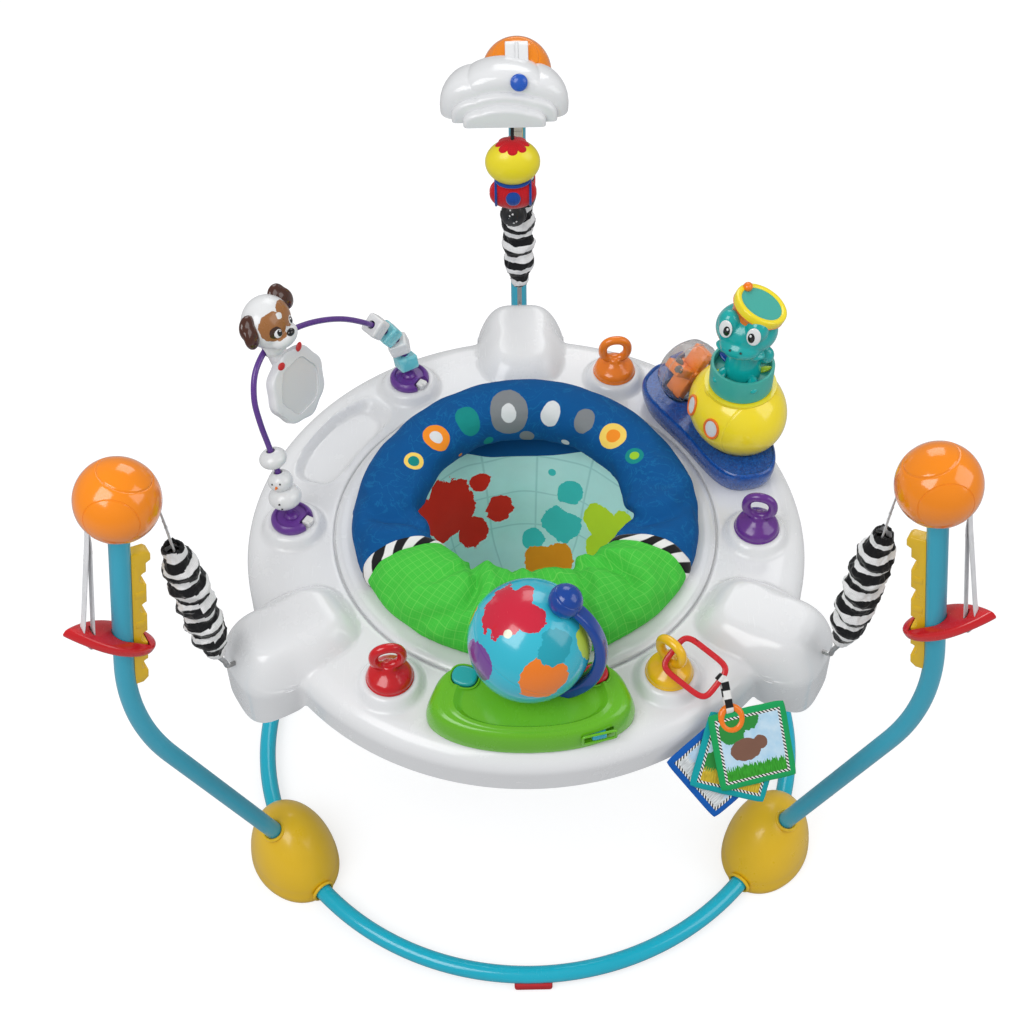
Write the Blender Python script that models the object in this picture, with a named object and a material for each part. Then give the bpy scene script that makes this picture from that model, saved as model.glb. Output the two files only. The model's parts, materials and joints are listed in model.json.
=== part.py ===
"""Baby activity center: a three-post jumper with a sprung tray, a turning seat and tray toys.

Metres, Z up. Each post is modelled in its own frame, where X points outward from the seat axis,
and each toy in the frame of its station on the tray, where X points outward and Z is the deck top.
"""

import math

import bmesh
import bpy
from mathutils import Matrix, Vector

# Clearances
FIT_GAP = 0.0003
RUN_GAP = 0.0008

# Floor ring and feet
TUBE_RADIUS = 0.011
RING_RADIUS = 0.362
RING_HEIGHT = 0.016
RING_TUBE_INSET = 0.028
FOOT_REACH = RING_RADIUS
FOOT_HALF_WIDTH = 0.055
FOOT_HALF_LENGTH = 0.072
FOOT_HEIGHT = 0.100
BUMPER_LENGTH = 0.048
BUMPER_WIDTH = 0.028
BUMPER_HEIGHT = 0.013

# Posts, as reach from the seat axis and height
POST_AZIMUTHS = {"right": -30.0, "left": 210.0, "back": 90.0}
BALL_REACH = 0.460
BALL_HEIGHT = 0.787
POST_SOCKET = (FOOT_REACH + 0.0045, 0.049)
POST_KNEE = (BALL_REACH + 0.0567, BALL_HEIGHT - 0.3375)
POST_BEND_RADIUS = 0.38
BALL_RADIUS = 0.043
POST_TOP_DROP = 0.022

# Height rack and lever
RACK_THICKNESS = 0.014
RACK_PROUD = 0.014
RACK_FOOT = -0.072
RACK_HEAD = 0.128
RACK_HOOK = 0.016
RACK_HOOK_PROUD = 0.005
NOTCH_PITCH = 0.045
NOTCH_RADIUS = 0.009
NOTCHES_BELOW = 1
NOTCHES_ABOVE = 2
LEVER_HEIGHT = BALL_HEIGHT - 0.202
LEVER_TILT = 33.0
LEVER_TIP_REACH = 0.0620
LEVER_HALF_WIDTH = 0.024
LEVER_THICKNESS = 0.012
LEVER_WALL = 0.008
STRAP_SLOT_REACH = 0.028

# Tray shell
DECK_TOP = 0.465
DECK_RADIUS = 0.335
RIM_BOTTOM = 0.415
RIM_ROLL = 0.028
SHELL = 0.003
OPENING_RADIUS = 0.206
REBATE_RADIUS = OPENING_RADIUS + 0.024
REBATE_DEPTH = 0.0035
LIP_THICKNESS = 0.004
ARM_ROOT = REBATE_RADIUS + 0.006
ARM_TIP = BALL_REACH - 0.071
ARM_HALF_WIDTH = 0.058
ARM_TOP = 0.4905
ARM_BOTTOM = 0.375
MOUND_RADIUS = 0.040
MOUND_HEIGHT = 0.013
DISH_FROM, DISH_TO = 131.0, 164.0
DISH_INNER, DISH_OUTER = REBATE_RADIUS + 0.010, DECK_RADIUS - 0.030
DISH_DEPTH = 0.013

# Straps, springs and sleeves
STRAP_WIDTH = 0.012
STRAP_THICKNESS = 0.0015
STRAP_STEEPER = 9.5
SPRING_TOP = (BALL_REACH - 0.041, BALL_HEIGHT - 0.097)
SPRING_FOOT = (ARM_TIP + 0.011, DECK_TOP + 0.022)
SPRING_RADIUS = 0.009
SPRING_NECK = 0.026
HOOK_RADIUS = 0.003
HOOK_DROP = 0.025
HOOK_BEND = 0.005
HOOK_CLEAR = 0.0015
HOOK_REACH = 0.011
SLEEVE_RADIUS = 0.0225
SLEEVE_BORE = 0.0105
SLEEVE_PUFFS = 6

# Stations on the tray
STATION_REACH = (REBATE_RADIUS + DECK_RADIUS) / 2 - 0.0079
STATION_AZIMUTHS = {"globe": 270.0, "submarine": 30.0, "arch": 150.0}
RING_POST_OFFSET = 34.3

# Ring posts
RING_POST_BASE = 0.026
RING_POST_LOOP = 0.0155
RING_POST_WIRE = 0.0055
RING_POST_CENTRE = 0.038

# Seat
SEAT_RING_INNER = OPENING_RADIUS - 0.008
SEAT_RING_HEIGHT = 0.007
PAD_OUTER = SEAT_RING_INNER + 0.009
PAD_SIDE_INNER = 0.122
PAD_BACK_INNER = 0.134
PAD_FRONT_INNER = 0.088
PAD_SIDE_RISE = 0.040
PAD_FRONT_RISE = 0.042
PAD_BACK_RISE = 0.059
PAD_BACK_LEAN = -0.05
PAD_WAIST = 0.30
SLING_DEPTH = 0.203
SLING_WALL = 0.004
FACET_INSET = math.cos(math.pi / 32)
LEG_HOLE_RADIUS = 0.048
LEG_HOLE_RISE = 0.075
LEG_HOLE_SPREAD = 38.0
LEG_HOLE_SLOPE = -22.0

# Globe toy, in its station's frame
GLOBE_RADIUS = 0.0665
GLOBE_CENTRE = (-0.0306, 0.0, 0.100)
GLOBE_TILT = 29.0
GLOBE_BASE_X = 0.0019
GLOBE_BASE_HALF_LENGTH = 0.112
GLOBE_BASE_HALF_WIDTH = 0.0445
GLOBE_BASE_HEIGHT = 0.0365
GLOBE_BASE_SLANT = 0.20
GLOBE_ARM_GAP = 0.0045
GLOBE_ARM_THICKNESS = 0.008
GLOBE_ARM_WIDTH = 0.020
GLOBE_ARM_SWELL = 0.007
GLOBE_ARM_AZIMUTH = 73.0
GLOBE_KNOB_RADIUS = 0.0185
GLOBE_PIN_RADIUS = 0.003
BUTTON_OFFSET = 0.077
BUTTON_INSET = -0.019
BUTTON_HALF_LENGTH = 0.014
BUTTON_HALF_WIDTH = 0.0115
BUTTON_PROUD = 0.005
BUTTON_TRAVEL = 0.003
SWITCH_ALONG = 0.064
SWITCH_Z = 0.015
SWITCH_LENGTH = 0.014
SWITCH_HEIGHT = 0.009
SWITCH_TRAVEL = 0.009
SWITCH_DEPTH = 0.010

# Submarine toy, in its station's frame
SUB_BASE_X = 0.0037
SUB_BASE_TURN = 1.8
SUB_BASE_HALF_LENGTH = 0.111
SUB_BASE_HALF_WIDTH = 0.0475
SUB_BASE_HEIGHT = 0.032
HULL_CENTRE = (0.014, -0.022, 0.068)
HULL_SIZE = (0.057, 0.065, 0.055)
HULL_NECK_RADIUS = 0.0430
HULL_NECK_TOP = 0.1115
DRUM_CENTRE = (0.0065, 0.068, 0.058)
DRUM_RADIUS = 0.040
DRUM_HALF_WIDTH = 0.021
DRUM_PIN_RADIUS = 0.003
COLLAR_RADIUS = 0.0380
COLLAR_HEIGHT = 0.0265
HEAD_RISE = 0.091
TURTLE_FACING = 215.0
HULL_SOCKET = 0.010
HEAD_SIZE = (0.035, 0.037, 0.029)
SNOUT_SIZE = (0.020, 0.024, 0.014)
EYE_SIZE = (0.012, 0.013, 0.016)
HAT_SIZE = (0.026, 0.032, 0.030)
HAT_TILT = 14.0

# Wire arch, in its station's frame
WIRE_RADIUS = 0.0035
BEAD_BORE = WIRE_RADIUS + 0.0018
ARCH_SPAN = 0.2694
ARCH_RISE = 0.209
ARCH_INSET = 0.0306
ARCH_LEAN = 15.0
ARCH_FOOT_RADIUS = 0.025
ARCH_FOOT_HEIGHT = 0.010
BEAD_RADIUS = 0.0165
SNOWMAN_RADIUS = 0.0200
SNOWMAN_LOW = 0.0150
SNOWMAN_HEAD = (SNOWMAN_RADIUS * 0.75, SNOWMAN_RADIUS * 0.65)
SNOWMAN_STEP = 0.023
BLOCK_SIZE = 0.0250
BLOCK_HEIGHT = 0.0189
BLOCK_EDGE = 0.0035
PUPPY_SHARE = 0.43
PUPPY_TILT = 20.0
PUPPY_BLOCK = (0.026, 0.014, 0.034)
PUPPY_HEAD = (0.028, 0.033, 0.030)
PUPPY_EAR = (0.010, 0.014, 0.016)
MIRROR_SIZE = (0.044, 0.049)
MIRROR_THICKNESS = 0.012

# Back post toys, in the back post's frame
CLOUD_FRONT = BALL_REACH - 0.092
CLOUD_STEP = 0.0105
CLOUD_BACK = BALL_REACH - 0.020
CLOUD_HALF_WIDTH = 0.079
CLOUD_HEIGHT = 0.060
CLOUD_BOTTOM = BALL_HEIGHT - 0.015
CLOUD_SHIFT = 0.016
CLIP_HALF_WIDTH = 0.014
CLIP_THICKNESS = 0.004
FIGURE_REACH = CLOUD_FRONT + 0.008
FIGURE_SIDE = 0.007
FIGURE_PIVOT = CLOUD_BOTTOM + 0.007
FIGURE_PIN = 0.003
FIGURE_DROPS = (-0.060, -0.107, -0.142)
FIGURE_PARTS = ((0.027, 0.034, 0.030), (0.0145, 0.031, 0.024), (0.0125, 0.017, 0.018))

# Link and book, hung on the yellow ring post
LINK_WIRE = 0.0035
LINK_SHORT = 0.045
LINK_LONG = 0.060
LINK_SLANT = 0.0034
LINK_DROP = RING_POST_LOOP - RING_POST_WIRE - LINK_WIRE - LINK_SLANT
LINK_SIDE = Vector((0.63, 0.60, 0.49)).normalized()
LINK_FALL = Vector((0.62, -0.70, -0.52))
LOOP_TO_RIM = 0.0604
CARD_SIZE = 0.088
CARD_THICKNESS = 0.006
CARD_CORNER = 0.006
CARD_POSES = ((0.020, -0.034, 4.0), (0.003, -0.046, -22.0), (-0.016, -0.053, -57.0))
CARD_FACING = Vector((0.12, -0.74, 0.66)).normalized()
RIBBON_FALL = Vector((0.010, -0.032, -0.030))
RIBBON_RADIUS = 0.0022
CARD_RING_RADIUS = 0.011
CARD_RING_WIRE = 0.0032

# The seat axis, set so that the whole object is centred on the origin
FRONT_REACH = RING_RADIUS + BUMPER_WIDTH / 2
LEG_SLOPE = (POST_KNEE[0] - BALL_REACH) / (BALL_HEIGHT - POST_KNEE[1])
LEVER_TIP_RISE = LEVER_TIP_REACH * math.tan(math.radians(LEVER_TILT))
LEVER_TIP = (LEVER_TIP_REACH - LEVER_TIP_RISE * LEG_SLOPE) / math.hypot(1.0, LEG_SLOPE)
BACK_REACH = BALL_REACH + LEG_SLOPE * (BALL_HEIGHT - LEVER_HEIGHT) + LEVER_TIP
SEAT_AXIS_Y = (FRONT_REACH - BACK_REACH) / 2

COLOURS = {
    "ring blue": ((0.03, 0.50, 0.70), 0.3),
    "post blue": ((0.09, 0.42, 0.56), 0.35),
    "yellow": ((0.85, 0.55, 0.02), 0.4),
    "orange": ((0.90, 0.25, 0.01), 0.2),
    "red": ((0.65, 0.01, 0.02), 0.25),
    "white": ((0.80, 0.81, 0.83), 0.25),
    "webbing": ((0.75, 0.76, 0.78), 0.8),
    "zebra cloth": ((0.35, 0.35, 0.37), 0.9),
    "steel": ((0.45, 0.46, 0.48), 0.35),
    "purple": ((0.15, 0.03, 0.30), 0.3),
    "royal blue": ((0.01, 0.10, 0.42), 0.8),
    "aqua": ((0.25, 0.70, 0.72), 0.85),
    "green": ((0.10, 0.42, 0.02), 0.3),
    "arm blue": ((0.01, 0.09, 0.50), 0.25),
    "globe blue": ((0.04, 0.50, 0.65), 0.25),
    "teal": ((0.05, 0.45, 0.45), 0.3),
    "lemon": ((0.85, 0.80, 0.05), 0.3),
    "clear": ((0.70, 0.75, 0.78), 0.1),
    "ice": ((0.20, 0.65, 0.75), 0.15),
}


def clear_scene():
    for old in list(bpy.data.objects):
        bpy.data.objects.remove(old, do_unlink=True)


def material(label):
    """The Principled material of one colour name, made once."""
    found = bpy.data.materials.get(label)
    if found:
        return found
    colour, roughness = COLOURS[label]
    made = bpy.data.materials.new(label)
    made.use_nodes = True
    shader = made.node_tree.nodes["Principled BSDF"]
    shader.inputs["Base Color"].default_value = (*colour, 1.0)
    shader.inputs["Roughness"].default_value = roughness
    shader.inputs["Metallic"].default_value = 0.9 if label == "steel" else 0.0
    return made


def empty(name, parent=None, location=(0, 0, 0), rotation=(0, 0, 0)):
    made = bpy.data.objects.new(name, None)
    bpy.context.collection.objects.link(made)
    made.parent = parent
    made.location = location
    made.rotation_euler = [math.radians(angle) for angle in rotation]
    return made


def piece(name, mesh, colour, parent, location=(0, 0, 0), rotation=(0, 0, 0)):
    """One sub-part, in its own node."""
    made = bpy.data.objects.new(name, mesh)
    bpy.context.collection.objects.link(made)
    made.parent = parent
    made.location = location
    made.rotation_euler = [math.radians(angle) for angle in rotation]
    mesh.materials.append(material(colour))
    mesh.shade_smooth()
    mesh.set_sharp_from_angle(angle=math.radians(35))
    return made


def combine(target, mesh, operation, location=(0, 0, 0), rotation=(0, 0, 0), parent=None):
    """Adds a Boolean with a hidden tool, which shares the target's parent unless it has its own."""
    tool = bpy.data.objects.new(f"{target.name}_tool", mesh)
    bpy.context.collection.objects.link(tool)
    tool.parent = parent or target.parent
    tool.location = location
    tool.rotation_euler = [math.radians(angle) for angle in rotation]
    tool.hide_render = True
    tool.display_type = "WIRE"
    step = target.modifiers.new(operation.title(), "BOOLEAN")
    step.operation = operation
    step.solver = "EXACT"
    step.object = tool
    return tool


def cut(target, mesh, location=(0, 0, 0), rotation=(0, 0, 0), parent=None):
    return combine(target, mesh, "DIFFERENCE", location, rotation, parent)


def fuse(target, mesh, location=(0, 0, 0), rotation=(0, 0, 0), parent=None):
    return combine(target, mesh, "UNION", location, rotation, parent)


def bevel(target, width, segments=2, angle=40.0):
    step = target.modifiers.new("Bevel", "BEVEL")
    step.width = width
    step.segments = segments
    step.limit_method = "ANGLE"
    step.angle_limit = math.radians(angle)


def mesh_from(bm, name="shape"):
    """The mesh of a closed shape, with its faces turned outwards."""
    bmesh.ops.recalc_face_normals(bm, faces=bm.faces)
    if bm.calc_volume(signed=True) < 0:
        bmesh.ops.reverse_faces(bm, faces=bm.faces)
    mesh = bpy.data.meshes.new(name)
    bm.to_mesh(mesh)
    bm.free()
    return mesh


def moved(mesh, matrix):
    mesh.transform(matrix)
    return mesh


def turned(profile, steps=20):
    """A solid of revolution about Z from (radius, height) points: a loop of points clear of the axis
    gives a ring, and a profile that starts and ends on the axis gives a closed body."""
    bm = bmesh.new()
    rings = []
    for radius, height in profile:
        if radius == 0:
            rings.append([bm.verts.new((0, 0, height))])
            continue
        turns = [math.tau * step / steps for step in range(steps)]
        rings.append([bm.verts.new((radius * math.cos(t), radius * math.sin(t), height)) for t in turns])
    pairs = list(zip(rings, rings[1:]))
    if profile[0][0] > 0:
        pairs.append((rings[-1], rings[0]))
    for lower, upper in pairs:
        for step in range(steps):
            after = (step + 1) % steps
            corners = [lower[step % len(lower)], lower[after % len(lower)]]
            corners += [upper[after % len(upper)], upper[step % len(upper)]]
            bm.faces.new(list(dict.fromkeys(corners)))
    return mesh_from(bm)


def lofted(sections):
    """A closed body through loops of equal length, with flat ends."""
    bm = bmesh.new()
    rings = [[bm.verts.new(point) for point in section] for section in sections]
    count = len(rings[0])
    for lower, upper in zip(rings, rings[1:]):
        for step in range(count):
            after = (step + 1) % count
            bm.faces.new((lower[step], lower[after], upper[after], upper[step]))
    bm.faces.new(rings[0])
    bm.faces.new(rings[-1])
    return mesh_from(bm)


def looped(sections):
    """A ring-shaped body through closed sections that go all the way round."""
    bm = bmesh.new()
    rings = [[bm.verts.new(point) for point in section] for section in sections]
    count = len(rings[0])
    for index, lower in enumerate(rings):
        upper = rings[(index + 1) % len(rings)]
        for step in range(count):
            after = (step + 1) % count
            bm.faces.new((lower[step], lower[after], upper[after], upper[step]))
    return mesh_from(bm)


def extruded(outline, low, high, axis="Z"):
    """A flat outline carried from low to high along an axis: (x, y) along Z, or (x, z) along Y."""
    if axis == "Z":
        return lofted([[(a, b, level) for a, b in outline] for level in (low, high)])
    return lofted([[(a, level, b) for a, b in outline] for level in (low, high)])


def ball(size, segments=14, rings=8):
    bm = bmesh.new()
    bmesh.ops.create_uvsphere(bm, u_segments=segments, v_segments=rings, radius=1.0)
    bmesh.ops.scale(bm, vec=size, verts=bm.verts)
    return mesh_from(bm)


def block(size):
    bm = bmesh.new()
    bmesh.ops.create_cube(bm, size=1.0)
    bmesh.ops.scale(bm, vec=size, verts=bm.verts)
    return mesh_from(bm)


def rod(radius, low, high, steps=8):
    return turned([(0, low), (radius, low), (radius, high), (0, high)], steps)


def superellipse(half_x, half_y, power=2.6, count=24):
    points = []
    for step in range(count):
        turn = math.tau * step / count
        c, s = math.cos(turn), math.sin(turn)
        x = math.copysign(abs(c) ** (2 / power), c) * half_x
        y = math.copysign(abs(s) ** (2 / power), s) * half_y
        points.append((x, y))
    return points


def smooth_path(points, spans=3):
    """Points along a Catmull-Rom curve through the given ones."""
    points = [Vector(point) for point in points]
    ends = [2 * points[0] - points[1], *points, 2 * points[-1] - points[-2]]
    path = []
    for a, b, c, d in zip(ends, ends[1:], ends[2:], ends[3:]):
        for step in range(spans):
            t = step / spans
            path.append(0.5 * (2 * b + (c - a) * t + (2 * a - 5 * b + 4 * c - d) * t**2
                               + (3 * b - a - 3 * c + d) * t**3))
    path.append(points[-1])
    return path


def tube(points, radius, extend=0.0, cyclic=False, resolution=3):
    """The mesh of a round bar along a path, made longer at both ends by extend."""
    points = [Vector(point) for point in points]
    if extend:
        points[0] += (points[0] - points[1]).normalized() * extend
        points[-1] += (points[-1] - points[-2]).normalized() * extend
    curve = bpy.data.curves.new("bar", "CURVE")
    curve.dimensions = "3D"
    curve.bevel_depth = radius
    curve.bevel_resolution = resolution
    curve.use_fill_caps = not cyclic
    spline = curve.splines.new("POLY")
    spline.points.add(len(points) - 1)
    for knot, point in zip(spline.points, points):
        knot.co = (*point, 1.0)
    spline.use_cyclic_u = cyclic
    carrier = bpy.data.objects.new("bar", curve)
    mesh = bpy.data.meshes.new_from_object(carrier)
    bpy.data.objects.remove(carrier)
    bm = bmesh.new()
    bm.from_mesh(mesh)
    bmesh.ops.remove_doubles(bm, verts=bm.verts, dist=0.00001)
    bpy.data.meshes.remove(mesh)
    return mesh_from(bm)


def ribbon(path, width, thickness):
    """A flat band along (reach, height) points, as wide as width along Y."""
    points = [Vector((point[0], point[1])) for point in path]
    sides = ([], [])
    for index, point in enumerate(points):
        ahead = points[min(index + 1, len(points) - 1)]
        behind = points[max(index - 1, 0)]
        along = (ahead - behind).normalized()
        normal = Vector((-along.y, along.x))
        sides[0].append(point + normal * thickness / 2)
        sides[1].append(point - normal * thickness / 2)
    sections = []
    for left, right in zip(*sides):
        corners = ((left, -1), (left, 1), (right, 1), (right, -1))
        sections.append([(corner.x, side * width / 2, corner.y) for corner, side in corners])
    return lofted(sections)


def in_plane(path):
    return [(reach, 0.0, height) for reach, height in path]


def steps_round(count):
    """Angles in radians, evenly spaced round a circle."""
    return [math.tau * step / count for step in range(count)]


def around(reach, azimuth, height=0.0):
    turn = math.radians(azimuth)
    return (reach * math.cos(turn), reach * math.sin(turn), height)


# Frame: floor ring, feet, posts and balls

def leg_reach(height):
    """Reach of the post's straight upper leg at a height."""
    return BALL_REACH + LEG_SLOPE * (BALL_HEIGHT - height)


def post_path():
    """Two straight legs joined by a bend of POST_BEND_RADIUS at the knee."""
    foot, knee = Vector(POST_SOCKET), Vector(POST_KNEE)
    top_height = BALL_HEIGHT - POST_TOP_DROP
    top = Vector((leg_reach(top_height), top_height))
    down, up = (foot - knee).normalized(), (top - knee).normalized()
    turn = math.pi - down.angle(up)
    tangent = POST_BEND_RADIUS * math.tan(turn / 2)
    centre = knee + (down + up).normalized() * POST_BEND_RADIUS / math.cos(turn / 2)
    start, end = knee + down * tangent - centre, knee + up * tangent - centre
    path = [foot + (knee + down * tangent - foot) * step / 4 for step in range(4)]
    for step in range(7):
        share = step / 6
        arm = (start * math.sin((1 - share) * turn) + end * math.sin(share * turn)) / math.sin(turn)
        path.append(centre + arm)
    bend_end = knee + up * tangent
    path += [bend_end + (top - bend_end) * step / 3 for step in range(1, 4)]
    return path


def ring_path(azimuth):
    """The floor ring's tube from the foot at an azimuth to the next one, anticlockwise."""
    inset = math.degrees(RING_TUBE_INSET / RING_RADIUS)
    start, sweep, count = azimuth + inset, 120 - 2 * inset, 15
    return [around(RING_RADIUS, start + sweep * step / count, RING_HEIGHT) for step in range(count + 1)]


def foot_mesh():
    """An egg-shaped dome with a flat floor."""
    bm = bmesh.new()
    bmesh.ops.create_uvsphere(bm, u_segments=16, v_segments=10, radius=1.0)
    bmesh.ops.scale(bm, vec=(FOOT_HALF_WIDTH, FOOT_HALF_LENGTH, FOOT_HEIGHT), verts=bm.verts)
    everything = bm.verts[:] + bm.edges[:] + bm.faces[:]
    bmesh.ops.bisect_plane(bm, geom=everything, plane_co=(0, 0, 0), plane_no=(0, 0, -1), clear_outer=True)
    rim = [edge for edge in bm.edges if edge.is_boundary]
    bmesh.ops.contextual_create(bm, geom=rim)
    return mesh_from(bm)


def build_floor_ring(model):
    starts = {"front": 210.0, "right": -30.0, "left": 90.0}
    for side, azimuth in starts.items():
        path = ring_path(azimuth)
        piece(f"base_tube_{side}", tube(path, TUBE_RADIUS), "ring blue", model)
        size = (BUMPER_WIDTH, BUMPER_LENGTH, BUMPER_HEIGHT)
        middle = azimuth + 60
        holder = empty(f"bumper_{side}_frame", model, around(RING_RADIUS, middle), (0, 0, middle))
        saddle = piece(f"bumper_{side}", block(size), "red", holder, (0, 0, BUMPER_HEIGHT / 2))
        bevel(saddle, 0.003, 1)
        cut(saddle, tube(path, TUBE_RADIUS + FIT_GAP), parent=model)


def build_post(model, side, azimuth):
    frame = empty(f"post_{side}_frame", model, rotation=(0, 0, azimuth))
    centreline = in_plane(post_path())
    piece(f"post_{side}", tube(centreline, TUBE_RADIUS), "post blue", frame)

    foot = piece(f"foot_{side}", foot_mesh(), "yellow", frame, (FOOT_REACH, 0, 0))
    cut(foot, tube(centreline, TUBE_RADIUS + FIT_GAP, extend=FIT_GAP))
    for start in (azimuth, azimuth - 120):
        cut(foot, tube(ring_path(start), TUBE_RADIUS + FIT_GAP, extend=FIT_GAP), parent=model)

    globe = ball((BALL_RADIUS,) * 3, 14, 9)
    cap = piece(f"ball_{side}", globe, "orange", frame, (BALL_REACH, 0, BALL_HEIGHT))
    cut(cap, tube(centreline, TUBE_RADIUS + FIT_GAP, extend=FIT_GAP))
    cut(cap, ribbon(strap_path(), STRAP_WIDTH + 2 * RUN_GAP, STRAP_THICKNESS + 2 * RUN_GAP))

    lean = math.degrees(math.atan(LEG_SLOPE))
    leg = empty(f"lever_{side}_frame", frame, (leg_reach(LEVER_HEIGHT), 0, LEVER_HEIGHT), (0, -lean, 0))
    rack = piece(f"rack_{side}", rack_mesh(), "yellow", leg)
    cut(rack, tube(centreline, TUBE_RADIUS + FIT_GAP), parent=frame)
    build_lever(side, leg, frame)
    piece(f"webbing_{side}", ribbon(strap_path(), STRAP_WIDTH, STRAP_THICKNESS), "webbing", frame)
    build_hanger(side, frame)
    return frame


def rack_mesh():
    """A toothed bar on the inner side of the upper leg, with a hooked head."""
    crest = -(TUBE_RADIUS + RACK_PROUD)
    root = -TUBE_RADIUS * 0.8
    outline = [(root, RACK_FOOT), (crest + 0.006, RACK_FOOT), (crest, RACK_FOOT + 0.006)]
    for notch in range(-NOTCHES_BELOW, NOTCHES_ABOVE + 1):
        middle = notch * NOTCH_PITCH
        for step in range(7):
            turn = math.pi * step / 6
            rise = middle - NOTCH_RADIUS * math.cos(turn)
            outline.append((crest + NOTCH_RADIUS * 0.8 * math.sin(turn), rise))
    hook = crest - RACK_HOOK_PROUD
    outline += [(crest, RACK_HEAD - RACK_HOOK), (hook, RACK_HEAD - RACK_HOOK + 0.003)]
    outline += [(hook, RACK_HEAD - 0.003), (hook + 0.004, RACK_HEAD), (root, RACK_HEAD)]
    return extruded(outline, -RACK_THICKNESS / 2, RACK_THICKNESS / 2, "Y")


# Levers, straps, springs and sleeves

def lever_inner_reach():
    """How far the lever's inner bar lies from the tube's axis, past the rack's teeth."""
    return TUBE_RADIUS + RACK_PROUD + RUN_GAP


def lever_outline():
    """A rounded inner end that draws out to a blunt tip."""
    inner = -(lever_inner_reach() + LEVER_WALL)
    length = (LEVER_TIP_REACH - inner) / math.cos(math.radians(LEVER_TILT))
    start = inner / math.cos(math.radians(LEVER_TILT))
    fat = 0.42
    side = []
    for step in range(1, 11):
        share = step / 11
        if share < fat:
            half = math.sqrt(1 - ((share - fat) / fat) ** 2)
        else:
            half = math.cos(math.pi / 2 * (share - fat) / (1 - fat)) ** 0.9
        side.append((start + share * length, half * LEVER_HALF_WIDTH))
    back = [(x, -y) for x, y in reversed(side)]
    return [(start, 0.0), *side, (start + length, 0.0), *back]


def build_lever(side, leg, frame):
    plate = extruded(lever_outline(), -LEVER_THICKNESS / 2, LEVER_THICKNESS / 2)
    lever = piece(f"lever_{side}", plate, "red", leg, rotation=(0, -LEVER_TILT, 0))
    bevel(lever, 0.0030, 1)
    half = TUBE_RADIUS + RUN_GAP
    inner = -lever_inner_reach()
    window = [(inner, -half), (0, -half)]
    window += [(half * math.sin(t), -half * math.cos(t)) for t in (math.pi * k / 6 for k in range(1, 6))]
    window += [(0, half), (inner, half)]
    cut(lever, extruded(window, -0.08, 0.08))
    slot = ribbon(strap_path()[:4], STRAP_WIDTH + 2 * RUN_GAP, STRAP_THICKNESS + 2 * RUN_GAP)
    cut(lever, slot, parent=frame)


def strap_path():
    """The strap's (reach, height) line: from below the lever, over the ball's slot, to the spring."""
    slot_reach = leg_reach(LEVER_HEIGHT) + STRAP_SLOT_REACH
    slot_height = LEVER_HEIGHT + STRAP_SLOT_REACH * math.tan(math.radians(LEVER_TILT + STRAP_STEEPER))
    top, foot = Vector(SPRING_TOP), Vector(SPRING_FOOT)
    fall = (foot - top).normalized()
    end = top + fall * (SPRING_NECK - FIT_GAP)
    over = [(0.0375, -0.042), (0.031, -0.008), (0.0, 0.012), (-0.031, -0.008), (-0.0375, -0.042)]
    points = [(slot_reach, slot_height - 0.014), (slot_reach - 0.004, slot_height + 0.05)]
    points += [(BALL_REACH + reach, BALL_HEIGHT + rise) for reach, rise in over]
    points += [tuple(top), tuple(end)]
    return smooth_path(points, 2)


def build_hanger(side, frame):
    top, foot = Vector(SPRING_TOP), Vector(SPRING_FOOT)
    length = (top - foot).length
    lean = math.degrees(math.atan2(top.x - foot.x, top.y - foot.y))
    neck = length - SPRING_NECK
    coil = [(0, 0), (HOOK_RADIUS, 0), (HOOK_RADIUS, 0.014), (SPRING_RADIUS, 0.020)]
    coil += [(SPRING_RADIUS, neck - 0.008), (HOOK_RADIUS, neck - 0.002), (HOOK_RADIUS, neck), (0, neck)]
    place = (foot.x, 0, foot.y)
    spring = piece(f"spring_{side}", turned(coil, 8), "steel", frame, place, (0, lean, 0))
    fuse(spring, tube(hook_path(), HOOK_RADIUS, resolution=1))
    piece(f"sleeve_{side}", sleeve_mesh(length), "zebra cloth", frame, place, (0, lean, 0))


def hook_path():
    """The spring's lower hook, which bends in through the arm's end wall below its foot."""
    foot = Vector(SPRING_FOOT)
    up = (Vector(SPRING_TOP) - foot).normalized() * 0.008
    level = foot.y - HOOK_DROP
    outer = ARM_TIP + HOOK_RADIUS + HOOK_CLEAR
    path = [foot + up, foot, Vector((outer, level + HOOK_BEND + 0.004))]
    for step in range(4):
        turn = math.pi / 2 * step / 3
        bend = (1 - math.cos(turn), 1 - math.sin(turn))
        path.append(Vector((outer - HOOK_BEND * bend[0], level + HOOK_BEND * bend[1])))
    path.append(Vector((ARM_TIP - HOOK_REACH, level)))
    return in_plane(path)


def hook_hole():
    """The round hole that the hook goes through, along X."""
    hole = rod(HOOK_RADIUS + RUN_GAP, ARM_TIP - HOOK_REACH, ARM_TIP + HOOK_REACH, 10)
    return moved(hole, Matrix.Rotation(math.radians(90), 4, "Y"))


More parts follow.
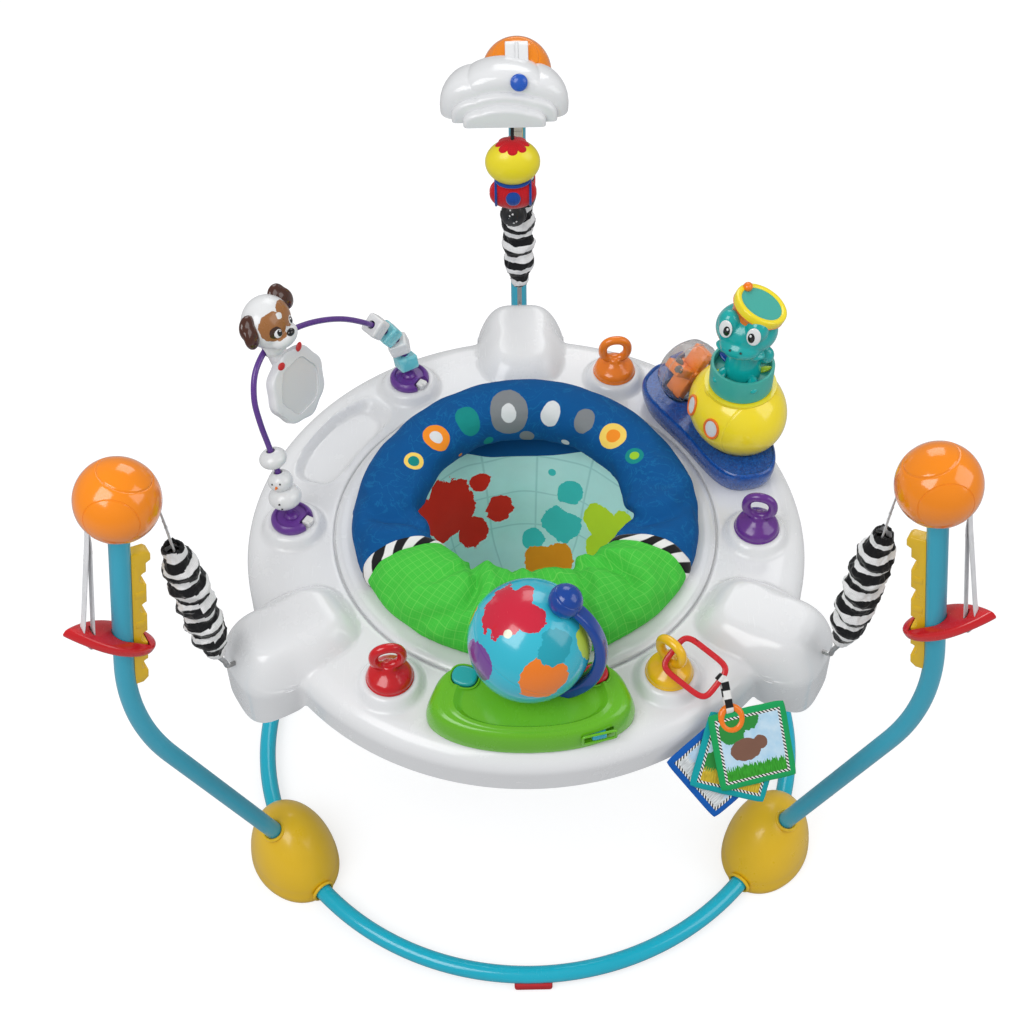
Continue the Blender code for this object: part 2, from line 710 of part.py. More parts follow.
def sleeve_mesh(length):
    """A cloth sleeve gathered into puffs, with creases that wander round it, over a plain bore."""
    low, high = 0.008, length + 0.002
    rows, steps = SLEEVE_PUFFS * 3, 10
    sections = []
    for row in range(rows + 1):
        share = row / rows
        draw_in = 1 - 0.55 * (2 * abs(share - 0.5)) ** 6
        ring = []
        for step in range(steps):
            turn = math.tau * step / steps
            crease = math.cos(math.tau * SLEEVE_PUFFS * share + 0.9 * math.sin(2 * turn))
            radius = SLEEVE_RADIUS * draw_in * (0.91 + 0.09 * crease)
            height = low + (high - low) * share
            ring.append((radius * math.cos(turn), radius * math.sin(turn), height))
        sections.append(ring)
    bore = []
    for height in (high, low):
        turns = [math.tau * step / steps for step in range(steps)]
        bore.append([(SLEEVE_BORE * math.cos(t), SLEEVE_BORE * math.sin(t), height) for t in turns])
    return looped(sections + bore)


# Tray

def arm_sections(inset, drop, floor):
    """Outlines of an arm's rounded hump, drawn in by inset and lowered by drop."""
    rise = ARM_TOP - DECK_TOP
    levels = [(floor, 0.0), (DECK_TOP - 0.024, 0.0), (DECK_TOP, 0.006)]
    levels += [(DECK_TOP + 0.62 * rise, 0.018), (ARM_TOP, 0.036)]
    sections = []
    for height, draw in levels:
        draw += inset
        root, tip = ARM_ROOT + draw * 0.8, ARM_TIP - inset - (draw - inset) * 0.6
        half = ARM_HALF_WIDTH - draw
        outline = superellipse((tip - root) / 2, half, 3.2, 14)
        level = height if height == floor else height - drop
        sections.append([(x + (tip + root) / 2, y, level) for x, y in outline])
    return sections


def bent(outline, reach):
    """Carries (outward, along) points from a straight line to an arc of that reach round the seat axis."""
    points = []
    for x, y in outline:
        turn = y / reach
        points.append(((reach + x) * math.cos(turn), (reach + x) * math.sin(turn)))
    return points


def dish_outline(margin):
    """The snack dish's rounded sector about the X axis, made wider by margin."""
    reach, depth = (DISH_INNER + DISH_OUTER) / 2, (DISH_OUTER - DISH_INNER) / 2
    spread = math.radians(DISH_TO - DISH_FROM) / 2 * reach
    return bent(superellipse(depth + margin, spread + margin, 3.4, 16), reach)


def mound_places():
    """Where the round mounds stand: under the ring posts and under the arch's two feet."""
    places = [around(STATION_REACH, azimuth) for azimuth in ring_post_azimuths().values()]
    turn = Matrix.Rotation(math.radians(STATION_AZIMUTHS["arch"]), 4, "Z")
    for side in (-1, 1):
        local = Vector((STATION_REACH - ARCH_INSET, side * ARCH_SPAN / 2, 0))
        places.append(tuple(turn @ local))
    return places


def ring_post_azimuths():
    globe, submarine = STATION_AZIMUTHS["globe"], STATION_AZIMUTHS["submarine"]
    return {
        "red": globe - RING_POST_OFFSET,
        "yellow": globe + RING_POST_OFFSET,
        "purple": submarine - RING_POST_OFFSET,
        "orange": submarine + RING_POST_OFFSET,
    }


def build_deck(tray):
    rebate = DECK_TOP - REBATE_DEPTH
    crown = [(DECK_RADIUS - 0.001, DECK_TOP - 0.021), (DECK_RADIUS - 0.009, DECK_TOP - 0.007)]
    crown.append((DECK_RADIUS - RIM_ROLL, DECK_TOP))
    outside = [(OPENING_RADIUS, RIM_BOTTOM), (DECK_RADIUS, RIM_BOTTOM), *crown]
    outside += [(REBATE_RADIUS + 0.003, DECK_TOP), (REBATE_RADIUS, DECK_TOP - 0.002)]
    outside += [(REBATE_RADIUS, rebate), (OPENING_RADIUS, rebate)]
    deck = piece("tray_deck", turned(outside, 40), "white", tray)
    for azimuth in POST_AZIMUTHS.values():
        fuse(deck, lofted(arm_sections(0.0, 0.0, ARM_BOTTOM)), rotation=(0, 0, azimuth))
    hump = superellipse(1.0, 1.0, 2.0, 10)
    for place in mound_places():
        rings = [(MOUND_RADIUS, -0.002), (MOUND_RADIUS * 0.92, MOUND_HEIGHT * 0.5)]
        rings.append((MOUND_RADIUS * 0.76, MOUND_HEIGHT))
        body = lofted([[(x * radius, y * radius, level) for x, y in hump] for radius, level in rings])
        fuse(deck, body, (place[0], place[1], DECK_TOP))

    floor = ARM_BOTTOM - 0.02
    under = rebate - LIP_THICKNESS
    inside = [(SEAT_RING_INNER, floor), (DECK_RADIUS - SHELL, floor)]
    inside += [(radius - SHELL, height - SHELL) for radius, height in crown]
    inside += [(REBATE_RADIUS + 0.006, DECK_TOP - SHELL), (REBATE_RADIUS + 0.003, under)]
    inside.append((SEAT_RING_INNER, under))
    cut(deck, turned(inside, 40))
    for azimuth in POST_AZIMUTHS.values():
        cut(deck, lofted(arm_sections(SHELL, SHELL, floor)), rotation=(0, 0, azimuth))
        cut(deck, hook_hole(), (0, 0, SPRING_FOOT[1] - HOOK_DROP), (0, 0, azimuth))
    dish_floor = DECK_TOP - DISH_DEPTH
    turn = (0, 0, (DISH_FROM + DISH_TO) / 2)
    fuse(deck, extruded(dish_outline(SHELL), dish_floor - SHELL, DECK_TOP - SHELL / 2), rotation=turn)
    cut(deck, extruded(dish_outline(0.0), dish_floor, DECK_TOP + 0.01), rotation=turn)
    return deck


def build_ring_posts(tray):
    """Four snap-in loops, each turned its own way, as the photograph shows them."""
    facings = {"red": 100.0, "yellow": 43.0, "purple": 75.0, "orange": 95.0}
    base = RING_POST_BASE
    profile = [(0, 0), (base, 0), (base * 0.96, 0.009), (base * 0.70, 0.017), (base * 0.35, 0.023)]
    profile.append((0, 0.024))
    loop = [(RING_POST_LOOP * math.cos(t), 0, RING_POST_LOOP * math.sin(t))
            for t in steps_round(12)]
    for colour, azimuth in ring_post_azimuths().items():
        place = around(STATION_REACH, azimuth, DECK_TOP + MOUND_HEIGHT + FIT_GAP)
        seat = empty(f"ring_post_{colour}_frame", tray, place, (0, 0, facings[colour] - 90))
        post = piece(f"ring_post_{colour}", turned(profile, 12), colour, seat)
        fuse(post, tube(loop, RING_POST_WIRE, cyclic=True, resolution=1), (0, 0, RING_POST_CENTRE))


# Seat

def build_seat(tray):
    seat = empty("seat_spin_axis", tray)
    rebate = DECK_TOP - REBATE_DEPTH
    bottom = rebate - LIP_THICKNESS - RUN_GAP
    flange_outer = REBATE_RADIUS - 0.0025
    flange = rebate + FIT_GAP
    top = flange + SEAT_RING_HEIGHT
    neck = OPENING_RADIUS - RUN_GAP
    profile = [(SEAT_RING_INNER, bottom - 0.005), (OPENING_RADIUS + 0.006, bottom - 0.005)]
    profile += [(OPENING_RADIUS + 0.006, bottom), (neck, bottom), (neck, flange)]
    profile += [(flange_outer, flange), (flange_outer, top - 0.0025), (flange_outer - 0.005, top)]
    profile.append((SEAT_RING_INNER, top))
    piece("seat_ring", turned(profile, 32), "white", seat)
    piece("seat_pad", pad_mesh(top + FIT_GAP), "royal blue", seat)
    build_sling(seat, top)


def pad_mesh(floor):
    """The collar: a plump section that changes round the opening, low and wide at the front roll,
    tall at the back, and drawn in where the roll's bindings are sewn. It lies flat on the ring."""
    sections, steps = [], 32
    for index in range(steps):
        turn = math.tau * index / steps
        back, front = max(0.0, math.sin(turn)), max(0.0, -math.sin(turn))
        inner = PAD_SIDE_INNER + (PAD_BACK_INNER - PAD_SIDE_INNER) * back**1.5
        inner += (PAD_FRONT_INNER - PAD_SIDE_INNER) * front
        rise = PAD_SIDE_RISE + (PAD_BACK_RISE - PAD_SIDE_RISE) * back**2
        rise += (PAD_FRONT_RISE - PAD_SIDE_RISE) * front
        binding = math.exp(-((front - 0.42) / 0.09) ** 2)
        rise *= 1 - 0.14 * binding
        middle, half = (PAD_OUTER + inner) / 2, (PAD_OUTER - inner) / 2
        section = []
        for step in range(12):
            around_section = math.tau * step / 12
            c, s = math.cos(around_section), math.sin(around_section)
            lift = max(0.0, PAD_WAIST + (1 - PAD_WAIST) * math.copysign(abs(s) ** 0.8, s))
            bulge = half * math.copysign(abs(c) ** 0.8, c)
            reach = middle + bulge + PAD_BACK_LEAN * back * lift * rise
            section.append((reach * math.cos(turn), reach * math.sin(turn), floor + lift * rise))
        sections.append(section)
    return looped(sections)


def build_sling(seat, top):
    """The cloth bucket, hung inside the seat ring, with a leg hole on each side of the front."""
    rim = (SEAT_RING_INNER - FIT_GAP) * FACET_INSET
    bottom = top - SLING_DEPTH
    shares = [(0.43, 0.970), (0.65, 0.833), (0.725, 0.532), (0.827, 0.246), (1.0, 0.069), (1.0, 0.0)]
    outside = [(0, bottom)] + [(rim * out, top - SLING_DEPTH * down) for out, down in shares]
    inside = [(reach - SLING_WALL, height + SLING_WALL * 0.6) for reach, height in reversed(outside[1:-1])]
    inside = [(rim - SLING_WALL, top), *inside, (0, bottom + SLING_WALL)]
    sling = piece("seat_sling", turned(outside + inside, 16), "aqua", seat)
    for side in (-1, 1):
        swing = -90 + side * LEG_HOLE_SPREAD
        hole = rod(LEG_HOLE_RADIUS, SEAT_RING_INNER * 0.15, SEAT_RING_INNER, 12)
        hole = moved(hole, Matrix.Rotation(math.radians(90), 4, "Y"))
        tip = (0, -LEG_HOLE_SLOPE, swing)
        cut(sling, hole, (0, 0, bottom + LEG_HOLE_RISE), tip)


# Globe toy

def build_globe(tray):
    station = station_frame(tray, "globe")
    axis = empty("globe_axis", station, GLOBE_CENTRE, (-GLOBE_TILT, 0, 0))

    sphere = piece("globe", ball((GLOBE_RADIUS,) * 3, 18, 10), "globe blue", axis)
    pin_tip = GLOBE_RADIUS - 0.010
    bore = GLOBE_PIN_RADIUS + RUN_GAP
    for low, high in ((pin_tip - 0.001, GLOBE_RADIUS + 0.01), (-GLOBE_RADIUS - 0.01, -pin_tip + 0.001)):
        cut(sphere, rod(bore, low, high))

    arm = piece("globe_arm", arm_band(0.0), "arm blue", axis)
    crest = GLOBE_RADIUS + GLOBE_ARM_GAP + GLOBE_ARM_THICKNESS / 2
    fuse(arm, ball((GLOBE_KNOB_RADIUS,) * 3, 10, 7), (0, 0, crest + 0.002))
    cut(arm, ball((GLOBE_RADIUS + RUN_GAP * 2,) * 3, 14, 8))
    fuse(arm, rod(GLOBE_PIN_RADIUS, pin_tip, crest))
    fuse(arm, rod(GLOBE_PIN_RADIUS, -crest, -pin_tip))

    base = piece("globe_base", globe_base_mesh(), "green", station, (-STATION_REACH, 0, FIT_GAP))
    cut(base, ball((GLOBE_RADIUS + 0.0015,) * 3, 18, 10), parent=axis)
    cut(base, arm_band(FIT_GAP), parent=axis)
    cut(base, rod(GLOBE_PIN_RADIUS + RUN_GAP, -crest, -pin_tip), parent=axis)

    reach = STATION_REACH + GLOBE_BASE_X
    tilt = math.degrees(math.atan(GLOBE_BASE_SLANT))
    for side, name, colour in ((-1, "globe_button_left", "teal"), (1, "globe_button_right", "red")):
        x, y = bent([(BUTTON_INSET, side * BUTTON_OFFSET)], reach)[0]
        top = GLOBE_BASE_HEIGHT - GLOBE_BASE_SLANT * BUTTON_INSET + FIT_GAP
        turn = math.degrees(side * BUTTON_OFFSET / reach)
        holder = empty(f"{name}_axis", station, (x - STATION_REACH, y, top), (0, tilt, turn))
        pocket = superellipse(BUTTON_HALF_WIDTH + RUN_GAP, BUTTON_HALF_LENGTH + RUN_GAP, 2.4, 16)
        depth = 0.012
        cut(base, extruded(pocket, -depth - BUTTON_TRAVEL - FIT_GAP, 0.02), parent=holder)
        shape = superellipse(BUTTON_HALF_WIDTH, BUTTON_HALF_LENGTH, 2.4, 16)
        levels = [(1.0, -depth), (1.0, BUTTON_PROUD - 0.002), (0.86, BUTTON_PROUD)]
        sections = [[(x * k, y * k, level) for x, y in shape] for k, level in levels]
        piece(name, lofted(sections), colour, holder)

    x, y = bent([(GLOBE_BASE_HALF_WIDTH * 0.90, SWITCH_ALONG)], reach)[0]
    place = (x - STATION_REACH, y, SWITCH_Z)
    holder = empty("volume_switch_axis", station, place, (0, 0, math.degrees(SWITCH_ALONG / reach)))
    run = SWITCH_LENGTH + 2 * SWITCH_TRAVEL
    cut(base, block((SWITCH_DEPTH * 2, run + 2 * RUN_GAP, SWITCH_HEIGHT + 2 * FIT_GAP)), parent=holder)
    knob = block((SWITCH_DEPTH, SWITCH_LENGTH, SWITCH_HEIGHT))
    inset = (RUN_GAP * 2 - SWITCH_DEPTH / 2, 0, 0)
    bevel(piece("volume_switch", knob, "globe blue", holder, inset), 0.001, 1)


def station_frame(tray, name):
    azimuth = STATION_AZIMUTHS[name]
    return empty(f"station_{name}", tray, around(STATION_REACH, azimuth, DECK_TOP), (0, 0, azimuth))


def arm_band(margin):
    """The globe's crescent bracket, deepest halfway between the poles, made thicker by margin."""
    inner = GLOBE_RADIUS + GLOBE_ARM_GAP - margin
    outer = inner + GLOBE_ARM_THICKNESS + 2 * margin
    half = GLOBE_ARM_WIDTH / 2 + margin
    corners = [(inner, -half), (outer - 0.002, -half), (outer, -half * 0.7), (outer, half * 0.7)]
    corners += [(outer - 0.002, half), (inner, half)]
    sections = []
    overrun = margin / outer
    for step in range(13):
        polar = -overrun + (math.pi + 2 * overrun) * step / 12
        out, up = math.sin(polar), math.cos(polar)
        swell = GLOBE_ARM_SWELL * max(0.0, out) ** 2
        reaches = [(reach + swell if reach > inner else reach, side) for reach, side in corners]
        sections.append([(reach * out, side, reach * up) for reach, side in reaches])
    return moved(lofted(sections), Matrix.Rotation(math.radians(GLOBE_ARM_AZIMUTH), 4, "Z"))


def globe_base_mesh():
    """A console with round ends that follows the seat's edge, and whose top falls towards the rim."""
    levels = [(0.0, 1.0), (0.30, 1.0), (0.62, 0.975), (0.86, 0.94), (1.0, 0.88)]
    outline = superellipse(GLOBE_BASE_HALF_WIDTH, GLOBE_BASE_HALF_LENGTH, 3.2, 24)
    sections = []
    for share, size in levels:
        flat = [(x * size, y * size) for x, y in outline]
        around_seat = bent(flat, STATION_REACH + GLOBE_BASE_X)
        rises = [share * (GLOBE_BASE_HEIGHT - GLOBE_BASE_SLANT * x) for x, y in flat]
        sections.append([(x, y, rise) for (x, y), rise in zip(around_seat, rises)])
    return lofted(sections)


# Submarine toy

def build_submarine(tray):
    station = station_frame(tray, "submarine")
    outline = superellipse(SUB_BASE_HALF_WIDTH, SUB_BASE_HALF_LENGTH, 2.8, 24)
    levels = [(0.0, 0.93), (0.35, 0.98), (0.75, 1.0), (1.0, 0.985)]
    sections = []
    for share, size in levels:
        around_seat = bent([(x * size, y * size) for x, y in outline], STATION_REACH + SUB_BASE_X)
        sections.append([(x, y, share * SUB_BASE_HEIGHT) for x, y in around_seat])
    place, turn = (-STATION_REACH, 0, FIT_GAP), (0, 0, SUB_BASE_TURN)
    base = piece("sub_base", lofted(sections), "royal blue", station, place, turn)
    lug_near = DRUM_CENTRE[1] + DRUM_HALF_WIDTH + 0.003
    lug = block((0.022, 0.008, DRUM_CENTRE[2] - 0.006))
    fuse(base, lug, (DRUM_CENTRE[0], lug_near + 0.004, (DRUM_CENTRE[2] + 0.018) / 2))

    hull = piece("sub_hull", ball(HULL_SIZE, 16, 10), "lemon", station, HULL_CENTRE)
    neck = [(0, HULL_CENTRE[2]), (HULL_NECK_RADIUS - 0.004, HULL_CENTRE[2])]
    neck += [(HULL_NECK_RADIUS, HULL_NECK_TOP + 0.005), (0, HULL_NECK_TOP + 0.005)]
    over_neck = (HULL_CENTRE[0], HULL_CENTRE[1], 0)
    fuse(hull, turned(neck, 16), over_neck)
    spigot = 0.008
    hole, above = HULL_NECK_TOP - HULL_SOCKET - 0.002, HULL_NECK_TOP + 0.03
    trim = [(0, hole), (spigot + RUN_GAP, hole), (spigot + RUN_GAP, HULL_NECK_TOP)]
    trim += [(HULL_SIZE[0], HULL_NECK_TOP), (HULL_SIZE[0], above), (0, above)]
    cut(hull, turned(trim, 14), over_neck)

    grown = tuple(size + FIT_GAP * 1.5 for size in HULL_SIZE)
    cut(base, ball(grown, 16, 10), HULL_CENTRE)

    across = Matrix.Rotation(math.radians(-90), 4, "X")
    hull_side = HULL_CENTRE[1] + HULL_SIZE[1] * 0.93 - DRUM_CENTRE[1]
    pin_in, pin_out = hull_side - 0.008, lug_near - DRUM_CENTRE[1] + 0.006
    drum = piece("rattle_drum", moved(drum_mesh(0.0), across), "clear", station, DRUM_CENTRE)
    fuse(drum, moved(rod(DRUM_PIN_RADIUS, pin_in, pin_out), across), DRUM_CENTRE)
    bore = moved(rod(DRUM_PIN_RADIUS + FIT_GAP, pin_in - FIT_GAP, pin_out + FIT_GAP), across)
    for target in (base, hull):
        cut(target, bore.copy(), DRUM_CENTRE)
    cut(base, moved(drum_mesh(RUN_GAP * 2), across), DRUM_CENTRE)
    build_turtle(station, spigot)


def drum_mesh(margin):
    """A drum with slightly domed ends, made bigger by margin."""
    radius, half = DRUM_RADIUS + margin, DRUM_HALF_WIDTH + margin
    profile = [(0, -half), (radius * 0.80, -half), (radius * 0.95, -half * 0.72), (radius, -half * 0.3)]
    profile += [(reach, -height) for reach, height in reversed(profile)]
    return turned(profile, 16)


def build_turtle(station, spigot):
    """Collar, head and cap in one piece that turns on the hull's neck."""
    seat = (HULL_CENTRE[0], HULL_CENTRE[1], HULL_NECK_TOP + FIT_GAP)
    axis = empty("turtle_axis", station, seat, (0, 0, TURTLE_FACING))
    cup, head = COLLAR_RADIUS, HEAD_RISE
    neck = cup * 0.5
    profile = [(0, -HULL_SOCKET), (spigot, -HULL_SOCKET), (spigot, 0.0), (cup - 0.001, 0.0), (cup, 0.004)]
    profile += [(cup, COLLAR_HEIGHT), (cup - 0.004, COLLAR_HEIGHT), (cup - 0.005, COLLAR_HEIGHT - 0.006)]
    profile += [(neck, COLLAR_HEIGHT - 0.007), (neck, COLLAR_HEIGHT + 0.018), (neck * 0.7, head - 0.022)]
    profile.append((0, head - 0.022))
    turtle = piece("turtle", turned(profile, 16), "teal", axis)
    fuse(turtle, ball(HEAD_SIZE, 12, 7), (0.004, 0, head))
    fuse(turtle, ball(SNOUT_SIZE, 10, 6), (0.024, 0, head - 0.010))
    for side in (-1, 1):
        fuse(turtle, ball(EYE_SIZE, 8, 5), (0.022, side * 0.016, head + 0.020))
    low, wide, tall = HAT_SIZE
    hat = [(0, 0), (low, 0), (wide - 0.001, tall * 0.73), (wide, tall * 0.93), (wide - 0.003, tall)]
    fuse(turtle, turned([*hat, (0, tall)], 12), (-0.006, 0, head + 0.015), (0, -HAT_TILT, 0))


# Wire arch and its beads

def arch_plane_point(along, rise):
    """A point of the arch's leaning plane: along its chord from the left foot, and up the plane."""
    lean = math.radians(ARCH_LEAN)
    foot = MOUND_HEIGHT + FIT_GAP
    return Vector((rise * math.sin(lean) - ARCH_INSET, ARCH_SPAN / 2 - along, foot + rise * math.cos(lean)))


def arch_path():
    """The wire: a steep left leg, a round shoulder, and a long fall that bulges past the right foot."""
    shape = [(0, 0.01), (0.015, 0.144), (0.035, 0.335), (0.046, 0.502), (0.054, 0.670)]
    shape += [(0.078, 0.823), (0.148, 0.947), (0.275, 1.0), (0.416, 0.957), (0.564, 0.871)]
    shape += [(0.713, 0.746), (0.839, 0.598), (0.943, 0.440), (1.006, 0.278), (1.019, 0.134), (1, 0.01)]
    places = [arch_plane_point(along * ARCH_SPAN, rise * ARCH_RISE) for along, rise in shape]
    return smooth_path(places, 2)


def wire_seat(path, share):
    """The point and direction of the wire at a share of its length."""
    lengths = [0.0]
    for a, b in zip(path, path[1:]):
        lengths.append(lengths[-1] + (b - a).length)
    wanted = share * lengths[-1]
    for index, (low, high) in enumerate(zip(lengths, lengths[1:])):
        if wanted <= high:
            a, b = path[index], path[index + 1]
            return a.lerp(b, (wanted - low) / (high - low)), (b - a).normalized()
    return path[-1], (path[-1] - path[-2]).normalized()


def bead_frame(name, station, path, share):
    place, along = wire_seat(path, share)
    frame = empty(f"{name}_axis", station, place)
    frame.rotation_mode = "QUATERNION"
    frame.rotation_quaternion = along.to_track_quat("Z", "Y")
    return frame


def build_arch(tray):
    station = station_frame(tray, "arch")
    path = arch_path()
    wire = piece("arch_wire", tube(path, WIRE_RADIUS, resolution=1), "purple", station)
    rise = ARCH_FOOT_HEIGHT
    foot = [(0, 0), (ARCH_FOOT_RADIUS, 0), (ARCH_FOOT_RADIUS, rise * 0.5), (ARCH_FOOT_RADIUS * 0.85, rise)]
    foot.append((0, rise))
    for side in (-1, 1):
        fuse(wire, turned(foot, 12), (-ARCH_INSET, side * ARCH_SPAN / 2, MOUND_HEIGHT + FIT_GAP))

    snowman = bead_frame("snowman", station, path, 0.058)
    body = piece("snowman", ball((SNOWMAN_RADIUS, SNOWMAN_RADIUS, SNOWMAN_LOW), 10, 7), "white", snowman)
    top, head = SNOWMAN_HEAD
    fuse(body, ball((top, top, head), 10, 6), (0, 0, SNOWMAN_STEP))
    bead = bead_frame("snow_bead", station, path, 0.158)
    flat = piece("snow_bead", ball((BEAD_RADIUS, BEAD_RADIUS, BEAD_RADIUS * 0.7), 10, 7), "white", bead)
    for target in (body, flat):
        cut(target, rod(BEAD_BORE, -0.05, 0.06))
    shares = {"white_block_upper": 0.800, "ice_block_upper": 0.853}
    shares.update({"white_block_lower": 0.904, "ice_block_lower": 0.955})
    for name, share in shares.items():
        frame = bead_frame(name, station, path, share)
        colour = "ice" if name.startswith("ice") else "white"
        cube = piece(name, block((BLOCK_SIZE, BLOCK_SIZE, BLOCK_HEIGHT)), colour, frame)
        bevel(cube, BLOCK_EDGE, 1)
        cut(cube, rod(BEAD_BORE, -0.03, 0.03))
    build_puppy(station, path)


def build_puppy(station, path):
    """Head above the wire and mirror below it, on a block that swings on the wire's level top."""
    place, along = wire_seat(path, PUPPY_SHARE)
    level = math.degrees(math.atan2(-along.x, along.y))
    axis = empty("puppy_axis", station, place, (0, -PUPPY_TILT, level))
    hanger = piece("puppy_mirror", block(PUPPY_BLOCK), "white", axis, (0.005, 0, -0.004))
    wide, tall = PUPPY_HEAD[1:]
    fuse(hanger, ball(PUPPY_HEAD, 12, 7), (0.015, 0, tall + 0.004))
    for side in (-1, 1):
        fuse(hanger, ball(PUPPY_EAR, 8, 5), (0.022, side * wide, tall * 1.43), (side * 35, 0, 0))
    high, broad = MIRROR_SIZE
    turns = [angle + math.pi / 8 for angle in steps_round(8)]
    frame = [(high * math.sin(turn), broad * math.cos(turn)) for turn in turns]
    plate = extruded(frame, -MIRROR_THICKNESS / 2, MIRROR_THICKNESS / 2)
    fuse(hanger, moved(plate, Matrix.Rotation(math.radians(90), 4, "Y")), (0.010, 0, -high - 0.013))
    cut(hanger, moved(rod(BEAD_BORE, -0.05, 0.05), Matrix.Rotation(math.radians(90), 4, "X")))


# Toys on the back post

def cloud_section(reach, half_width, height):
    """A scalloped cloud with a flat bottom, upright across the post's frame at a reach."""
    points = []
    for step in range(17):
        turn = math.pi * step / 16
        puff = 0.93 + 0.07 * abs(math.sin(2.5 * turn + math.pi / 4))
        y = half_width * puff * math.cos(turn)
        points.append((reach, CLOUD_SHIFT + y, CLOUD_BOTTOM + height * puff * math.sin(turn) ** 0.7))
    return points


def build_cloud(frame):
    """A white cloud clipped on the back ball, and the figure that swings below it: a domed cloud
    with two smaller ones stepped out in front."""
    wide, tall = CLOUD_HALF_WIDTH, CLOUD_HEIGHT
    front = CLOUD_FRONT + 2 * CLOUD_STEP
    dome = [cloud_section(front, wide, tall * 0.78), cloud_section(front + 0.014, wide, tall * 0.94)]
    dome.append(cloud_section(front + 0.030, wide * 0.98, tall))
    dome.append(cloud_section(CLOUD_BACK, wide * 0.86, tall * 0.9))
    cloud = piece("cloud", lofted(dome), "white", frame)
    for tier, width, height in ((1, 0.80, 0.47), (0, 0.62, 0.37)):
        reach = CLOUD_FRONT + tier * CLOUD_STEP
        reaches = (reach, reach + CLOUD_STEP + 0.004)
        ends = [cloud_section(end, wide * width, tall * height) for end in reaches]
        fuse(cloud, lofted(ends), (0, 0, 0.0004 * (tier - 2)))
    clip = [(math.cos(math.radians(turn)), math.sin(math.radians(turn))) for turn in range(95, 196, 20)]
    inner = BALL_RADIUS + FIT_GAP
    band = [(x * inner, y * inner) for x, y in clip]
    band += [(x * (inner + CLIP_THICKNESS), y * (inner + CLIP_THICKNESS)) for x, y in reversed(clip)]
    fuse(cloud, extruded(band, -CLIP_HALF_WIDTH, CLIP_HALF_WIDTH, "Y"), (BALL_REACH, 0, BALL_HEIGHT))
    cut(cloud, ball((BALL_RADIUS + FIT_GAP * 2,) * 3, 14, 9), (BALL_REACH, 0, BALL_HEIGHT))
    cut(cloud, ribbon(strap_path(), STRAP_WIDTH + 0.004, STRAP_THICKNESS + 0.004))
    slot = block((0.0072, 0.014, 0.030))
    cut(cloud, slot, (FIGURE_REACH, FIGURE_SIDE, FIGURE_PIVOT))
    build_bead_figure(frame)


def build_bead_figure(frame):
    pivot = empty("bead_figure_axis", frame, (FIGURE_REACH, FIGURE_SIDE, FIGURE_PIVOT))
    figure = piece("bead_figure", rod(FIGURE_PIN, FIGURE_DROPS[0], 0.008), "red", pivot)
    for drop, size in zip(FIGURE_DROPS, FIGURE_PARTS):
        fuse(figure, ball(size, 10, 6), (0, 0, drop))


# Link and book

def build_link(tray):
    """A rounded link through the yellow loop, and the cloth cards hung on it over the rim."""
    azimuth = ring_post_azimuths()["yellow"]
    loop_height = DECK_TOP + MOUND_HEIGHT + FIT_GAP + RING_POST_CENTRE - LINK_DROP
    loop = Vector(around(STATION_REACH, azimuth, loop_height))
    side = LINK_SIDE
    fall = (LINK_FALL - side * LINK_FALL.dot(side)).normalized()
    normal = side.cross(fall)
    pivot = empty("link_axis", tray, loop)
    pivot.rotation_mode = "QUATERNION"
    pivot.rotation_quaternion = Matrix((side, fall, normal)).transposed().to_quaternion()
    centre_x, centre_y = 0.004, LINK_LONG / 2
    outline = superellipse(LINK_SHORT / 2, LINK_LONG / 2, 5.0, 24)
    route = [(centre_x + x, centre_y + y, 0.0) for x, y in outline]
    piece("link_ring", tube(route, LINK_WIRE, cyclic=True, resolution=1), "red", pivot)

    knot = loop + side * (centre_x + 0.008) + fall * LINK_LONG
    drape = Vector(around(DECK_RADIUS - STATION_REACH - LOOP_TO_RIM, azimuth))
    build_book(tray, knot, RIBBON_FALL + drape)


def build_book(tray, knot, ribbon_fall):
    """Three cards in a fan below a round ring, on a ribbon whose loop goes round the link's outer side."""
    across = Vector((0, 0, 1)).cross(CARD_FACING).normalized()
    upward = CARD_FACING.cross(across)
    turn = Matrix((across, upward, CARD_FACING)).transposed()
    pivot = empty("book_axis", tray, knot)
    pivot.rotation_mode = "QUATERNION"
    pivot.rotation_quaternion = turn.to_quaternion()
    to_card = turn.inverted()
    fan = to_card @ ribbon_fall
    link_line = to_card @ LINK_SIDE
    hang = (fan - link_line * fan.dot(link_line)).normalized()
    sideways = link_line.cross(hang)
    eye = LINK_WIRE + RIBBON_RADIUS + RUN_GAP
    loop = [(hang * math.cos(t) + sideways * math.sin(t)) * eye for t in steps_round(10)]
    book = piece("book", tube(loop, RIBBON_RADIUS, cyclic=True, resolution=1), "green", pivot)
    fuse(book, tube([hang * eye, fan], RIBBON_RADIUS, resolution=1))
    ring = [fan + Vector((math.cos(t), math.sin(t), 0)) * CARD_RING_RADIUS for t in steps_round(12)]
    fuse(book, tube(ring, CARD_RING_WIRE, cyclic=True, resolution=1))
    half, corner = CARD_SIZE / 2, CARD_SIZE / 2 - CARD_CORNER
    for layer, (x, y, angle) in enumerate(CARD_POSES):
        shape = [(half, -corner), (half, corner), (corner, half), (-corner, half)]
        shape += [(-a, -b) for a, b in shape]
        card = extruded(shape, -CARD_THICKNESS / 2, CARD_THICKNESS / 2)
        centre = fan + Vector((x, y, -layer * CARD_THICKNESS * 0.9))
        swing = Matrix.Rotation(math.radians(angle), 4, "Z")
        fuse(book, moved(card, Matrix.Translation(centre) @ swing))


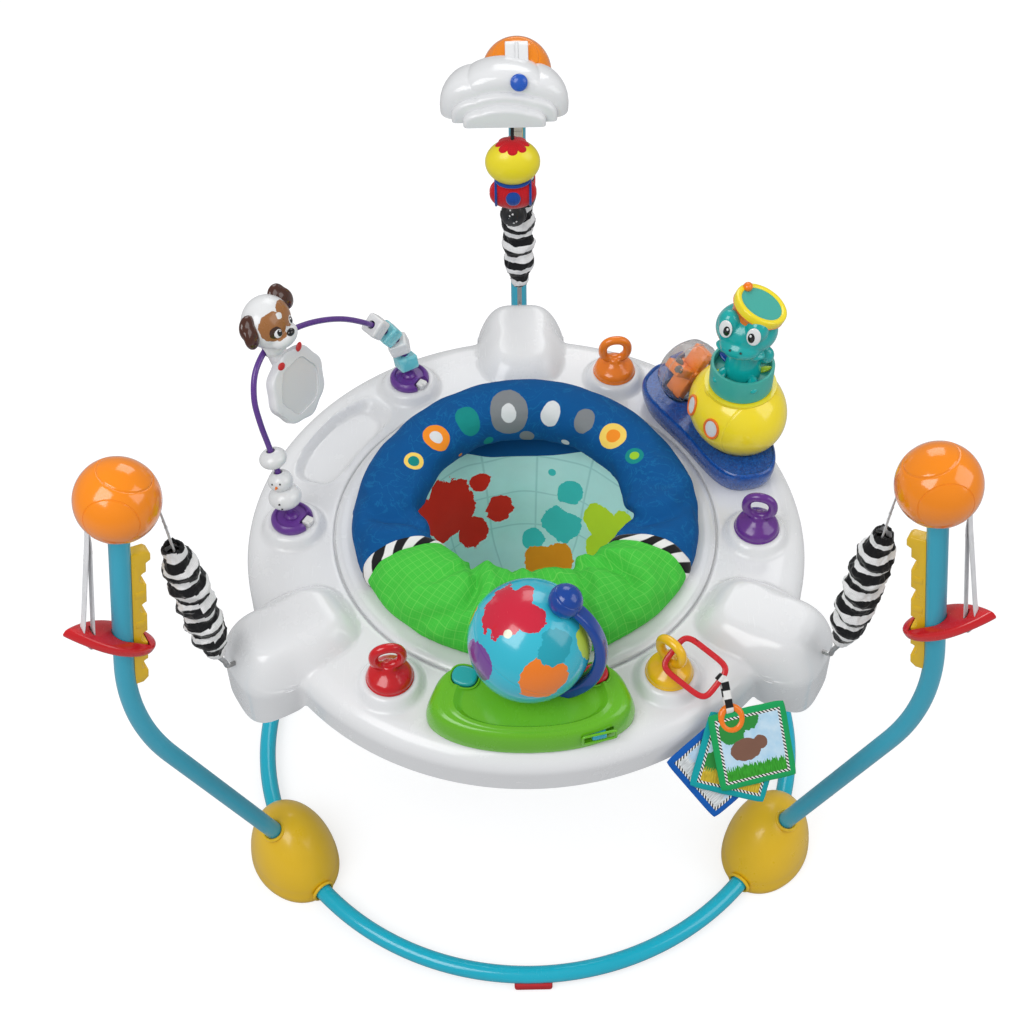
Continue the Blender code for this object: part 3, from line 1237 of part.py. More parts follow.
def main():
    clear_scene()
    model = empty("model", location=(0, SEAT_AXIS_Y, 0))
    build_floor_ring(model)
    frames = {side: build_post(model, side, azimuth) for side, azimuth in POST_AZIMUTHS.items()}
    build_cloud(frames["back"])
    tray = empty("tray_frame", model)
    build_deck(tray)
    build_ring_posts(tray)
    build_seat(tray)
    build_globe(tray)
    build_submarine(tray)
    build_arch(tray)
    build_link(tray)


main()
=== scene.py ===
import json
import math

import bmesh
import bpy
import numpy as np
from mathutils import Matrix, Vector, noise
from mathutils.bvhtree import BVHTree
from mathutils.kdtree import KDTree

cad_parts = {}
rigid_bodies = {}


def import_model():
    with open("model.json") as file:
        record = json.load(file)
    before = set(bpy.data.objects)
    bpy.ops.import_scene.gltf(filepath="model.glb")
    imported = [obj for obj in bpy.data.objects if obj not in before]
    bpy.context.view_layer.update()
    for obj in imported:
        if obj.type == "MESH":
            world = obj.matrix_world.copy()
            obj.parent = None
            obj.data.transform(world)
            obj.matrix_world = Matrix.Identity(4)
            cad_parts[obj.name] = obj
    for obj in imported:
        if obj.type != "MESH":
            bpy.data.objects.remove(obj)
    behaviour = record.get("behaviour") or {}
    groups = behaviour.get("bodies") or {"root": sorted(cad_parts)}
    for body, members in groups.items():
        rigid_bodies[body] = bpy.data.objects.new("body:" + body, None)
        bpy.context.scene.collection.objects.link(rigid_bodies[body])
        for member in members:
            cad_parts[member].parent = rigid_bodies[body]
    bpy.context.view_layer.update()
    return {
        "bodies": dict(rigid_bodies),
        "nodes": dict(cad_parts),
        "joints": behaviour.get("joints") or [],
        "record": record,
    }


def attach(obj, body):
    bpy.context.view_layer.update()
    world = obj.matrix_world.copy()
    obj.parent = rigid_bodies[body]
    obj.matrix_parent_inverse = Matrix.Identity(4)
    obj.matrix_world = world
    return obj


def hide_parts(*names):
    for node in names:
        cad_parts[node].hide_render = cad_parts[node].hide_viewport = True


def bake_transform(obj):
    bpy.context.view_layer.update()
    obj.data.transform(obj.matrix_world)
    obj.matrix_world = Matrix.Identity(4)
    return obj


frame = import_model()


# Studio: a pale floor that fades to white, soft lamps from above, and a camera that looks
# steeply down from in front of the tray.

def step_node(tree, kind, inputs=None, **settings):
    """A node with its settings. An input takes a value, a socket, or a node for its first output."""
    made = tree.nodes.new(kind)
    for name, value in settings.items():
        setattr(made, name, value)
    for name, value in (inputs or {}).items():
        if isinstance(value, bpy.types.Node):
            value = value.outputs[0]
        if isinstance(value, bpy.types.NodeSocket):
            tree.links.new(value, made.inputs[name])
        else:
            made.inputs[name].default_value = value
    return made


def node(tree, kind, inputs=None, **settings):
    """A shader node."""
    return step_node(tree, "ShaderNode" + kind, inputs, **settings)


def maths(tree, operation, *values, **settings):
    return node(tree, "Math", dict(enumerate(values)), operation=operation, **settings)


def ranged(tree, value, span=(0, 1), to=(0, 1)):
    """A value carried from one range to another, and kept inside it."""
    return node(tree, "MapRange", {"Value": value, "From Min": span[0], "From Max": span[1],
                                   "To Min": to[0], "To Max": to[1]})


def noisy(tree, place, scale, detail, roughness=0.5, distortion=0.0, **settings):
    """Soft noise over a place."""
    return node(tree, "TexNoise", {"Vector": place, "Scale": scale, "Detail": detail,
                                   "Roughness": roughness, "Distortion": distortion}, **settings)


def mixed(tree, share, first, second):
    """The first colour where the share is 0, and the second where it is 1."""
    return node(tree, "Mix", {"Factor": share, 6: first, 7: second}, data_type="RGBA").outputs[2]


def object_place(tree):
    return node(tree, "TexCoord").outputs["Object"]


def emptied(owner):
    """The empty node tree of a material or a world."""
    owner.use_nodes = True
    owner.node_tree.nodes.clear()
    return owner.node_tree


def linked(name, data):
    """A new object in the scene."""
    made = bpy.data.objects.new(name, data)
    bpy.context.scene.collection.objects.link(made)
    return made


def at(place):
    return Matrix.Translation(place)


def spun(angle, axis):
    """A turn about an axis, in degrees."""
    return Matrix.Rotation(math.radians(angle), 4, axis)


def facing_along(direction):
    """A turn that carries Z onto a direction."""
    return direction.to_track_quat("Z", "Y").to_matrix().to_4x4()


def sight_line(yaw, pitch, roll):
    """Camera axes for a heading, a downward angle and a roll, in degrees."""
    yaw, pitch, roll = (math.radians(angle) for angle in (yaw, pitch, roll))
    ahead = Vector((math.sin(yaw) * math.cos(pitch), math.cos(yaw) * math.cos(pitch), -math.sin(pitch)))
    right = Vector((math.cos(yaw), -math.sin(yaw), 0.0))
    up = right.cross(ahead)
    level = right * math.cos(roll) + up * math.sin(roll)
    upright = up * math.cos(roll) - right * math.sin(roll)
    return Matrix((level, upright, -ahead)).transposed()


AXIS_Y = -0.0862
camera = linked("camera", bpy.data.cameras.new("camera"))
camera.data.sensor_width = 36.0
camera.data.lens = 59.48
camera.data.clip_end = 20.0
camera.matrix_world = (at((-0.018, AXIS_Y - 1.326, 2.033)) @ sight_line(0.39, 49.51, -0.79).to_4x4())
bpy.context.scene.camera = camera
bpy.context.scene.view_settings.view_transform = "Standard"


def lamp(name, place, aim, size, power):
    """A square soft box pointed at a spot."""
    light = bpy.data.lights.new(name, "AREA")
    light.shape, light.size, light.energy = "SQUARE", size, power
    made = linked(name, light)
    made.location = place
    made.rotation_euler = (Vector(aim) - Vector(place)).to_track_quat("-Z", "Y").to_euler()


lamp("key_lamp", (-1.3, -1.4, 2.6), (0, 0, 0.4), 1.6, 31)
lamp("side_lamp", (2.0, -0.6, 1.9), (0, 0, 0.4), 1.6, 13)
lamp("back_lamp", (0.3, 2.0, 2.3), (0, 0, 0.5), 1.4, 13)

world = bpy.data.worlds.new("studio")
bpy.context.scene.world = world
tree = emptied(world)
path = node(tree, "LightPath")
seen = maths(tree, "MAXIMUM", path.outputs["Is Camera Ray"], path.outputs["Is Transmission Ray"])
dim = maths(tree, "MULTIPLY_ADD", path.outputs["Is Glossy Ray"], -0.42, 0.68)
ambient = node(tree, "Background", {"Color": (1, 1, 1, 1), "Strength": dim})
white = node(tree, "Background", {"Color": (1, 1, 1, 1), "Strength": 1.0})
sky = node(tree, "MixShader", {0: seen, 1: ambient, 2: white})
node(tree, "OutputWorld", {"Surface": sky})

floor_mesh = bpy.data.meshes.new("floor")
floor_mesh.from_pydata([(x, y, -0.0004) for x, y in ((-6, -6), (6, -6), (6, 6), (-6, 6))], [],
                       [(0, 1, 2, 3)])
floor_paint = bpy.data.materials.new("floor")
tree = emptied(floor_paint)
matt = node(tree, "BsdfDiffuse", {"Color": (0.42, 0.42, 0.43, 1)})
path = node(tree, "LightPath")
lift = maths(tree, "MULTIPLY", path.outputs["Is Camera Ray"], 0.67)
glow = node(tree, "Emission", {"Color": (1, 1, 1, 1), "Strength": lift})
both = node(tree, "AddShader", {0: matt, 1: glow})
node(tree, "OutputMaterial", {"Surface": both})
floor_mesh.materials.append(floor_paint)
linked("floor", floor_mesh)


# Floor ring: three bent steel tubes, gloss cyan paint, pushed into the feet.

def around(count):
    """Even steps round a circle, in radians."""
    return np.linspace(0, math.tau, count, endpoint=False)


def skin(rows, wrap=False, around_size=None):
    """A mesh through closed rows of points, with a UV map in metres round and along it."""
    rows = np.asarray(rows, float)
    count, steps = rows.shape[:2]
    mesh = bpy.data.meshes.new("skin")
    index = np.arange(count * steps).reshape(count, steps)
    if wrap:
        index = np.vstack([index, index[:1]])
    a, b = index[:-1], index[1:]
    quads = np.stack([a, np.roll(a, -1, 1), np.roll(b, -1, 1), b], -1).reshape(-1, 4).tolist()
    if not wrap:
        quads += [list(reversed(index[0].tolist())), index[-1].tolist()]
    mesh.from_pydata(rows.reshape(-1, 3).tolist(), [], quads)
    ring = around_size or np.linalg.norm(np.roll(rows, -1, 1) - rows, axis=2).sum(1).mean()
    climb = np.concatenate([[0], np.cumsum(np.linalg.norm(np.diff(rows, axis=0), axis=2).mean(1))])
    if wrap:
        climb = np.append(climb, climb[-1] + np.linalg.norm(rows[0] - rows[-1], axis=1).mean())
    layer = mesh.uv_layers.new(name="UVMap")
    across = np.arange(steps + 1) / steps * ring
    low, high = np.meshgrid(climb[:-1], across[:-1], indexing="ij")[0], climb[1:, None] + 0 * across[:-1]
    left, right = np.tile(across[:-1], (len(climb) - 1, 1)), np.tile(across[1:], (len(climb) - 1, 1))
    corners = np.stack([left, low, right, low, right, high, left, high], -1).reshape(-1)
    flat = np.zeros(len(mesh.loops) * 2)
    flat[:len(corners)] = corners
    layer.data.foreach_set("uv", flat)
    return faced_out(mesh)


def faced_out(mesh):
    """Doubles merged and every face pointing outwards."""
    bm = bmesh.new()
    bm.from_mesh(mesh)
    bmesh.ops.remove_doubles(bm, verts=bm.verts, dist=0.000005)
    bmesh.ops.recalc_face_normals(bm, faces=bm.faces)
    bm.to_mesh(mesh)
    bm.free()
    return mesh


def bar_rows(route, radius, steps=20):
    """Rings along a route, carried without twist. radius may differ at each point."""
    route = np.asarray(route, float)
    radius = np.broadcast_to(radius, len(route))
    ahead = np.gradient(route, axis=0)
    ahead /= np.linalg.norm(ahead, axis=1)[:, None]
    side = np.cross(ahead[0], (0, 0, 1))
    if np.linalg.norm(side) < 0.01:
        side = np.cross(ahead[0], (1, 0, 0))
    rows = []
    turns = around(steps)
    for point, along, size in zip(route, ahead, radius):
        side = side - along * side.dot(along)
        side /= np.linalg.norm(side)
        other = np.cross(along, side)
        rows.append(point + size * (np.cos(turns)[:, None] * side + np.sin(turns)[:, None] * other))
    return np.array(rows)


def loop_rows(route, radius, steps=16):
    """Rings along a closed flat route, square to it."""
    route = np.asarray(route, float)
    middle = route.mean(0)
    flat = np.linalg.svd(route - middle)[2][2]
    ahead = np.roll(route, -1, 0) - np.roll(route, 1, 0)
    ahead /= np.linalg.norm(ahead, axis=1)[:, None]
    turns = around(steps)
    out = np.cross(ahead, flat)
    return (route[:, None] + radius * (np.cos(turns)[None, :, None] * out[:, None]
                                       + np.sin(turns)[None, :, None] * flat[None, None]))


def tube_along(*shape):
    """A capped rod: its route, its radius and its count of sides."""
    return skin(bar_rows(*shape))


def loop_along(*shape):
    """A closed round band: its route, its radius and its count of sides."""
    return skin(loop_rows(*shape), wrap=True)


def node_group(name, sockets, results, family="ShaderNodeTree"):
    """An empty group of nodes with its inputs and outputs."""
    tree = bpy.data.node_groups.new(name, family)
    for label, kind, value in sockets:
        socket = tree.interface.new_socket(name=label, in_out="INPUT", socket_type="NodeSocket" + kind)
        if value is not None:
            socket.default_value = value
    for label, kind in results:
        tree.interface.new_socket(name=label, in_out="OUTPUT", socket_type="NodeSocket" + kind)
    return tree, tree.nodes.new("NodeGroupInput").outputs, tree.nodes.new("NodeGroupOutput").inputs


# What every moulded or painted skin shares: a slow drift of shade, a faint orange peel,
# patches rubbed a little duller, and fine hairline scuffs.
tree, given, result = node_group(
    "moulded skin",
    [("Colour", "Color", (0.8, 0.8, 0.8, 1)), ("Drift", "Float", 0.06), ("Roughness", "Float", 0.3),
     ("Peel Size", "Float", 420.0), ("Peel Depth", "Float", 0.08)],
    [("Colour", "Color"), ("Roughness", "Float"), ("Normal", "Vector")])
place = object_place(tree)
slow = noisy(tree, place, 7.0, 3.0)
shade = ranged(tree, slow, (0.3, 0.7), to=(-1.0, 1.0))
step = maths(tree, "MULTIPLY", shade, given["Drift"])
bright = maths(tree, "ADD", step, 1.0)
toned = node(tree, "HueSaturation", {"Color": given["Colour"], "Value": bright})
tree.links.new(toned.outputs[0], result["Colour"])
stretch = node(tree, "Mapping", {"Vector": place, "Rotation": (0.4, 0.7, 0.3), "Scale": (900, 30, 900)})
scuff = noisy(tree, stretch, 1.0, 2.0)
hair = ranged(tree, scuff, (0.62, 0.80), to=(0.0, 0.10))
rubbed = noisy(tree, place, 23.0, 4.0, roughness=0.7)
dull = ranged(tree, rubbed, (0.35, 0.75), to=(-0.03, 0.07))
total = maths(tree, "ADD", hair, dull)
total = maths(tree, "ADD", total, given["Roughness"], use_clamp=True)
tree.links.new(total.outputs[0], result["Roughness"])
peel = noisy(tree, place, given["Peel Size"], 2.0)
bump = node(tree, "Bump", {"Height": peel, "Strength": given["Peel Depth"], "Distance": 0.0004})
tree.links.new(bump.outputs[0], result["Normal"])


def surfaced(name, group, colour, values, gloss):
    """A finish from a group that all its kind share. colour is three numbers, or a function that
    builds the colour in the finish's own tree."""
    made = bpy.data.materials.new(name)
    tree = emptied(made)
    base = colour(tree) if callable(colour) else (*colour, 1)
    shared = node(tree, "Group", {"Colour": base, **values}, node_tree=bpy.data.node_groups[group])
    look = {"Base Color": shared.outputs["Colour"], "Roughness": shared.outputs["Roughness"],
            "Normal": shared.outputs["Normal"], **gloss}
    node(tree, "OutputMaterial", {"Surface": node(tree, "BsdfPrincipled", look)})
    return made


def moulded(name, colour, roughness=0.28, coat=0.35, drift=0.05, peel=(420.0, 0.08)):
    """A plastic or painted finish."""
    return surfaced(name, "moulded skin", colour,
                    {"Drift": drift, "Roughness": roughness, "Peel Size": peel[0], "Peel Depth": peel[1]},
                    {"Coat Weight": coat, "Coat Roughness": 0.08})


def applied(carrier):
    """The mesh of an object after its modifiers. The object goes."""
    bpy.context.view_layer.update()
    evaluated = carrier.evaluated_get(bpy.context.evaluated_depsgraph_get())
    made = bpy.data.meshes.new_from_object(evaluated)
    bpy.data.objects.remove(carrier)
    return made


def worked(mesh, *modifiers):
    """The mesh after modifiers, each a type with its settings."""
    carrier = linked("work", mesh)
    for kind, settings in modifiers:
        modifier = carrier.modifiers.new(kind.lower(), kind)
        for name, value in settings.items():
            setattr(modifier, name, value)
    return applied(carrier)


def softened(mesh, width, segments=3, angle=35.0):
    """Edges sharper than angle rounded over."""
    return worked(mesh, ("BEVEL", {"width": width, "segments": segments, "limit_method": "ANGLE",
                                   "angle_limit": math.radians(angle)}))


def carved(mesh, *tools, operation="DIFFERENCE"):
    """The mesh with each tool mesh cut out of it, or joined on."""
    for tool in tools:
        cutter = linked("tool", tool)
        mesh = worked(mesh, ("BOOLEAN", {"object": cutter, "operation": operation, "solver": "EXACT"}))
        bpy.data.objects.remove(cutter)
    return mesh


def gathered(*parts):
    """One mesh of several, each with its own finish."""
    bm = bmesh.new()
    whole = bpy.data.meshes.new("whole")
    for mesh, finish in parts:
        if finish.name not in [slot.name for slot in whole.materials]:
            whole.materials.append(finish)
        known = len(bm.faces)
        bm.from_mesh(mesh)
        bm.faces.ensure_lookup_table()
        wanted = [slot.name for slot in whole.materials].index(finish.name)
        for face in bm.faces[known:]:
            face.material_index = wanted
    bm.to_mesh(whole)
    bm.free()
    return whole


def placed(mesh, matrix):
    """The mesh carried to its place."""
    mesh.transform(matrix)
    if matrix.determinant() < 0:
        mesh.flip_normals()
    return mesh


def show(name, mesh, body, finish=None, instead=(), smooth=38.0):
    """Puts a finished piece in the scene, on the body that carries it."""
    if finish:
        mesh.materials.clear()
        mesh.materials.append(finish)
    mesh.polygons.foreach_set("use_smooth", [True] * len(mesh.polygons))
    mesh.set_sharp_from_angle(angle=math.radians(smooth))
    made = linked(name, mesh)
    if body:
        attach(made, body)
    if instead:
        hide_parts(*instead)
    return made


def polar(reach, azimuth, height=0.0):
    turn = math.radians(azimuth)
    return Vector((reach * math.cos(turn), reach * math.sin(turn), height))


def turned_to(azimuth, place=(0, 0, 0)):
    """A place on the object, turned about the upright line through the seat's middle."""
    return (at((0, AXIS_Y, 0)) @ spun(azimuth, "Z") @ at(place))


RING_REACH, RING_HEIGHT, TUBE = 0.362, 0.016, 0.011
RING_STARTS = {"front": 210.0, "right": -30.0, "left": 90.0}
cyan_paint = moulded("gloss cyan paint", (0.004, 0.440, 0.600), 0.20, 0.6, 0.04, (160.0, 0.05))


def ring_route(azimuth, inset=4.43, count=72):
    sweep = 120 - 2 * inset
    return [polar(RING_REACH, azimuth + inset + sweep * step / count, RING_HEIGHT)
            for step in range(count + 1)]


for side, azimuth in RING_STARTS.items():
    tube = placed(tube_along(ring_route(azimuth), TUBE, 28), turned_to(0))
    show(f"ring_tube_{side}", tube, "frame", cyan_paint, [f"base_tube_{side}"])


# Rubber saddles: red moulded pads under the middle of each ring tube, with a rounded foot.

red_rubber = moulded("red rubber", (0.50, 0.012, 0.018), 0.62, 0.0, 0.06, (900.0, 0.2))
SADDLE = (0.028, 0.048, 0.013)


def brick(size, centre=(0, 0, 0)):
    bm = bmesh.new()
    bmesh.ops.create_cube(bm, size=1.0)
    bmesh.ops.scale(bm, vec=size, verts=bm.verts)
    bmesh.ops.translate(bm, vec=centre, verts=bm.verts)
    mesh = bpy.data.meshes.new("brick")
    bm.to_mesh(mesh)
    bm.free()
    return mesh


for side, azimuth in RING_STARTS.items():
    saddle = softened(brick(SADDLE, (0, 0, SADDLE[2] / 2 + 0.0001)), 0.0035, 4)
    groove = brick((SADDLE[0] + 0.01, 0.0024, 0.0016), (0, 0, 0.0))
    saddle = carved(saddle, groove)
    saddle = placed(saddle, turned_to(azimuth + 60, (RING_REACH, 0, 0)))
    cutter = placed(tube_along(ring_route(azimuth), TUBE + 0.0003, 28), turned_to(0))
    show(f"saddle_{side}", carved(saddle, cutter), "frame", red_rubber, [f"bumper_{side}"])


# Feet: hollow moulded eggs, with a seam low down and a collared mouth for each tube. Golden
# yellow plastic with a satin skin.

FOOT = (0.055, 0.072, 0.100)
POSTS = {"right": -30.0, "left": 210.0, "back": 90.0}
golden = moulded("golden yellow plastic", (0.80, 0.50, 0.012), 0.30, 0.25, 0.04, (300.0, 0.06))


def post_route(count=14):
    """The post's centre line in its own upright plane: up from the foot, a long bend, a straight."""
    foot, knee = Vector((0.3665, 0.049)), Vector((0.5167, 0.4495))
    top = Vector((0.46370, 0.765))
    down, up = (foot - knee).normalized(), (top - knee).normalized()
    turn = math.pi - down.angle(up)
    tangent = 0.38 * math.tan(turn / 2)
    centre = knee + (down + up).normalized() * 0.38 / math.cos(turn / 2)
    start, end = knee + down * tangent - centre, knee + up * tangent - centre
    straight = [foot + (knee + down * tangent - foot) * step / 4 for step in range(4)]
    bend = [centre + (start * math.sin((1 - t) * turn) + end * math.sin(t * turn)) / math.sin(turn)
            for t in (step / count for step in range(count + 1))]
    upper = [knee + up * tangent + (top - knee - up * tangent) * step / 3 for step in range(1, 4)]
    return [Vector((point.x, 0, point.y)) for point in straight + bend + upper]


def longer(route, extra):
    """The route with both ends drawn out."""
    route = [Vector(point) for point in route]
    route[0] += (route[0] - route[1]).normalized() * extra
    route[-1] += (route[-1] - route[-2]).normalized() * extra
    return route


def egg_rows(steps=72, rise=30):
    rows = []
    for step in range(rise + 1):
        share = step / rise
        level = math.sin(share * math.pi / 2) * 0.9985
        reach = math.sqrt(max(1 - level**2, 0.00001))
        seam = 0.0009 * math.exp(-((level * FOOT[2] - 0.021) / 0.0011) ** 2)
        foot_in = 0.0020 * max(0.0, 1 - level * FOOT[2] / 0.004)
        turns = around(steps)
        rows.append(np.stack([(FOOT[0] * reach - seam - foot_in) * np.cos(turns),
                              (FOOT[1] * reach - seam - foot_in) * np.sin(turns),
                              np.full(steps, level * FOOT[2])], -1))
    return rows


def mouth(route, middle):
    """A rounded collar round a tube where it leaves the foot."""
    for first, then in zip(route, route[1:]):
        spot = [first.lerp(then, step / 40) for step in range(41)]
        gone = [sum(((point - middle)[axis] / FOOT[axis]) ** 2 for axis in range(3)) > 1 for point in spot]
        if any(gone) and not all(gone):
            place, along = spot[gone.index(True)], (then - first).normalized()
            turn = along.to_track_quat("Z", "Y").to_matrix()
            ring = [place + turn @ polar(TUBE + 0.0030, 360 * step / 48) for step in range(48)]
            return loop_along(ring, 0.0022, 10)


for side, azimuth in POSTS.items():
    here = spun(azimuth, "Z")
    out = Vector((RING_REACH, 0, 0))
    shell = placed(skin(egg_rows()), at(out))
    post = longer(post_route(), 0.0004)
    ring_ends = [[spun(start, "Z") @ point for point in longer(ring_route(0), 0.0004)]
                 for start in (0, -120)]
    tools = [tube_along(route, TUBE + 0.0006, 28) for route in (post, *ring_ends)]
    shell = carved(shell, *tools)
    lips = [mouth(post, out), mouth(ring_ends[0], out), mouth(ring_ends[1][::-1], out)]
    foot = gathered(*((mesh, golden) for mesh in (shell, *(lip for lip in lips if lip))))
    show(f"foot_shell_{side}", placed(foot, at((0, AXIS_Y, 0)) @ here), "frame", instead=[f"foot_{side}"],
         smooth=30.0)


# Posts: bent steel tubes in satin blue paint. Each is pushed into its foot and capped by its ball.

satin_blue = moulded("satin blue paint", (0.030, 0.39, 0.55), 0.33, 0.3, 0.04, (260.0, 0.06))
for side, azimuth in POSTS.items():
    post = placed(tube_along(post_route(20), TUBE, 28), turned_to(azimuth))
    show(f"post_tube_{side}", post, "frame", satin_blue, [f"post_{side}"])


# Balls: two glossy orange shells snapped together round the top of the post. A round cover plate
# shows as a thin seam above and below, and the strap runs over inside through a slot.

BALL_REACH, BALL_HEIGHT, BALL = 0.460, 0.787, 0.043
LEG_SLOPE = (0.5167 - BALL_REACH) / (BALL_HEIGHT - 0.4495)
LEVER_HEIGHT = BALL_HEIGHT - 0.202
LEVER_SLOT, HANDLE_SLOPE = 0.028, math.tan(math.radians(42.5))
SPRING_TOP, SPRING_FOOT = Vector((0.419, 0, 0.690)), Vector((0.400, 0, 0.487))
glossy_orange = moulded("glossy orange plastic", (0.90, 0.25, 0.003), 0.16, 0.7, 0.03, (130.0, 0.04))


def curve_through(points, spans=3):
    """Points along a smooth curve through the given ones."""
    points = [Vector(point) for point in points]
    ends = [2 * points[0] - points[1], *points, 2 * points[-1] - points[-2]]
    path = []
    for before, near, far, after in zip(ends, ends[1:], ends[2:], ends[3:]):
        for step in range(spans):
            t = step / spans
            path.append(0.5 * (2 * near + (far - before) * t
                               + (2 * before - 5 * near + 4 * far - after) * t**2
                               + (3 * near - before - 3 * far + after) * t**3))
    return [*path, points[-1]]


def in_plane(points, spans=6):
    """A smooth line through (x, z) points in the post's plane."""
    curve = curve_through([(x, z, 0) for x, z in points], spans)
    return [Vector((point.x, 0, point.y)) for point in curve]


def leg_reach(height):
    return BALL_REACH + LEG_SLOPE * (BALL_HEIGHT - height)


def strap_line(spans=6):
    """The strap's line in the post's plane: from the lever, over inside the ball, to the spring."""
    slot_reach, slot_height = leg_reach(LEVER_HEIGHT) + LEVER_SLOT, LEVER_HEIGHT + LEVER_SLOT * HANDLE_SLOPE
    top, foot = SPRING_TOP.xz, SPRING_FOOT.xz
    end = top + (foot - top).normalized() * 0.0257
    points = [(slot_reach, slot_height - 0.014), (slot_reach - 0.004, slot_height + 0.05)]
    points += [(BALL_REACH + reach, BALL_HEIGHT + rise) for reach, rise in
               ((0.0375, -0.042), (0.031, -0.008), (0, 0.012), (-0.031, -0.008), (-0.0375, -0.042))]
    points += [tuple(top), tuple(end)]
    return in_plane(points, spans)


def band_rows(line, width, thickness, across=(0, 1, 0), corner=0.35):
    """A flat band with rounded edges along a line, as wide as width along across."""
    line = np.asarray([tuple(point) for point in line])
    across = np.asarray(across, float)
    ahead = np.gradient(line, axis=0)
    out = np.cross(ahead, across)
    out /= np.linalg.norm(out, axis=1)[:, None]
    turns = around(16)
    c, s = np.cos(turns), np.sin(turns)
    wide = np.sign(c) * np.abs(c) ** corner * width / 2
    thick = np.sign(s) * np.abs(s) ** 0.8 * thickness / 2
    return line[:, None] + wide[None, :, None] * across + thick[None, :, None] * out[:, None]


def seamed_ball(radius, seams, steps=72, depth=0.0008, width=1.2):
    """A ball about Z with round seams at the given angles from its top."""
    angles = {0.6, 179.4} | set(range(4, 177, 4))
    for seam in seams:
        angles |= {seam + width * offset for offset in (-2.4, -1.4, -0.8, -0.4, 0, 0.4, 0.8, 1.4, 2.4)}
    rows = []
    for angle in sorted(angles, reverse=True):
        size = radius - sum(depth * math.exp(-((angle - seam) / width) ** 2) for seam in seams)
        turn = math.radians(angle)
        rows.append([polar(size * math.sin(turn), 360 * step / steps, size * math.cos(turn))
                     for step in range(steps)])
    return skin(rows)


for side, azimuth in POSTS.items():
    cover = at((BALL_REACH, 0, BALL_HEIGHT)) @ spun(-24, "Y")
    shell = placed(seamed_ball(BALL, (40, 139)), cover)
    hole = tube_along(longer(post_route(), 0.0004), TUBE + 0.0006, 28)
    slot = skin(band_rows(strap_line(), 0.0140, 0.0036))
    grooves = []
    for turn in (-60, 60):
        cheek = spun(turn, "Z") @ spun(80, "Y")
        circle = [(BALL + 0.0003) * Vector((math.sin(0.68) * math.cos(t), math.sin(0.68) * math.sin(t),
                                            math.cos(0.68))) for t in around(96)]
        groove = loop_along(circle, 0.0009, 8)
        grooves.append(placed(groove, at((BALL_REACH, 0, BALL_HEIGHT)) @ cheek))
    shell = placed(carved(shell, hole, slot, *grooves), turned_to(azimuth))
    show(f"ball_cap_{side}", shell, "frame", glossy_orange, [f"ball_{side}"], 30.0)


# Racks: toothed bars moulded in the same golden plastic, riveted up the inner side of the leg.
# Each notch holds the lever's crossbar, and a hooked head stops it at the top.

RACK_CREST = TUBE + 0.014


def upright_plate(outline, half):
    """A flat outline of (x, z) points given a thickness along Y."""
    return skin([[(x, level, z) for x, z in outline] for level in (-half, half)])


def lever_frame(azimuth):
    """Where a lever sits: on the leg, with Z up along the tube."""
    return (turned_to(azimuth) @ at((leg_reach(LEVER_HEIGHT), 0, LEVER_HEIGHT))
            @ Matrix.Rotation(-math.atan(LEG_SLOPE), 4, "Y"))


def rack_outline():
    outline = [(-TUBE * 0.8, -0.072), (-RACK_CREST + 0.006, -0.072), (-RACK_CREST, -0.066)]
    for notch in (-1, 0, 1, 2):
        for step in range(13):
            turn = math.pi * step / 12
            outline.append((-RACK_CREST + 0.0072 * math.sin(turn), notch * 0.045 - 0.009 * math.cos(turn)))
    hook = -RACK_CREST - 0.005
    return [*outline, (-RACK_CREST, 0.112), (hook, 0.115), (hook, 0.124), (hook + 0.004, 0.128),
            (-TUBE * 0.8, 0.128)]


for side, azimuth in POSTS.items():
    hole = placed(tube_along(post_route(), TUBE + 0.0003, 28),
                  lever_frame(azimuth).inverted() @ turned_to(azimuth))
    bar = carved(softened(upright_plate(rack_outline(), 0.007), 0.0011, 3), hole)
    pads = [softened(brick((0.010, 0.0150, 0.010), (-TUBE - 0.0060, 0, middle)), 0.0006, 2)
            for middle in (-0.0225, 0.0225, 0.0675)]
    rack = gathered(*((mesh, golden) for mesh in (bar, *pads)))
    show(f"rack_bar_{side}", placed(rack, lever_frame(azimuth)), "frame", instead=[f"rack_{side}"],
         smooth=30.0)


# Levers: red leaf-shaped handles that slide up and down the leg. A window clears the tube and the
# rack, its inner bar drops into a notch, and the strap is threaded through a slot near the tip.

glossy_red = moulded("glossy red plastic", (0.62, 0.008, 0.014), 0.22, 0.55, 0.04, (200.0, 0.05))


def pillow(outline, levels):
    """A body of one (x, y) outline, drawn in by each level's second number at its height."""
    points = np.asarray(outline, float)
    middle = (points.max(0) + points.min(0)) / 2
    half = (points.max(0) - points.min(0)) / 2
    return skin([[(*spot, height) for spot in middle + (points - middle) * (1 - inset / half)]
                 for height, inset in levels])


def leaf_outline(count=44):
    """The handle seen from above: a round inner end that draws out to a blunt tip."""
    lean = math.cos(math.radians(33))
    start, end = -(TUBE + 0.0148 + 0.008) / lean, 0.062 / lean
    side = []
    for step in range(count):
        share = 0.5 - 0.5 * math.cos(math.pi * (step + 0.5) / count)
        if share < 0.42:
            half = math.sqrt(1 - (share / 0.42 - 1) ** 2)
        else:
            half = math.cos(math.pi / 2 * (share - 0.42) / 0.58) ** 0.9
        side.append((start + share * (end - start), half * 0.024))
    return [(x, -y) for x, y in side] + side[::-1]


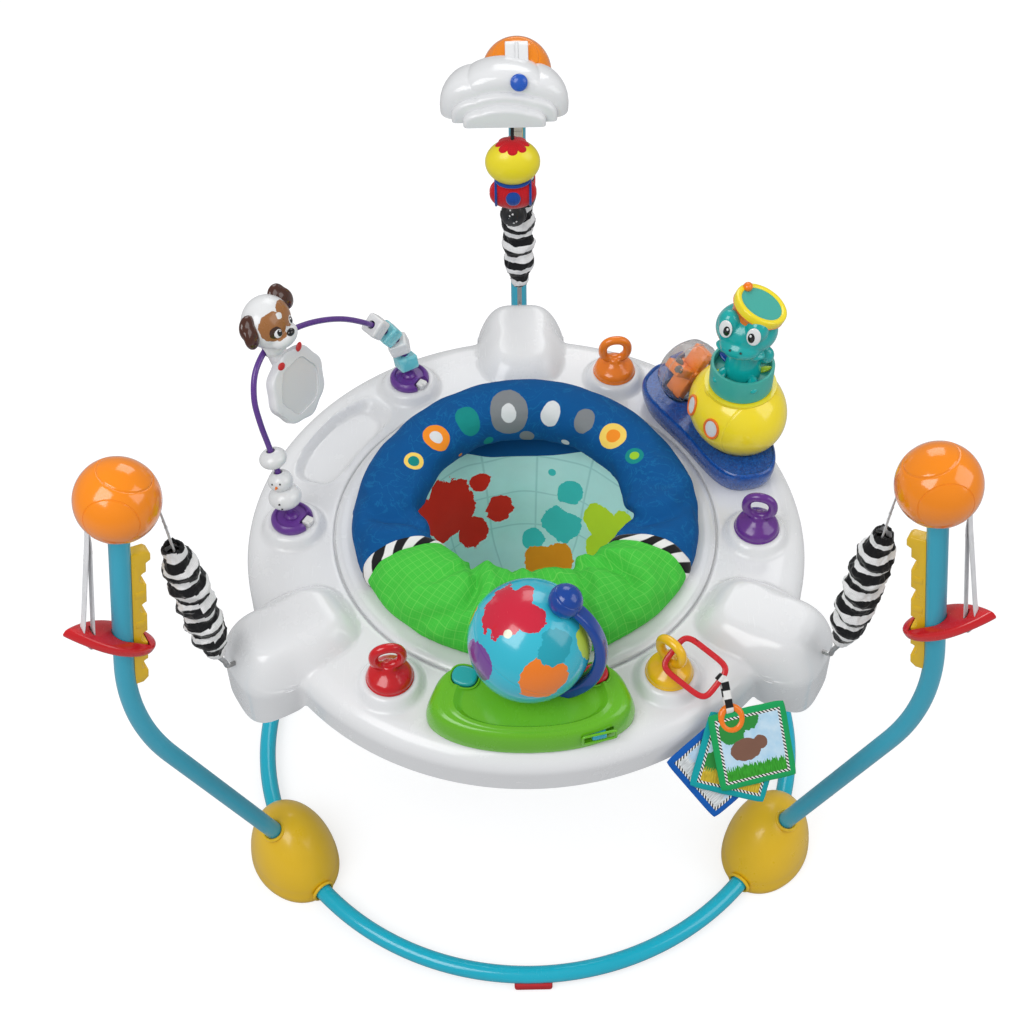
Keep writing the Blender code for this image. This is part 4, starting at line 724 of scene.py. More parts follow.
for side, azimuth in POSTS.items():
    round_over = [math.radians(step * 18) for step in range(6)]
    top = [(0.0015 + 0.0042 * math.sin(t), 0.0042 * (1 - math.cos(t))) for t in round_over]
    levels = [(-height, inset) for height, inset in reversed(top)] + top
    levels += [(0.0064, 0.0075), (0.0068, 0.0115)]
    handle = placed(pillow(leaf_outline(), levels), spun(-33, "Y"))
    half, inner = TUBE + 0.0008, -(TUBE + 0.0148)
    arc = [(half * math.sin(t), -half * math.cos(t)) for t in np.linspace(0, math.pi, 17)]
    window = skin([[(x, y, level) for x, y in [(inner, -half), *arc, (inner, half)]]
                   for level in (-0.08, 0.08)])
    handle, window = placed(handle, lever_frame(azimuth)), placed(window, lever_frame(azimuth))
    slot = placed(skin(band_rows(strap_line()[:14], 0.0140, 0.0034)), turned_to(azimuth))
    show(f"lever_handle_{side}", carved(handle, window, slot), f"lever_{side}", glossy_red,
         [f"lever_{side}"], 32.0)


# Straps: woven white webbing. From the lever's two slots it rises as a narrow V into the ball,
# runs over inside it, and comes down to the top hook of the spring.

tree, given, result = node_group(
    "plain weave",
    [("Colour", "Color", (0.8, 0.8, 0.8, 1)), ("Threads", "Float", 900.0), ("Depth", "Float", 0.5),
     ("Slub And Weave Shade", "Float", 0.08)],
    [("Colour", "Color"), ("Roughness", "Float"), ("Normal", "Vector")])
surface = node(tree, "SeparateXYZ", {0: node(tree, "UVMap")})
along = maths(tree, "MULTIPLY", surface, given["Threads"])
across = maths(tree, "MULTIPLY", surface.outputs[1], given["Threads"])
warp = maths(tree, "SINE", along)
weft = maths(tree, "SINE", across)
over = maths(tree, "MULTIPLY", warp, weft)
height = maths(tree, "ABSOLUTE", over)
fibre = noisy(tree, object_place(tree), 900.0, 3.0)
cloud_tone = noisy(tree, object_place(tree), 60.0, 4.0)
tone = ranged(tree, cloud_tone, (0.3, 0.7), to=(-0.5, 0.5))
# Painted shade and light in the weave: the thread colour is darker in the hollows between threads and
# lighter on their crossings. One input sets the strength of both this and the cloth's random tone.
thread = ranged(tree, height, to=(-0.9, 0.4))
both = maths(tree, "ADD", tone, thread)
scaled = maths(tree, "MULTIPLY_ADD", both, given["Slub And Weave Shade"], 1.0)
toned = node(tree, "HueSaturation", {"Color": given["Colour"], "Value": scaled})
tree.links.new(toned.outputs[0], result["Colour"])
rough = ranged(tree, fibre, to=(0.72, 0.98))
tree.links.new(rough.outputs[0], result["Roughness"])
relief = maths(tree, "MULTIPLY_ADD", fibre, 0.35, height)
bump = node(tree, "Bump", {"Height": relief, "Strength": given["Depth"], "Distance": 0.0003})
tree.links.new(bump.outputs[0], result["Normal"])


def woven(name, colour, threads=900.0, depth=0.5, slub_and_weave_shade=0.08, sheen=0.25):
    """A cloth finish on the piece's own UV map."""
    return surfaced(name, "plain weave", colour, {"Threads": threads, "Depth": depth, "Slub And Weave Shade": slub_and_weave_shade},
                    {"Sheen Weight": sheen, "Sheen Roughness": 0.4, "Specular IOR Level": 0.2})


def grown(tree, start, values):
    """The plain mesh that a geometry tree makes from a start mesh."""
    carrier = linked("work", start)
    modifier = carrier.modifiers.new("shape", "NODES")
    modifier.node_group = tree
    for item in tree.interface.items_tree:
        if item.in_out == "INPUT" and item.name in values:
            modifier[item.identifier] = values[item.name]
    return applied(carrier)


def wire_mesh(*lines):
    """Edges along each line of points."""
    points, edges = [], []
    for line in lines:
        first = len(points)
        points += [tuple(point) for point in line]
        edges += [(k, k + 1) for k in range(first, len(points) - 1)]
    mesh = bpy.data.meshes.new("line")
    mesh.from_pydata(points, edges, [])
    return mesh


# A run of stitches: short slim threads laid end to end along a line.
stitch_tree, given, result = node_group(
    "sewn stitches",
    [("Geometry", "Geometry", None), ("Pitch", "Float", 0.004), ("Length", "Float", 0.0028),
     ("Thread", "Float", 0.0007), ("Finish", "Material", None)],
    [("Geometry", "Geometry")], "GeometryNodeTree")
line = step_node(stitch_tree, "GeometryNodeMeshToCurve", {"Mesh": given["Geometry"]})
spots = step_node(stitch_tree, "GeometryNodeCurveToPoints", {"Curve": line, "Length": given["Pitch"]},
                  mode="LENGTH")
thread = step_node(stitch_tree, "GeometryNodeMeshUVSphere", {"Segments": 6, "Rings": 5, "Radius": 0.5})
size = step_node(stitch_tree, "ShaderNodeCombineXYZ",
                 {"X": given["Thread"], "Y": given["Thread"], "Z": given["Length"]})
sewn = step_node(stitch_tree, "GeometryNodeInstanceOnPoints",
                 {"Points": spots.outputs["Points"], "Instance": thread.outputs["Mesh"],
                  "Rotation": spots.outputs["Rotation"], "Scale": size})
loose = step_node(stitch_tree, "GeometryNodeRealizeInstances", {"Geometry": sewn})
dressed = step_node(stitch_tree, "GeometryNodeSetMaterial",
                    {"Geometry": loose, "Material": given["Finish"]})
stitch_tree.links.new(dressed.outputs[0], result["Geometry"])


white_thread = woven("white thread", (0.80, 0.80, 0.79), 2400.0, 0.3)
webbing = woven("white webbing", (0.74, 0.75, 0.77), 2600.0, 0.7, 0.10)
STRAP = (0.012, 0.0015)


def lever_leg():
    """Down from the ball, through the inner slot, round the bar and back up through the outer slot."""
    near = Vector((leg_reach(LEVER_HEIGHT) + LEVER_SLOT, LEVER_HEIGHT + LEVER_SLOT * HANDLE_SLOPE))
    far = near + Vector((0.0095, 0.0095 * HANDLE_SLOPE))
    points = [(BALL_REACH, BALL_HEIGHT + 0.012), (BALL_REACH + 0.031, BALL_HEIGHT - 0.008)]
    points += [(BALL_REACH + 0.0375 + (near.x - BALL_REACH - 0.0375) * share,
                BALL_HEIGHT - 0.042 + (near.y - BALL_HEIGHT + 0.042) * share)
               for share in (0, 0.15, 0.5, 0.85, 1)]
    under = [(near.x + 0.0018, near.y - 0.0105), (near.x + 0.0075, near.y - 0.0115)]
    points += under + [(far.x + 0.0015, far.y - 0.003)]
    back = [(far.x + (BALL_REACH + 0.0405 - far.x) * share, far.y + (BALL_HEIGHT - 0.042 - far.y) * share)
            for share in (0.15, 0.5, 0.85, 1)]
    return in_plane([*points, *back, (BALL_REACH + 0.0340, BALL_HEIGHT - 0.012)])


def tack(rows, shares):
    """Bars of stitches across a strap, at shares of its length."""
    lines = []
    for share in shares:
        row = rows[int(share * (len(rows) - 1))]
        for index in (4, 12):
            middle, edge = row[index], (row[0] - row[8]) * 0.40
            out = (row[4] - row[12]) * (0.08 if index == 4 else -0.08)
            lines.append([middle - edge + out, middle + edge + out])
    return grown(stitch_tree, wire_mesh(*lines),
                 {"Pitch": 0.0016, "Length": 0.0018, "Thread": 0.0006, "Finish": white_thread})


# Each strap's two legs: the line, its tacks, the body at its far end, its flat length, and where it
# starts and ends to give.
LEGS = (("outer", lever_leg(), (0.17, 0.18, 0.19, 0.85, 0.86), "lever_{}", 0.415,
         (Vector((0.497, 0, 0.745)), Vector((0.516, 0, 0.650)))),
        ("inner", strap_line()[24:], (0.60, 0.62, 0.64), "hangers", 0.150,
         (Vector((0.4225, 0, 0.745)), SPRING_TOP)))
for side, azimuth in POSTS.items():
    here = turned_to(azimuth)
    for name, line, tacks, far, length, gives in LEGS:
        rows = band_rows(line, *STRAP)
        mesh = gathered((skin(rows), webbing), (tack(rows, tacks), white_thread))
        leg = show(f"strap_{name}_{side}", placed(mesh, here), None, instead=[f"webbing_{side}"],
                   smooth=60.0)
        start, end = (tuple(here @ give) for give in gives)
        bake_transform(leg)
        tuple(start)
        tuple(end)


# Springs: extension springs of bright steel wire, hooked into the arms' end walls. Only their
# lower hooks show below the cloth.

steel = bpy.data.materials.new("bright spring steel")
tree = emptied(steel)
place = node(tree, "Mapping", {"Vector": object_place(tree), "Scale": (60, 60, 1500)})
streak = noisy(tree, place, 1.0, 4.0)
tint = ranged(tree, streak, to=(0.40, 0.62))
grey = node(tree, "CombineColor", {0: tint, 1: tint, 2: tint})
worn = ranged(tree, streak, to=(0.22, 0.42))
coil = node(tree, "Bump", {"Height": streak, "Strength": 0.5, "Distance": 0.0006})
shader = node(tree, "BsdfPrincipled",
              {"Base Color": grey, "Metallic": 1.0, "Roughness": worn, "Normal": coil})
node(tree, "OutputMaterial", {"Surface": shader})
for side, azimuth in POSTS.items():
    coiled = frame["nodes"][f"spring_{side}"]
    wire = placed(coiled.data.copy(), coiled.matrix_world)
    spring = show(f"hanger_spring_{side}", wire, None, steel, [f"spring_{side}"], 60.0)
    ends = [tuple(turned_to(azimuth) @ end) for end in (SPRING_TOP, SPRING_FOOT)]
    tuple(ends[0])
    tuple(ends[1])
    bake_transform(spring)


# Sleeves: zebra-striped cloth tubes drawn up on elastic, so that each stands in soft puffs. They
# hide the springs, and are tied in at both ends.

PUFFS, SLEEVE = 6, 0.0225


def zebra(tree):
    """Black and white bands that wander round the tube, split and fade out like a zebra's."""
    surface = node(tree, "UVMap").outputs[0]
    place = node(tree, "Mapping", {"Vector": surface, "Scale": (14.0, 62.0, 1.0)})
    wander = noisy(tree, place, 0.9, 2.0, noise_dimensions="2D")
    push = ranged(tree, wander, to=(-3.0, 3.0))
    rise = node(tree, "SeparateXYZ", {0: place})
    phase = maths(tree, "MULTIPLY_ADD", rise.outputs[1], 4.6, push)
    wave = maths(tree, "SINE", phase)
    mask = ranged(tree, wave, (-0.02, 0.16))
    return mixed(tree, mask, (0.010, 0.010, 0.012, 1), (0.80, 0.80, 0.81, 1))


zebra_cloth = woven("zebra cloth", zebra, 1500.0, 0.35, 0.10, 0.3)


def sleeve_rows(seed, count=190, steps=96):
    axis = SPRING_TOP - SPRING_FOOT
    length, turn = axis.length, axis.to_track_quat("Z", "Y").to_matrix()
    rows = []
    for step in range(count + 1):
        share = step / count
        draw = 1 - 0.55 * (2 * abs(share - 0.5)) ** 4
        row = []
        for k in range(steps):
            t = math.tau * k / steps
            spot = Vector((1.6 * math.cos(t), 1.6 * math.sin(t), share * 9.0 + seed * 7.3))
            slip = 0.42 * noise.noise(spot * 0.8)
            puff = math.cos(math.tau * (PUFFS * share + slip * 0.5) + 0.9 * math.sin(2 * t))
            pleat = noise.noise(Vector((3.4 * math.cos(t), 3.4 * math.sin(t), share * 17.0 + seed * 3.1)))
            fold = 1 - abs(noise.noise(Vector((2.2 * math.cos(t), 2.2 * math.sin(t),
                                               share * 26.0 + seed)))) * 2
            radius = SLEEVE * draw * (0.86 + 0.105 * puff + 0.07 * pleat + 0.05 * fold * abs(fold))
            row.append(SPRING_FOOT + turn @ Vector((radius * math.cos(t), radius * math.sin(t),
                                                    0.008 + (length - 0.006) * share + 0.0022 * pleat)))
        rows.append(row)
    middle = SPRING_FOOT + axis / 2
    lining = [[point + (middle + (point - middle).dot(axis.normalized()) * axis.normalized()
                        - point).normalized() * 0.0012 for point in row] for row in rows[::-1]]
    return rows + lining


for seed, (side, azimuth) in enumerate(POSTS.items()):
    here = turned_to(azimuth)
    sleeve = skin(sleeve_rows(seed), wrap=True, around_size=math.tau * SLEEVE)
    sleeve = show(f"zebra_sleeve_{side}", placed(sleeve, here), None, zebra_cloth, [f"sleeve_{side}"],
                  80.0)
    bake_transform(sleeve)


# Cloud: a white moulded bracket with scalloped tiers, like three clouds one behind the other. A
# round blue button holds its clip, which grips the back ball.

CLOUD_FRONT, CLOUD_BACK, CLOUD_BOTTOM, CLOUD_SHIFT = 0.368, 0.440, 0.772, 0.016
CLOUD_HALF, CLOUD_HEIGHT = 0.079, 0.060
CLOUD_PIN = (CLOUD_FRONT + 0.008, 0.007, CLOUD_BOTTOM + 0.007)
gloss_white = moulded("gloss white plastic", (0.76, 0.77, 0.785), 0.20, 0.5, 0.02, (190.0, 0.05))
button_blue = moulded("blue plastic", (0.012, 0.10, 0.52), 0.25, 0.5)


def cloud_row(reach, half, height, steps=144):
    row = []
    for step in range(steps + 1):
        turn = math.pi * step / steps
        puff = 0.925 + 0.075 * abs(math.sin(2.5 * turn + math.pi / 4)) ** 0.7
        row.append((reach, CLOUD_SHIFT + half * puff * math.cos(turn),
                    CLOUD_BOTTOM + height * puff * math.sin(turn) ** 0.72))
    return row


def cloud_tier(front, back, half, height, roll, fall=1.0):
    """One tier with a rolled front edge. fall narrows its back."""
    rows = []
    for step in range(7):
        turn = math.pi / 2 * step / 6
        drop = 1 - roll / half * (1 - math.sin(turn))
        rows.append(cloud_row(front + roll * (1 - math.cos(turn)), half * drop,
                              height * (1 - roll / height * (1 - math.sin(turn)))))
    for step in range(1, 6):
        share = step / 5
        rows.append(cloud_row(front + roll + (back - front - roll) * share,
                              half * (1 - (1 - fall) * share**2), height * (1 - (1 - fall) * share**2)))
    return skin(rows)


front = CLOUD_FRONT + 0.021
tiers = [cloud_tier(front - 0.002, CLOUD_BACK, CLOUD_HALF, CLOUD_HEIGHT, 0.016, 0.88),
         cloud_tier(CLOUD_FRONT + 0.0105, front + 0.012, CLOUD_HALF * 0.82, CLOUD_HEIGHT * 0.62, 0.005),
         cloud_tier(CLOUD_FRONT, front, CLOUD_HALF * 0.64, CLOUD_HEIGHT * 0.42, 0.005)]
clip_turns = np.radians(np.linspace(95, 195, 21))
clip = skin([[(BALL_REACH + size * math.cos(t), side, BALL_HEIGHT + size * math.sin(t))
              for size, side in ((0.0434, -0.014), (0.0474, -0.014), (0.0474, 0.014), (0.0434, 0.014))]
             for t in clip_turns])
clip = softened(clip, 0.0010, 3)
ridge = tube_along([(BALL_REACH + 0.0476 * math.cos(t), 0, BALL_HEIGHT + 0.0476 * math.sin(t))
                    for t in clip_turns[1:15]], 0.0022, 12)
ball_room = placed(seamed_ball(BALL + 0.0007, ()), at((BALL_REACH, 0, BALL_HEIGHT)))
strap_room = skin(band_rows(strap_line(), 0.0165, 0.0055))
pivot_room = brick((0.0072, 0.014, 0.030), CLOUD_PIN)
bracket = carved(carved(tiers[0], *tiers[1:], operation="UNION"), ball_room, strap_room, pivot_room)
cap = seamed_ball(0.0105, (58,), 40, 0.0005, 3.0)
cap = placed(cap, at((front - 0.0010, CLOUD_SHIFT - 0.018, CLOUD_BOTTOM + 0.0500)) @ spun(-62, "Y")
             @ Matrix.Diagonal((1, 1, 0.55, 1)))
cloud = gathered((bracket, gloss_white), (clip, gloss_white), (ridge, gloss_white), (cap, button_blue))
show("cloud_bracket", placed(cloud, turned_to(90)), "frame", instead=["cloud"],
     smooth=32.0)


# Bead figure: three plump beads on a cord, which hang and swing below the cloud. The top one is
# yellow with a red cap, the next a red bow-tie cushion with blue piping, the last a zebra bead.

def ringed_ball(size, ribs=0, depth=0.0, steps=64, count=40):
    """An ellipsoid about Z, with shallow ribs that run from pole to pole."""
    rows = []
    for step in range(count + 1):
        turn = math.pi * (0.004 + 0.992 * step / count)
        row = []
        for k in range(steps):
            t = math.tau * k / steps
            swell = 1 - depth * (1 - abs(math.cos(ribs * t / 2)) ** 0.6) * math.sin(turn) if ribs else 1.0
            row.append((size[0] * swell * math.sin(turn) * math.cos(t),
                        size[1] * swell * math.sin(turn) * math.sin(t), -size[2] * math.cos(turn)))
        rows.append(row)
    return skin(rows)


def speckled(tree):
    """Pale dots on near black."""
    spots = node(tree, "TexVoronoi", {"Vector": object_place(tree), "Scale": 170.0})
    mask = ranged(tree, spots.outputs["Distance"], (0.20, 0.25))
    return mixed(tree, mask, (0.70, 0.70, 0.70, 1), (0.015, 0.015, 0.017, 1))


bead_yellow = moulded("yellow bead", (0.86, 0.72, 0.015), 0.34, 0.3, 0.05)
cap_red = woven("red felt", (0.60, 0.010, 0.018), 1300.0, 0.5, 0.12, 0.5)
trim_blue = woven("blue trim", (0.010, 0.065, 0.34), 1300.0, 0.5, 0.12, 0.5)
zebra_bead = moulded("zebra bead", speckled, 0.45, 0.1, 0.04)
beads = []
for drop, size, finish, ribs in ((-0.060, (0.0245, 0.034, 0.030), bead_yellow, 0),
                                 (-0.107, (0.0145, 0.031, 0.024), cap_red, 6),
                                 (-0.142, (0.0125, 0.017, 0.018), zebra_bead, 8)):
    beads.append((placed(ringed_ball(size, ribs, 0.10), at((-0.005, 0, drop))), finish))
crown = ringed_ball((0.0178, 0.0215, 0.0105), 8, 0.16)
beads.append((placed(crown, at((-0.004, 0, -0.0385))), cap_red))
knot = ringed_ball((0.0085, 0.0105, 0.0105), 5, 0.12)
beads.append((placed(knot, at((-0.0165, 0, -0.107))), trim_blue))
for end in (-1, 1):
    rim = [(0.0112 * math.cos(t) - 0.005, end * 0.0215, -0.107 + 0.0182 * math.sin(t)) for t in around(40)]
    beads.append((loop_along(rim, 0.0017, 10), trim_blue))
collar = [(0.0145 * math.cos(t) - 0.005, 0.0200 * math.sin(t), -0.0870) for t in around(48)]
beads.append((loop_along(collar, 0.0026, 12), trim_blue))
cord = tube_along([(0, 0, 0.0075), (-0.001, 0, -0.02), (-0.005, 0, -0.045), (-0.005, 0, -0.135)], 0.0022,
                  14)
beads.append((cord, woven("dark cord", (0.02, 0.02, 0.022), 2200.0, 0.6)))
beads.append((tube_along([(0, -0.0062, 0), (0, 0.0062, 0)], 0.0026, 14), gloss_white))
show("bead_string", placed(gathered(*beads), turned_to(90, CLOUD_PIN)), "bead_figure",
     instead=["bead_figure"], smooth=45.0)


# Tray: one big white moulded shell. Its three hollow arms, round mounds, snack dish and rolled rim
# are all drawn from the same sheet, 3 mm thick and open below.

DECK_TOP, DECK_RADIUS, RIM_BOTTOM, ARM_FLOOR, SHELL = 0.465, 0.335, 0.415, 0.375, 0.003
ARM_ROOT, ARM_TIP, ARM_HALF, ARM_RISE = 0.236, 0.389, 0.058, 0.0255
STATION, OPENING, MOUND = 0.2746, 0.206, 0.0133


def arm_depth(x, y, azimuth):
    """How far a place lies inside an arm's outline: positive inside, in metres."""
    turn = math.radians(azimuth)
    out, side = x * math.cos(turn) + y * math.sin(turn), -x * math.sin(turn) + y * math.cos(turn)
    half = (ARM_TIP - ARM_ROOT) / 2
    u, v = np.abs(out - (ARM_TIP + ARM_ROOT) / 2) / half, np.abs(side) / ARM_HALF
    power = 3.2
    size = (u**power + v**power) ** (1 / power)
    reach = np.sqrt((out - (ARM_TIP + ARM_ROOT) / 2) ** 2 + side**2)
    return reach * (1 / np.maximum(size, 0.001) - 1)


def tray_edge(count=640):
    """The shell's outline from above: the round deck and its three arms, blended at the roots."""
    angles = around(7200)
    reach = np.full(len(angles), DECK_RADIUS)
    for azimuth in POSTS.values():
        for step in np.linspace(0.300, ARM_TIP, 600):
            inside = arm_depth(step * np.cos(angles), step * np.sin(angles), azimuth) > 0
            reach = np.where(inside & (step > reach), step, reach)
    points = np.stack([reach * np.cos(angles), reach * np.sin(angles)], -1)
    for spacing in (count * 4, count):
        closed = np.vstack([points, points[:1]])
        run = np.concatenate([[0], np.cumsum(np.linalg.norm(np.diff(closed, axis=0), axis=1))])
        wanted = np.linspace(0, run[-1], spacing, endpoint=False)
        points = np.stack([np.interp(wanted, run, closed[:, axis]) for axis in (0, 1)], -1)
        if spacing != count:
            sigma = 0.0045 / (run[-1] / spacing)
            window = np.arange(-int(4 * sigma), int(4 * sigma) + 1)
            weight = np.exp(-0.5 * (window / sigma) ** 2)
            weight /= weight.sum()
            points = sum(np.roll(points, shift, 0) * part for shift, part in zip(window, weight))
    return points


def smooth_step(value):
    value = np.clip(value, 0, 1)
    return value * value * (3 - 2 * value)


def mound_places():
    spots = [polar(STATION, azimuth) for azimuth in (235.7, 304.3, -4.3, 64.3)]
    arch = spun(150, "Z")
    return spots + [arch @ Vector((STATION - 0.0306, side * 0.1347, 0)) for side in (-1, 1)]


def tray_height(x, y, depth):
    """The top surface's height at places a given distance in from the edge."""
    roll = np.clip(depth / 0.028, 0, 1)
    rolled = height = DECK_TOP - 0.024 * (1 - np.sqrt(np.clip(1 - (1 - roll) ** 2, 0, 1)))
    for azimuth in POSTS.values():
        hump = np.sin(math.pi / 2 * np.clip((arm_depth(x, y, azimuth) - 0.001) / 0.034, 0, 1)) ** 0.9
        height = np.maximum(height, rolled + ARM_RISE * hump)
    for spot in mound_places():
        away = np.hypot(x - spot.x, y - spot.y)
        height = height + 0.013 * smooth_step((0.0405 - away) / 0.0105)
    turn = np.degrees(np.arctan2(y, x)) % 360
    middle, wide = (131 + 164) / 2, (164 - 131) / 2
    u = np.abs(np.hypot(x, y) - 0.2725) / 0.0325
    v = np.abs(turn - middle) / wide
    inside = 1 - (u**3.4 + v**3.4) ** (1 / 3.4)
    return height - 0.013 * smooth_step(inside / 0.20) + 0.0011 * np.exp(-((inside + 0.03) / 0.035) ** 2)


edge = tray_edge()
heading = np.arctan2(edge[:, 1], edge[:, 0])
direction = np.stack([np.cos(heading), np.sin(heading)], -1)
rim = np.linalg.norm(edge, axis=1)
grid_tree = KDTree(len(edge))
for index, spot in enumerate(edge):
    grid_tree.insert((*spot, 0), index)
grid_tree.balance()
top_rows = []
for reach, drop in ((OPENING, 0.0055), (OPENING + 0.0008, 0.0038), (OPENING + 0.0020, 0.0035),
                    (0.2290, 0.0035), (0.2298, 0.0032), (0.2302, 0.0012), (0.2312, 0.0003),
                    (0.2330, 0.0)):
    top_rows.append([(*(direction[k] * reach), DECK_TOP - drop) for k in range(len(edge))])
levels = 1 - (1 - np.linspace(0, 1, 50)[1:]) ** 1.55
for level in levels:
    spot = direction * (0.2330 + (rim - 0.2330) * level)[:, None]
    depth = np.array([grid_tree.find((*point, 0))[2] for point in spot])
    heights = tray_height(spot[:, 0], spot[:, 1], depth)
    top_rows.append([(*point, height) for point, height in zip(spot, heights)])
under_arm = np.max([arm_depth(*(edge.T * 0.985), azimuth) for azimuth in POSTS.values()], axis=0)
floor_line = RIM_BOTTOM - (RIM_BOTTOM - ARM_FLOOR) * smooth_step((under_arm + 0.004) / 0.016)
start_line = np.array([point[2] for point in top_rows[-1]])
for share in (0.04, 0.12, 0.3, 0.5, 0.7, 0.85, 0.95, 1.0):
    top_rows.append([(*(edge[k] * (1 + 0.0008 * share)),
                      start_line[k] + (floor_line[k] - start_line[k]) * share) for k in range(len(edge))])
sheet = bpy.data.meshes.new("tray")
count = len(edge)
faces = [(row * count + k, row * count + (k + 1) % count, (row + 1) * count + (k + 1) % count,
          (row + 1) * count + k) for row in range(len(top_rows) - 1) for k in range(count)]
sheet.from_pydata([point for row in top_rows for point in row], [], faces)
faced_out(sheet)
if sum(face.normal.z * face.area for face in sheet.polygons) < 0:
    sheet.flip_normals()
tray = worked(sheet, ("SOLIDIFY", {"thickness": SHELL - 0.0002, "offset": -1.0, "use_even_offset": False}))
tray_white = moulded("white tray plastic", (0.76, 0.77, 0.785), 0.24, 0.35, 0.015, (150.0, 0.05))
show("tray_shell", placed(tray, turned_to(0)), "tray", tray_white, ["tray_deck"], 50.0)


# Ring posts: four snap-in loops for links, each moulded in one piece with a bell-shaped base and
# pressed on its mound.

def lathe(profile, steps=64, spans=4, wrap=False):
    """A turned body from (radius, height) points, drawn smoothly through them."""
    line = curve_through([(*point, 0) for point in profile], spans) if spans > 1 else [
        Vector((*point, 0)) for point in profile]
    return skin([[polar(max(point.x, 0.00006), 360 * k / steps, point.y) for k in range(steps)]
                 for point in line], wrap=wrap)


def superellipse(half_x, half_y, power=2.6, count=96):
    turns = around(count)
    c, s = np.cos(turns), np.sin(turns)
    return [(math.copysign(abs(a) ** (2 / power), a) * half_x,
             math.copysign(abs(b) ** (2 / power), b) * half_y) for a, b in zip(c, s)]


POST_FINISHES = {
    "red": (235.7, 100, moulded("red loop plastic", (0.56, 0.006, 0.012), 0.2, 0.6)),
    "yellow": (304.3, 43, moulded("yellow loop plastic", (0.86, 0.50, 0.010), 0.2, 0.6)),
    "purple": (-4.3, 75, moulded("purple loop plastic", (0.125, 0.028, 0.25), 0.22, 0.5)),
    "orange": (64.3, 95, moulded("orange loop plastic", (0.83, 0.20, 0.008), 0.2, 0.6)),
}
BELL = ((0.0255, 0.0002), (0.0260, 0.0020), (0.0256, 0.0060), (0.0232, 0.0105), (0.0186, 0.0140),
        (0.0138, 0.0172), (0.0104, 0.0205), (0.0086, 0.0238), (0.0060, 0.0258), (0.0001, 0.0262))
for colour, (azimuth, facing, finish) in POST_FINISHES.items():
    bell = lathe(BELL)
    brim = lathe(((0.0235, 0.0001), (0.0266, 0.0001), (0.0270, 0.0013), (0.0262, 0.0026),
                  (0.0236, 0.0026)), 64, 1, wrap=True)
    hoop = [(x, 0, 0.038 + z) for x, z in superellipse(0.0158, 0.0158, 2.25, 72)]
    hoop = loop_along(hoop, 0.0055, 20)
    place = polar(STATION, azimuth, DECK_TOP + MOUND)
    turn = turned_to(0, place) @ spun(facing - 90, "Z")
    mesh = carved(bell, hoop, operation="UNION")
    mesh = gathered((mesh, finish), (brim, finish))
    show(f"ring_loop_{colour}", placed(mesh, turn), "tray", instead=[f"ring_post_{colour}"],
         smooth=40.0)


# Globe console: a green moulded base with round ends that follows the seat's edge. A raised oval
# ridge frames the globe, and a recess in the front wall holds the volume slider.

GLOBE = 0.0665
BASE_HALF, BASE_HEIGHT, BASE_SLANT = (0.0445, 0.112), 0.0365, 0.20
leaf_green = moulded("green plastic", (0.130, 0.46, 0.012), 0.24, 0.45, 0.03, (260.0, 0.07))
globe_station = turned_to(270, (STATION, 0, DECK_TOP))
CONSOLE_REACH = STATION + 0.0019
globe_axis = globe_station @ at((-0.0306, 0, 0.100)) @ spun(-29, "X")


def bent(outline, reach):
    """(outward, along) points carried from a straight line to an arc round the seat's axis."""
    return [((reach + x) * math.cos(y / reach), (reach + x) * math.sin(y / reach)) for x, y in outline]


def console_rows():
    outline = superellipse(*BASE_HALF, 3.2, 140)
    marks = curve_through([(0, 1.0, 0), (0.30, 1.0, 0), (0.62, 0.978, 0), (0.80, 0.955, 0),
                           (0.93, 0.918, 0), (1.0, 0.865, 0)], 3)
    rows = []
    for mark in marks:
        flat = [(x * mark.y, y * mark.y) for x, y in outline]
        rows.append([(*spot, mark.x * (BASE_HEIGHT - BASE_SLANT * x)) for spot, (x, y)
                     in zip(bent(flat, CONSOLE_REACH), flat)])
    for size in (0.84, 0.80, 0.775, 0.755, 0.735, 0.71, 0.69, 0.67, 0.64, 0.58, 0.45, 0.30, 0.15, 0.02):
        relief = 0.0028 * math.exp(-((size - 0.735) / 0.030) ** 2) - 0.0010 * (size < 0.68)
        flat = [(x * size, y * size) for x, y in outline]
        rows.append([(*spot, BASE_HEIGHT - BASE_SLANT * x + relief) for spot, (x, y)
                     in zip(bent(flat, CONSOLE_REACH), flat)])
    return rows


def bracket_rows(margin=0.0):
    """The crescent bracket from pole to pole, its edges rounded, a little thicker by margin."""
    inner = GLOBE + 0.0045 - margin
    rows = []
    for step in range(61):
        turn = -0.02 + (math.pi + 0.04) * step / 60
        outer = GLOBE + 0.0125 + margin + 0.007 * max(0.0, math.sin(turn)) ** 2
        middle = (inner + outer) / 2
        rows.append([((middle + a) * math.sin(turn), b, (middle + a) * math.cos(turn))
                     for a, b in superellipse((outer - inner) / 2, 0.010 + margin, 3.6, 36)])
    return rows


BRACKET_TURN = spun(73, "Z")


def bracket(margin):
    return placed(skin(bracket_rows(margin)), globe_axis @ BRACKET_TURN)


def button_frame(side):
    x, y = bent([(-0.019, side * 0.077)], CONSOLE_REACH)[0]
    top = BASE_HEIGHT + BASE_SLANT * 0.019 + 0.0003
    return (globe_station @ at((x - STATION, y, top))
            @ Matrix.Rotation(side * 0.077 / CONSOLE_REACH, 4, "Z")
            @ Matrix.Rotation(math.atan(BASE_SLANT), 4, "Y"))


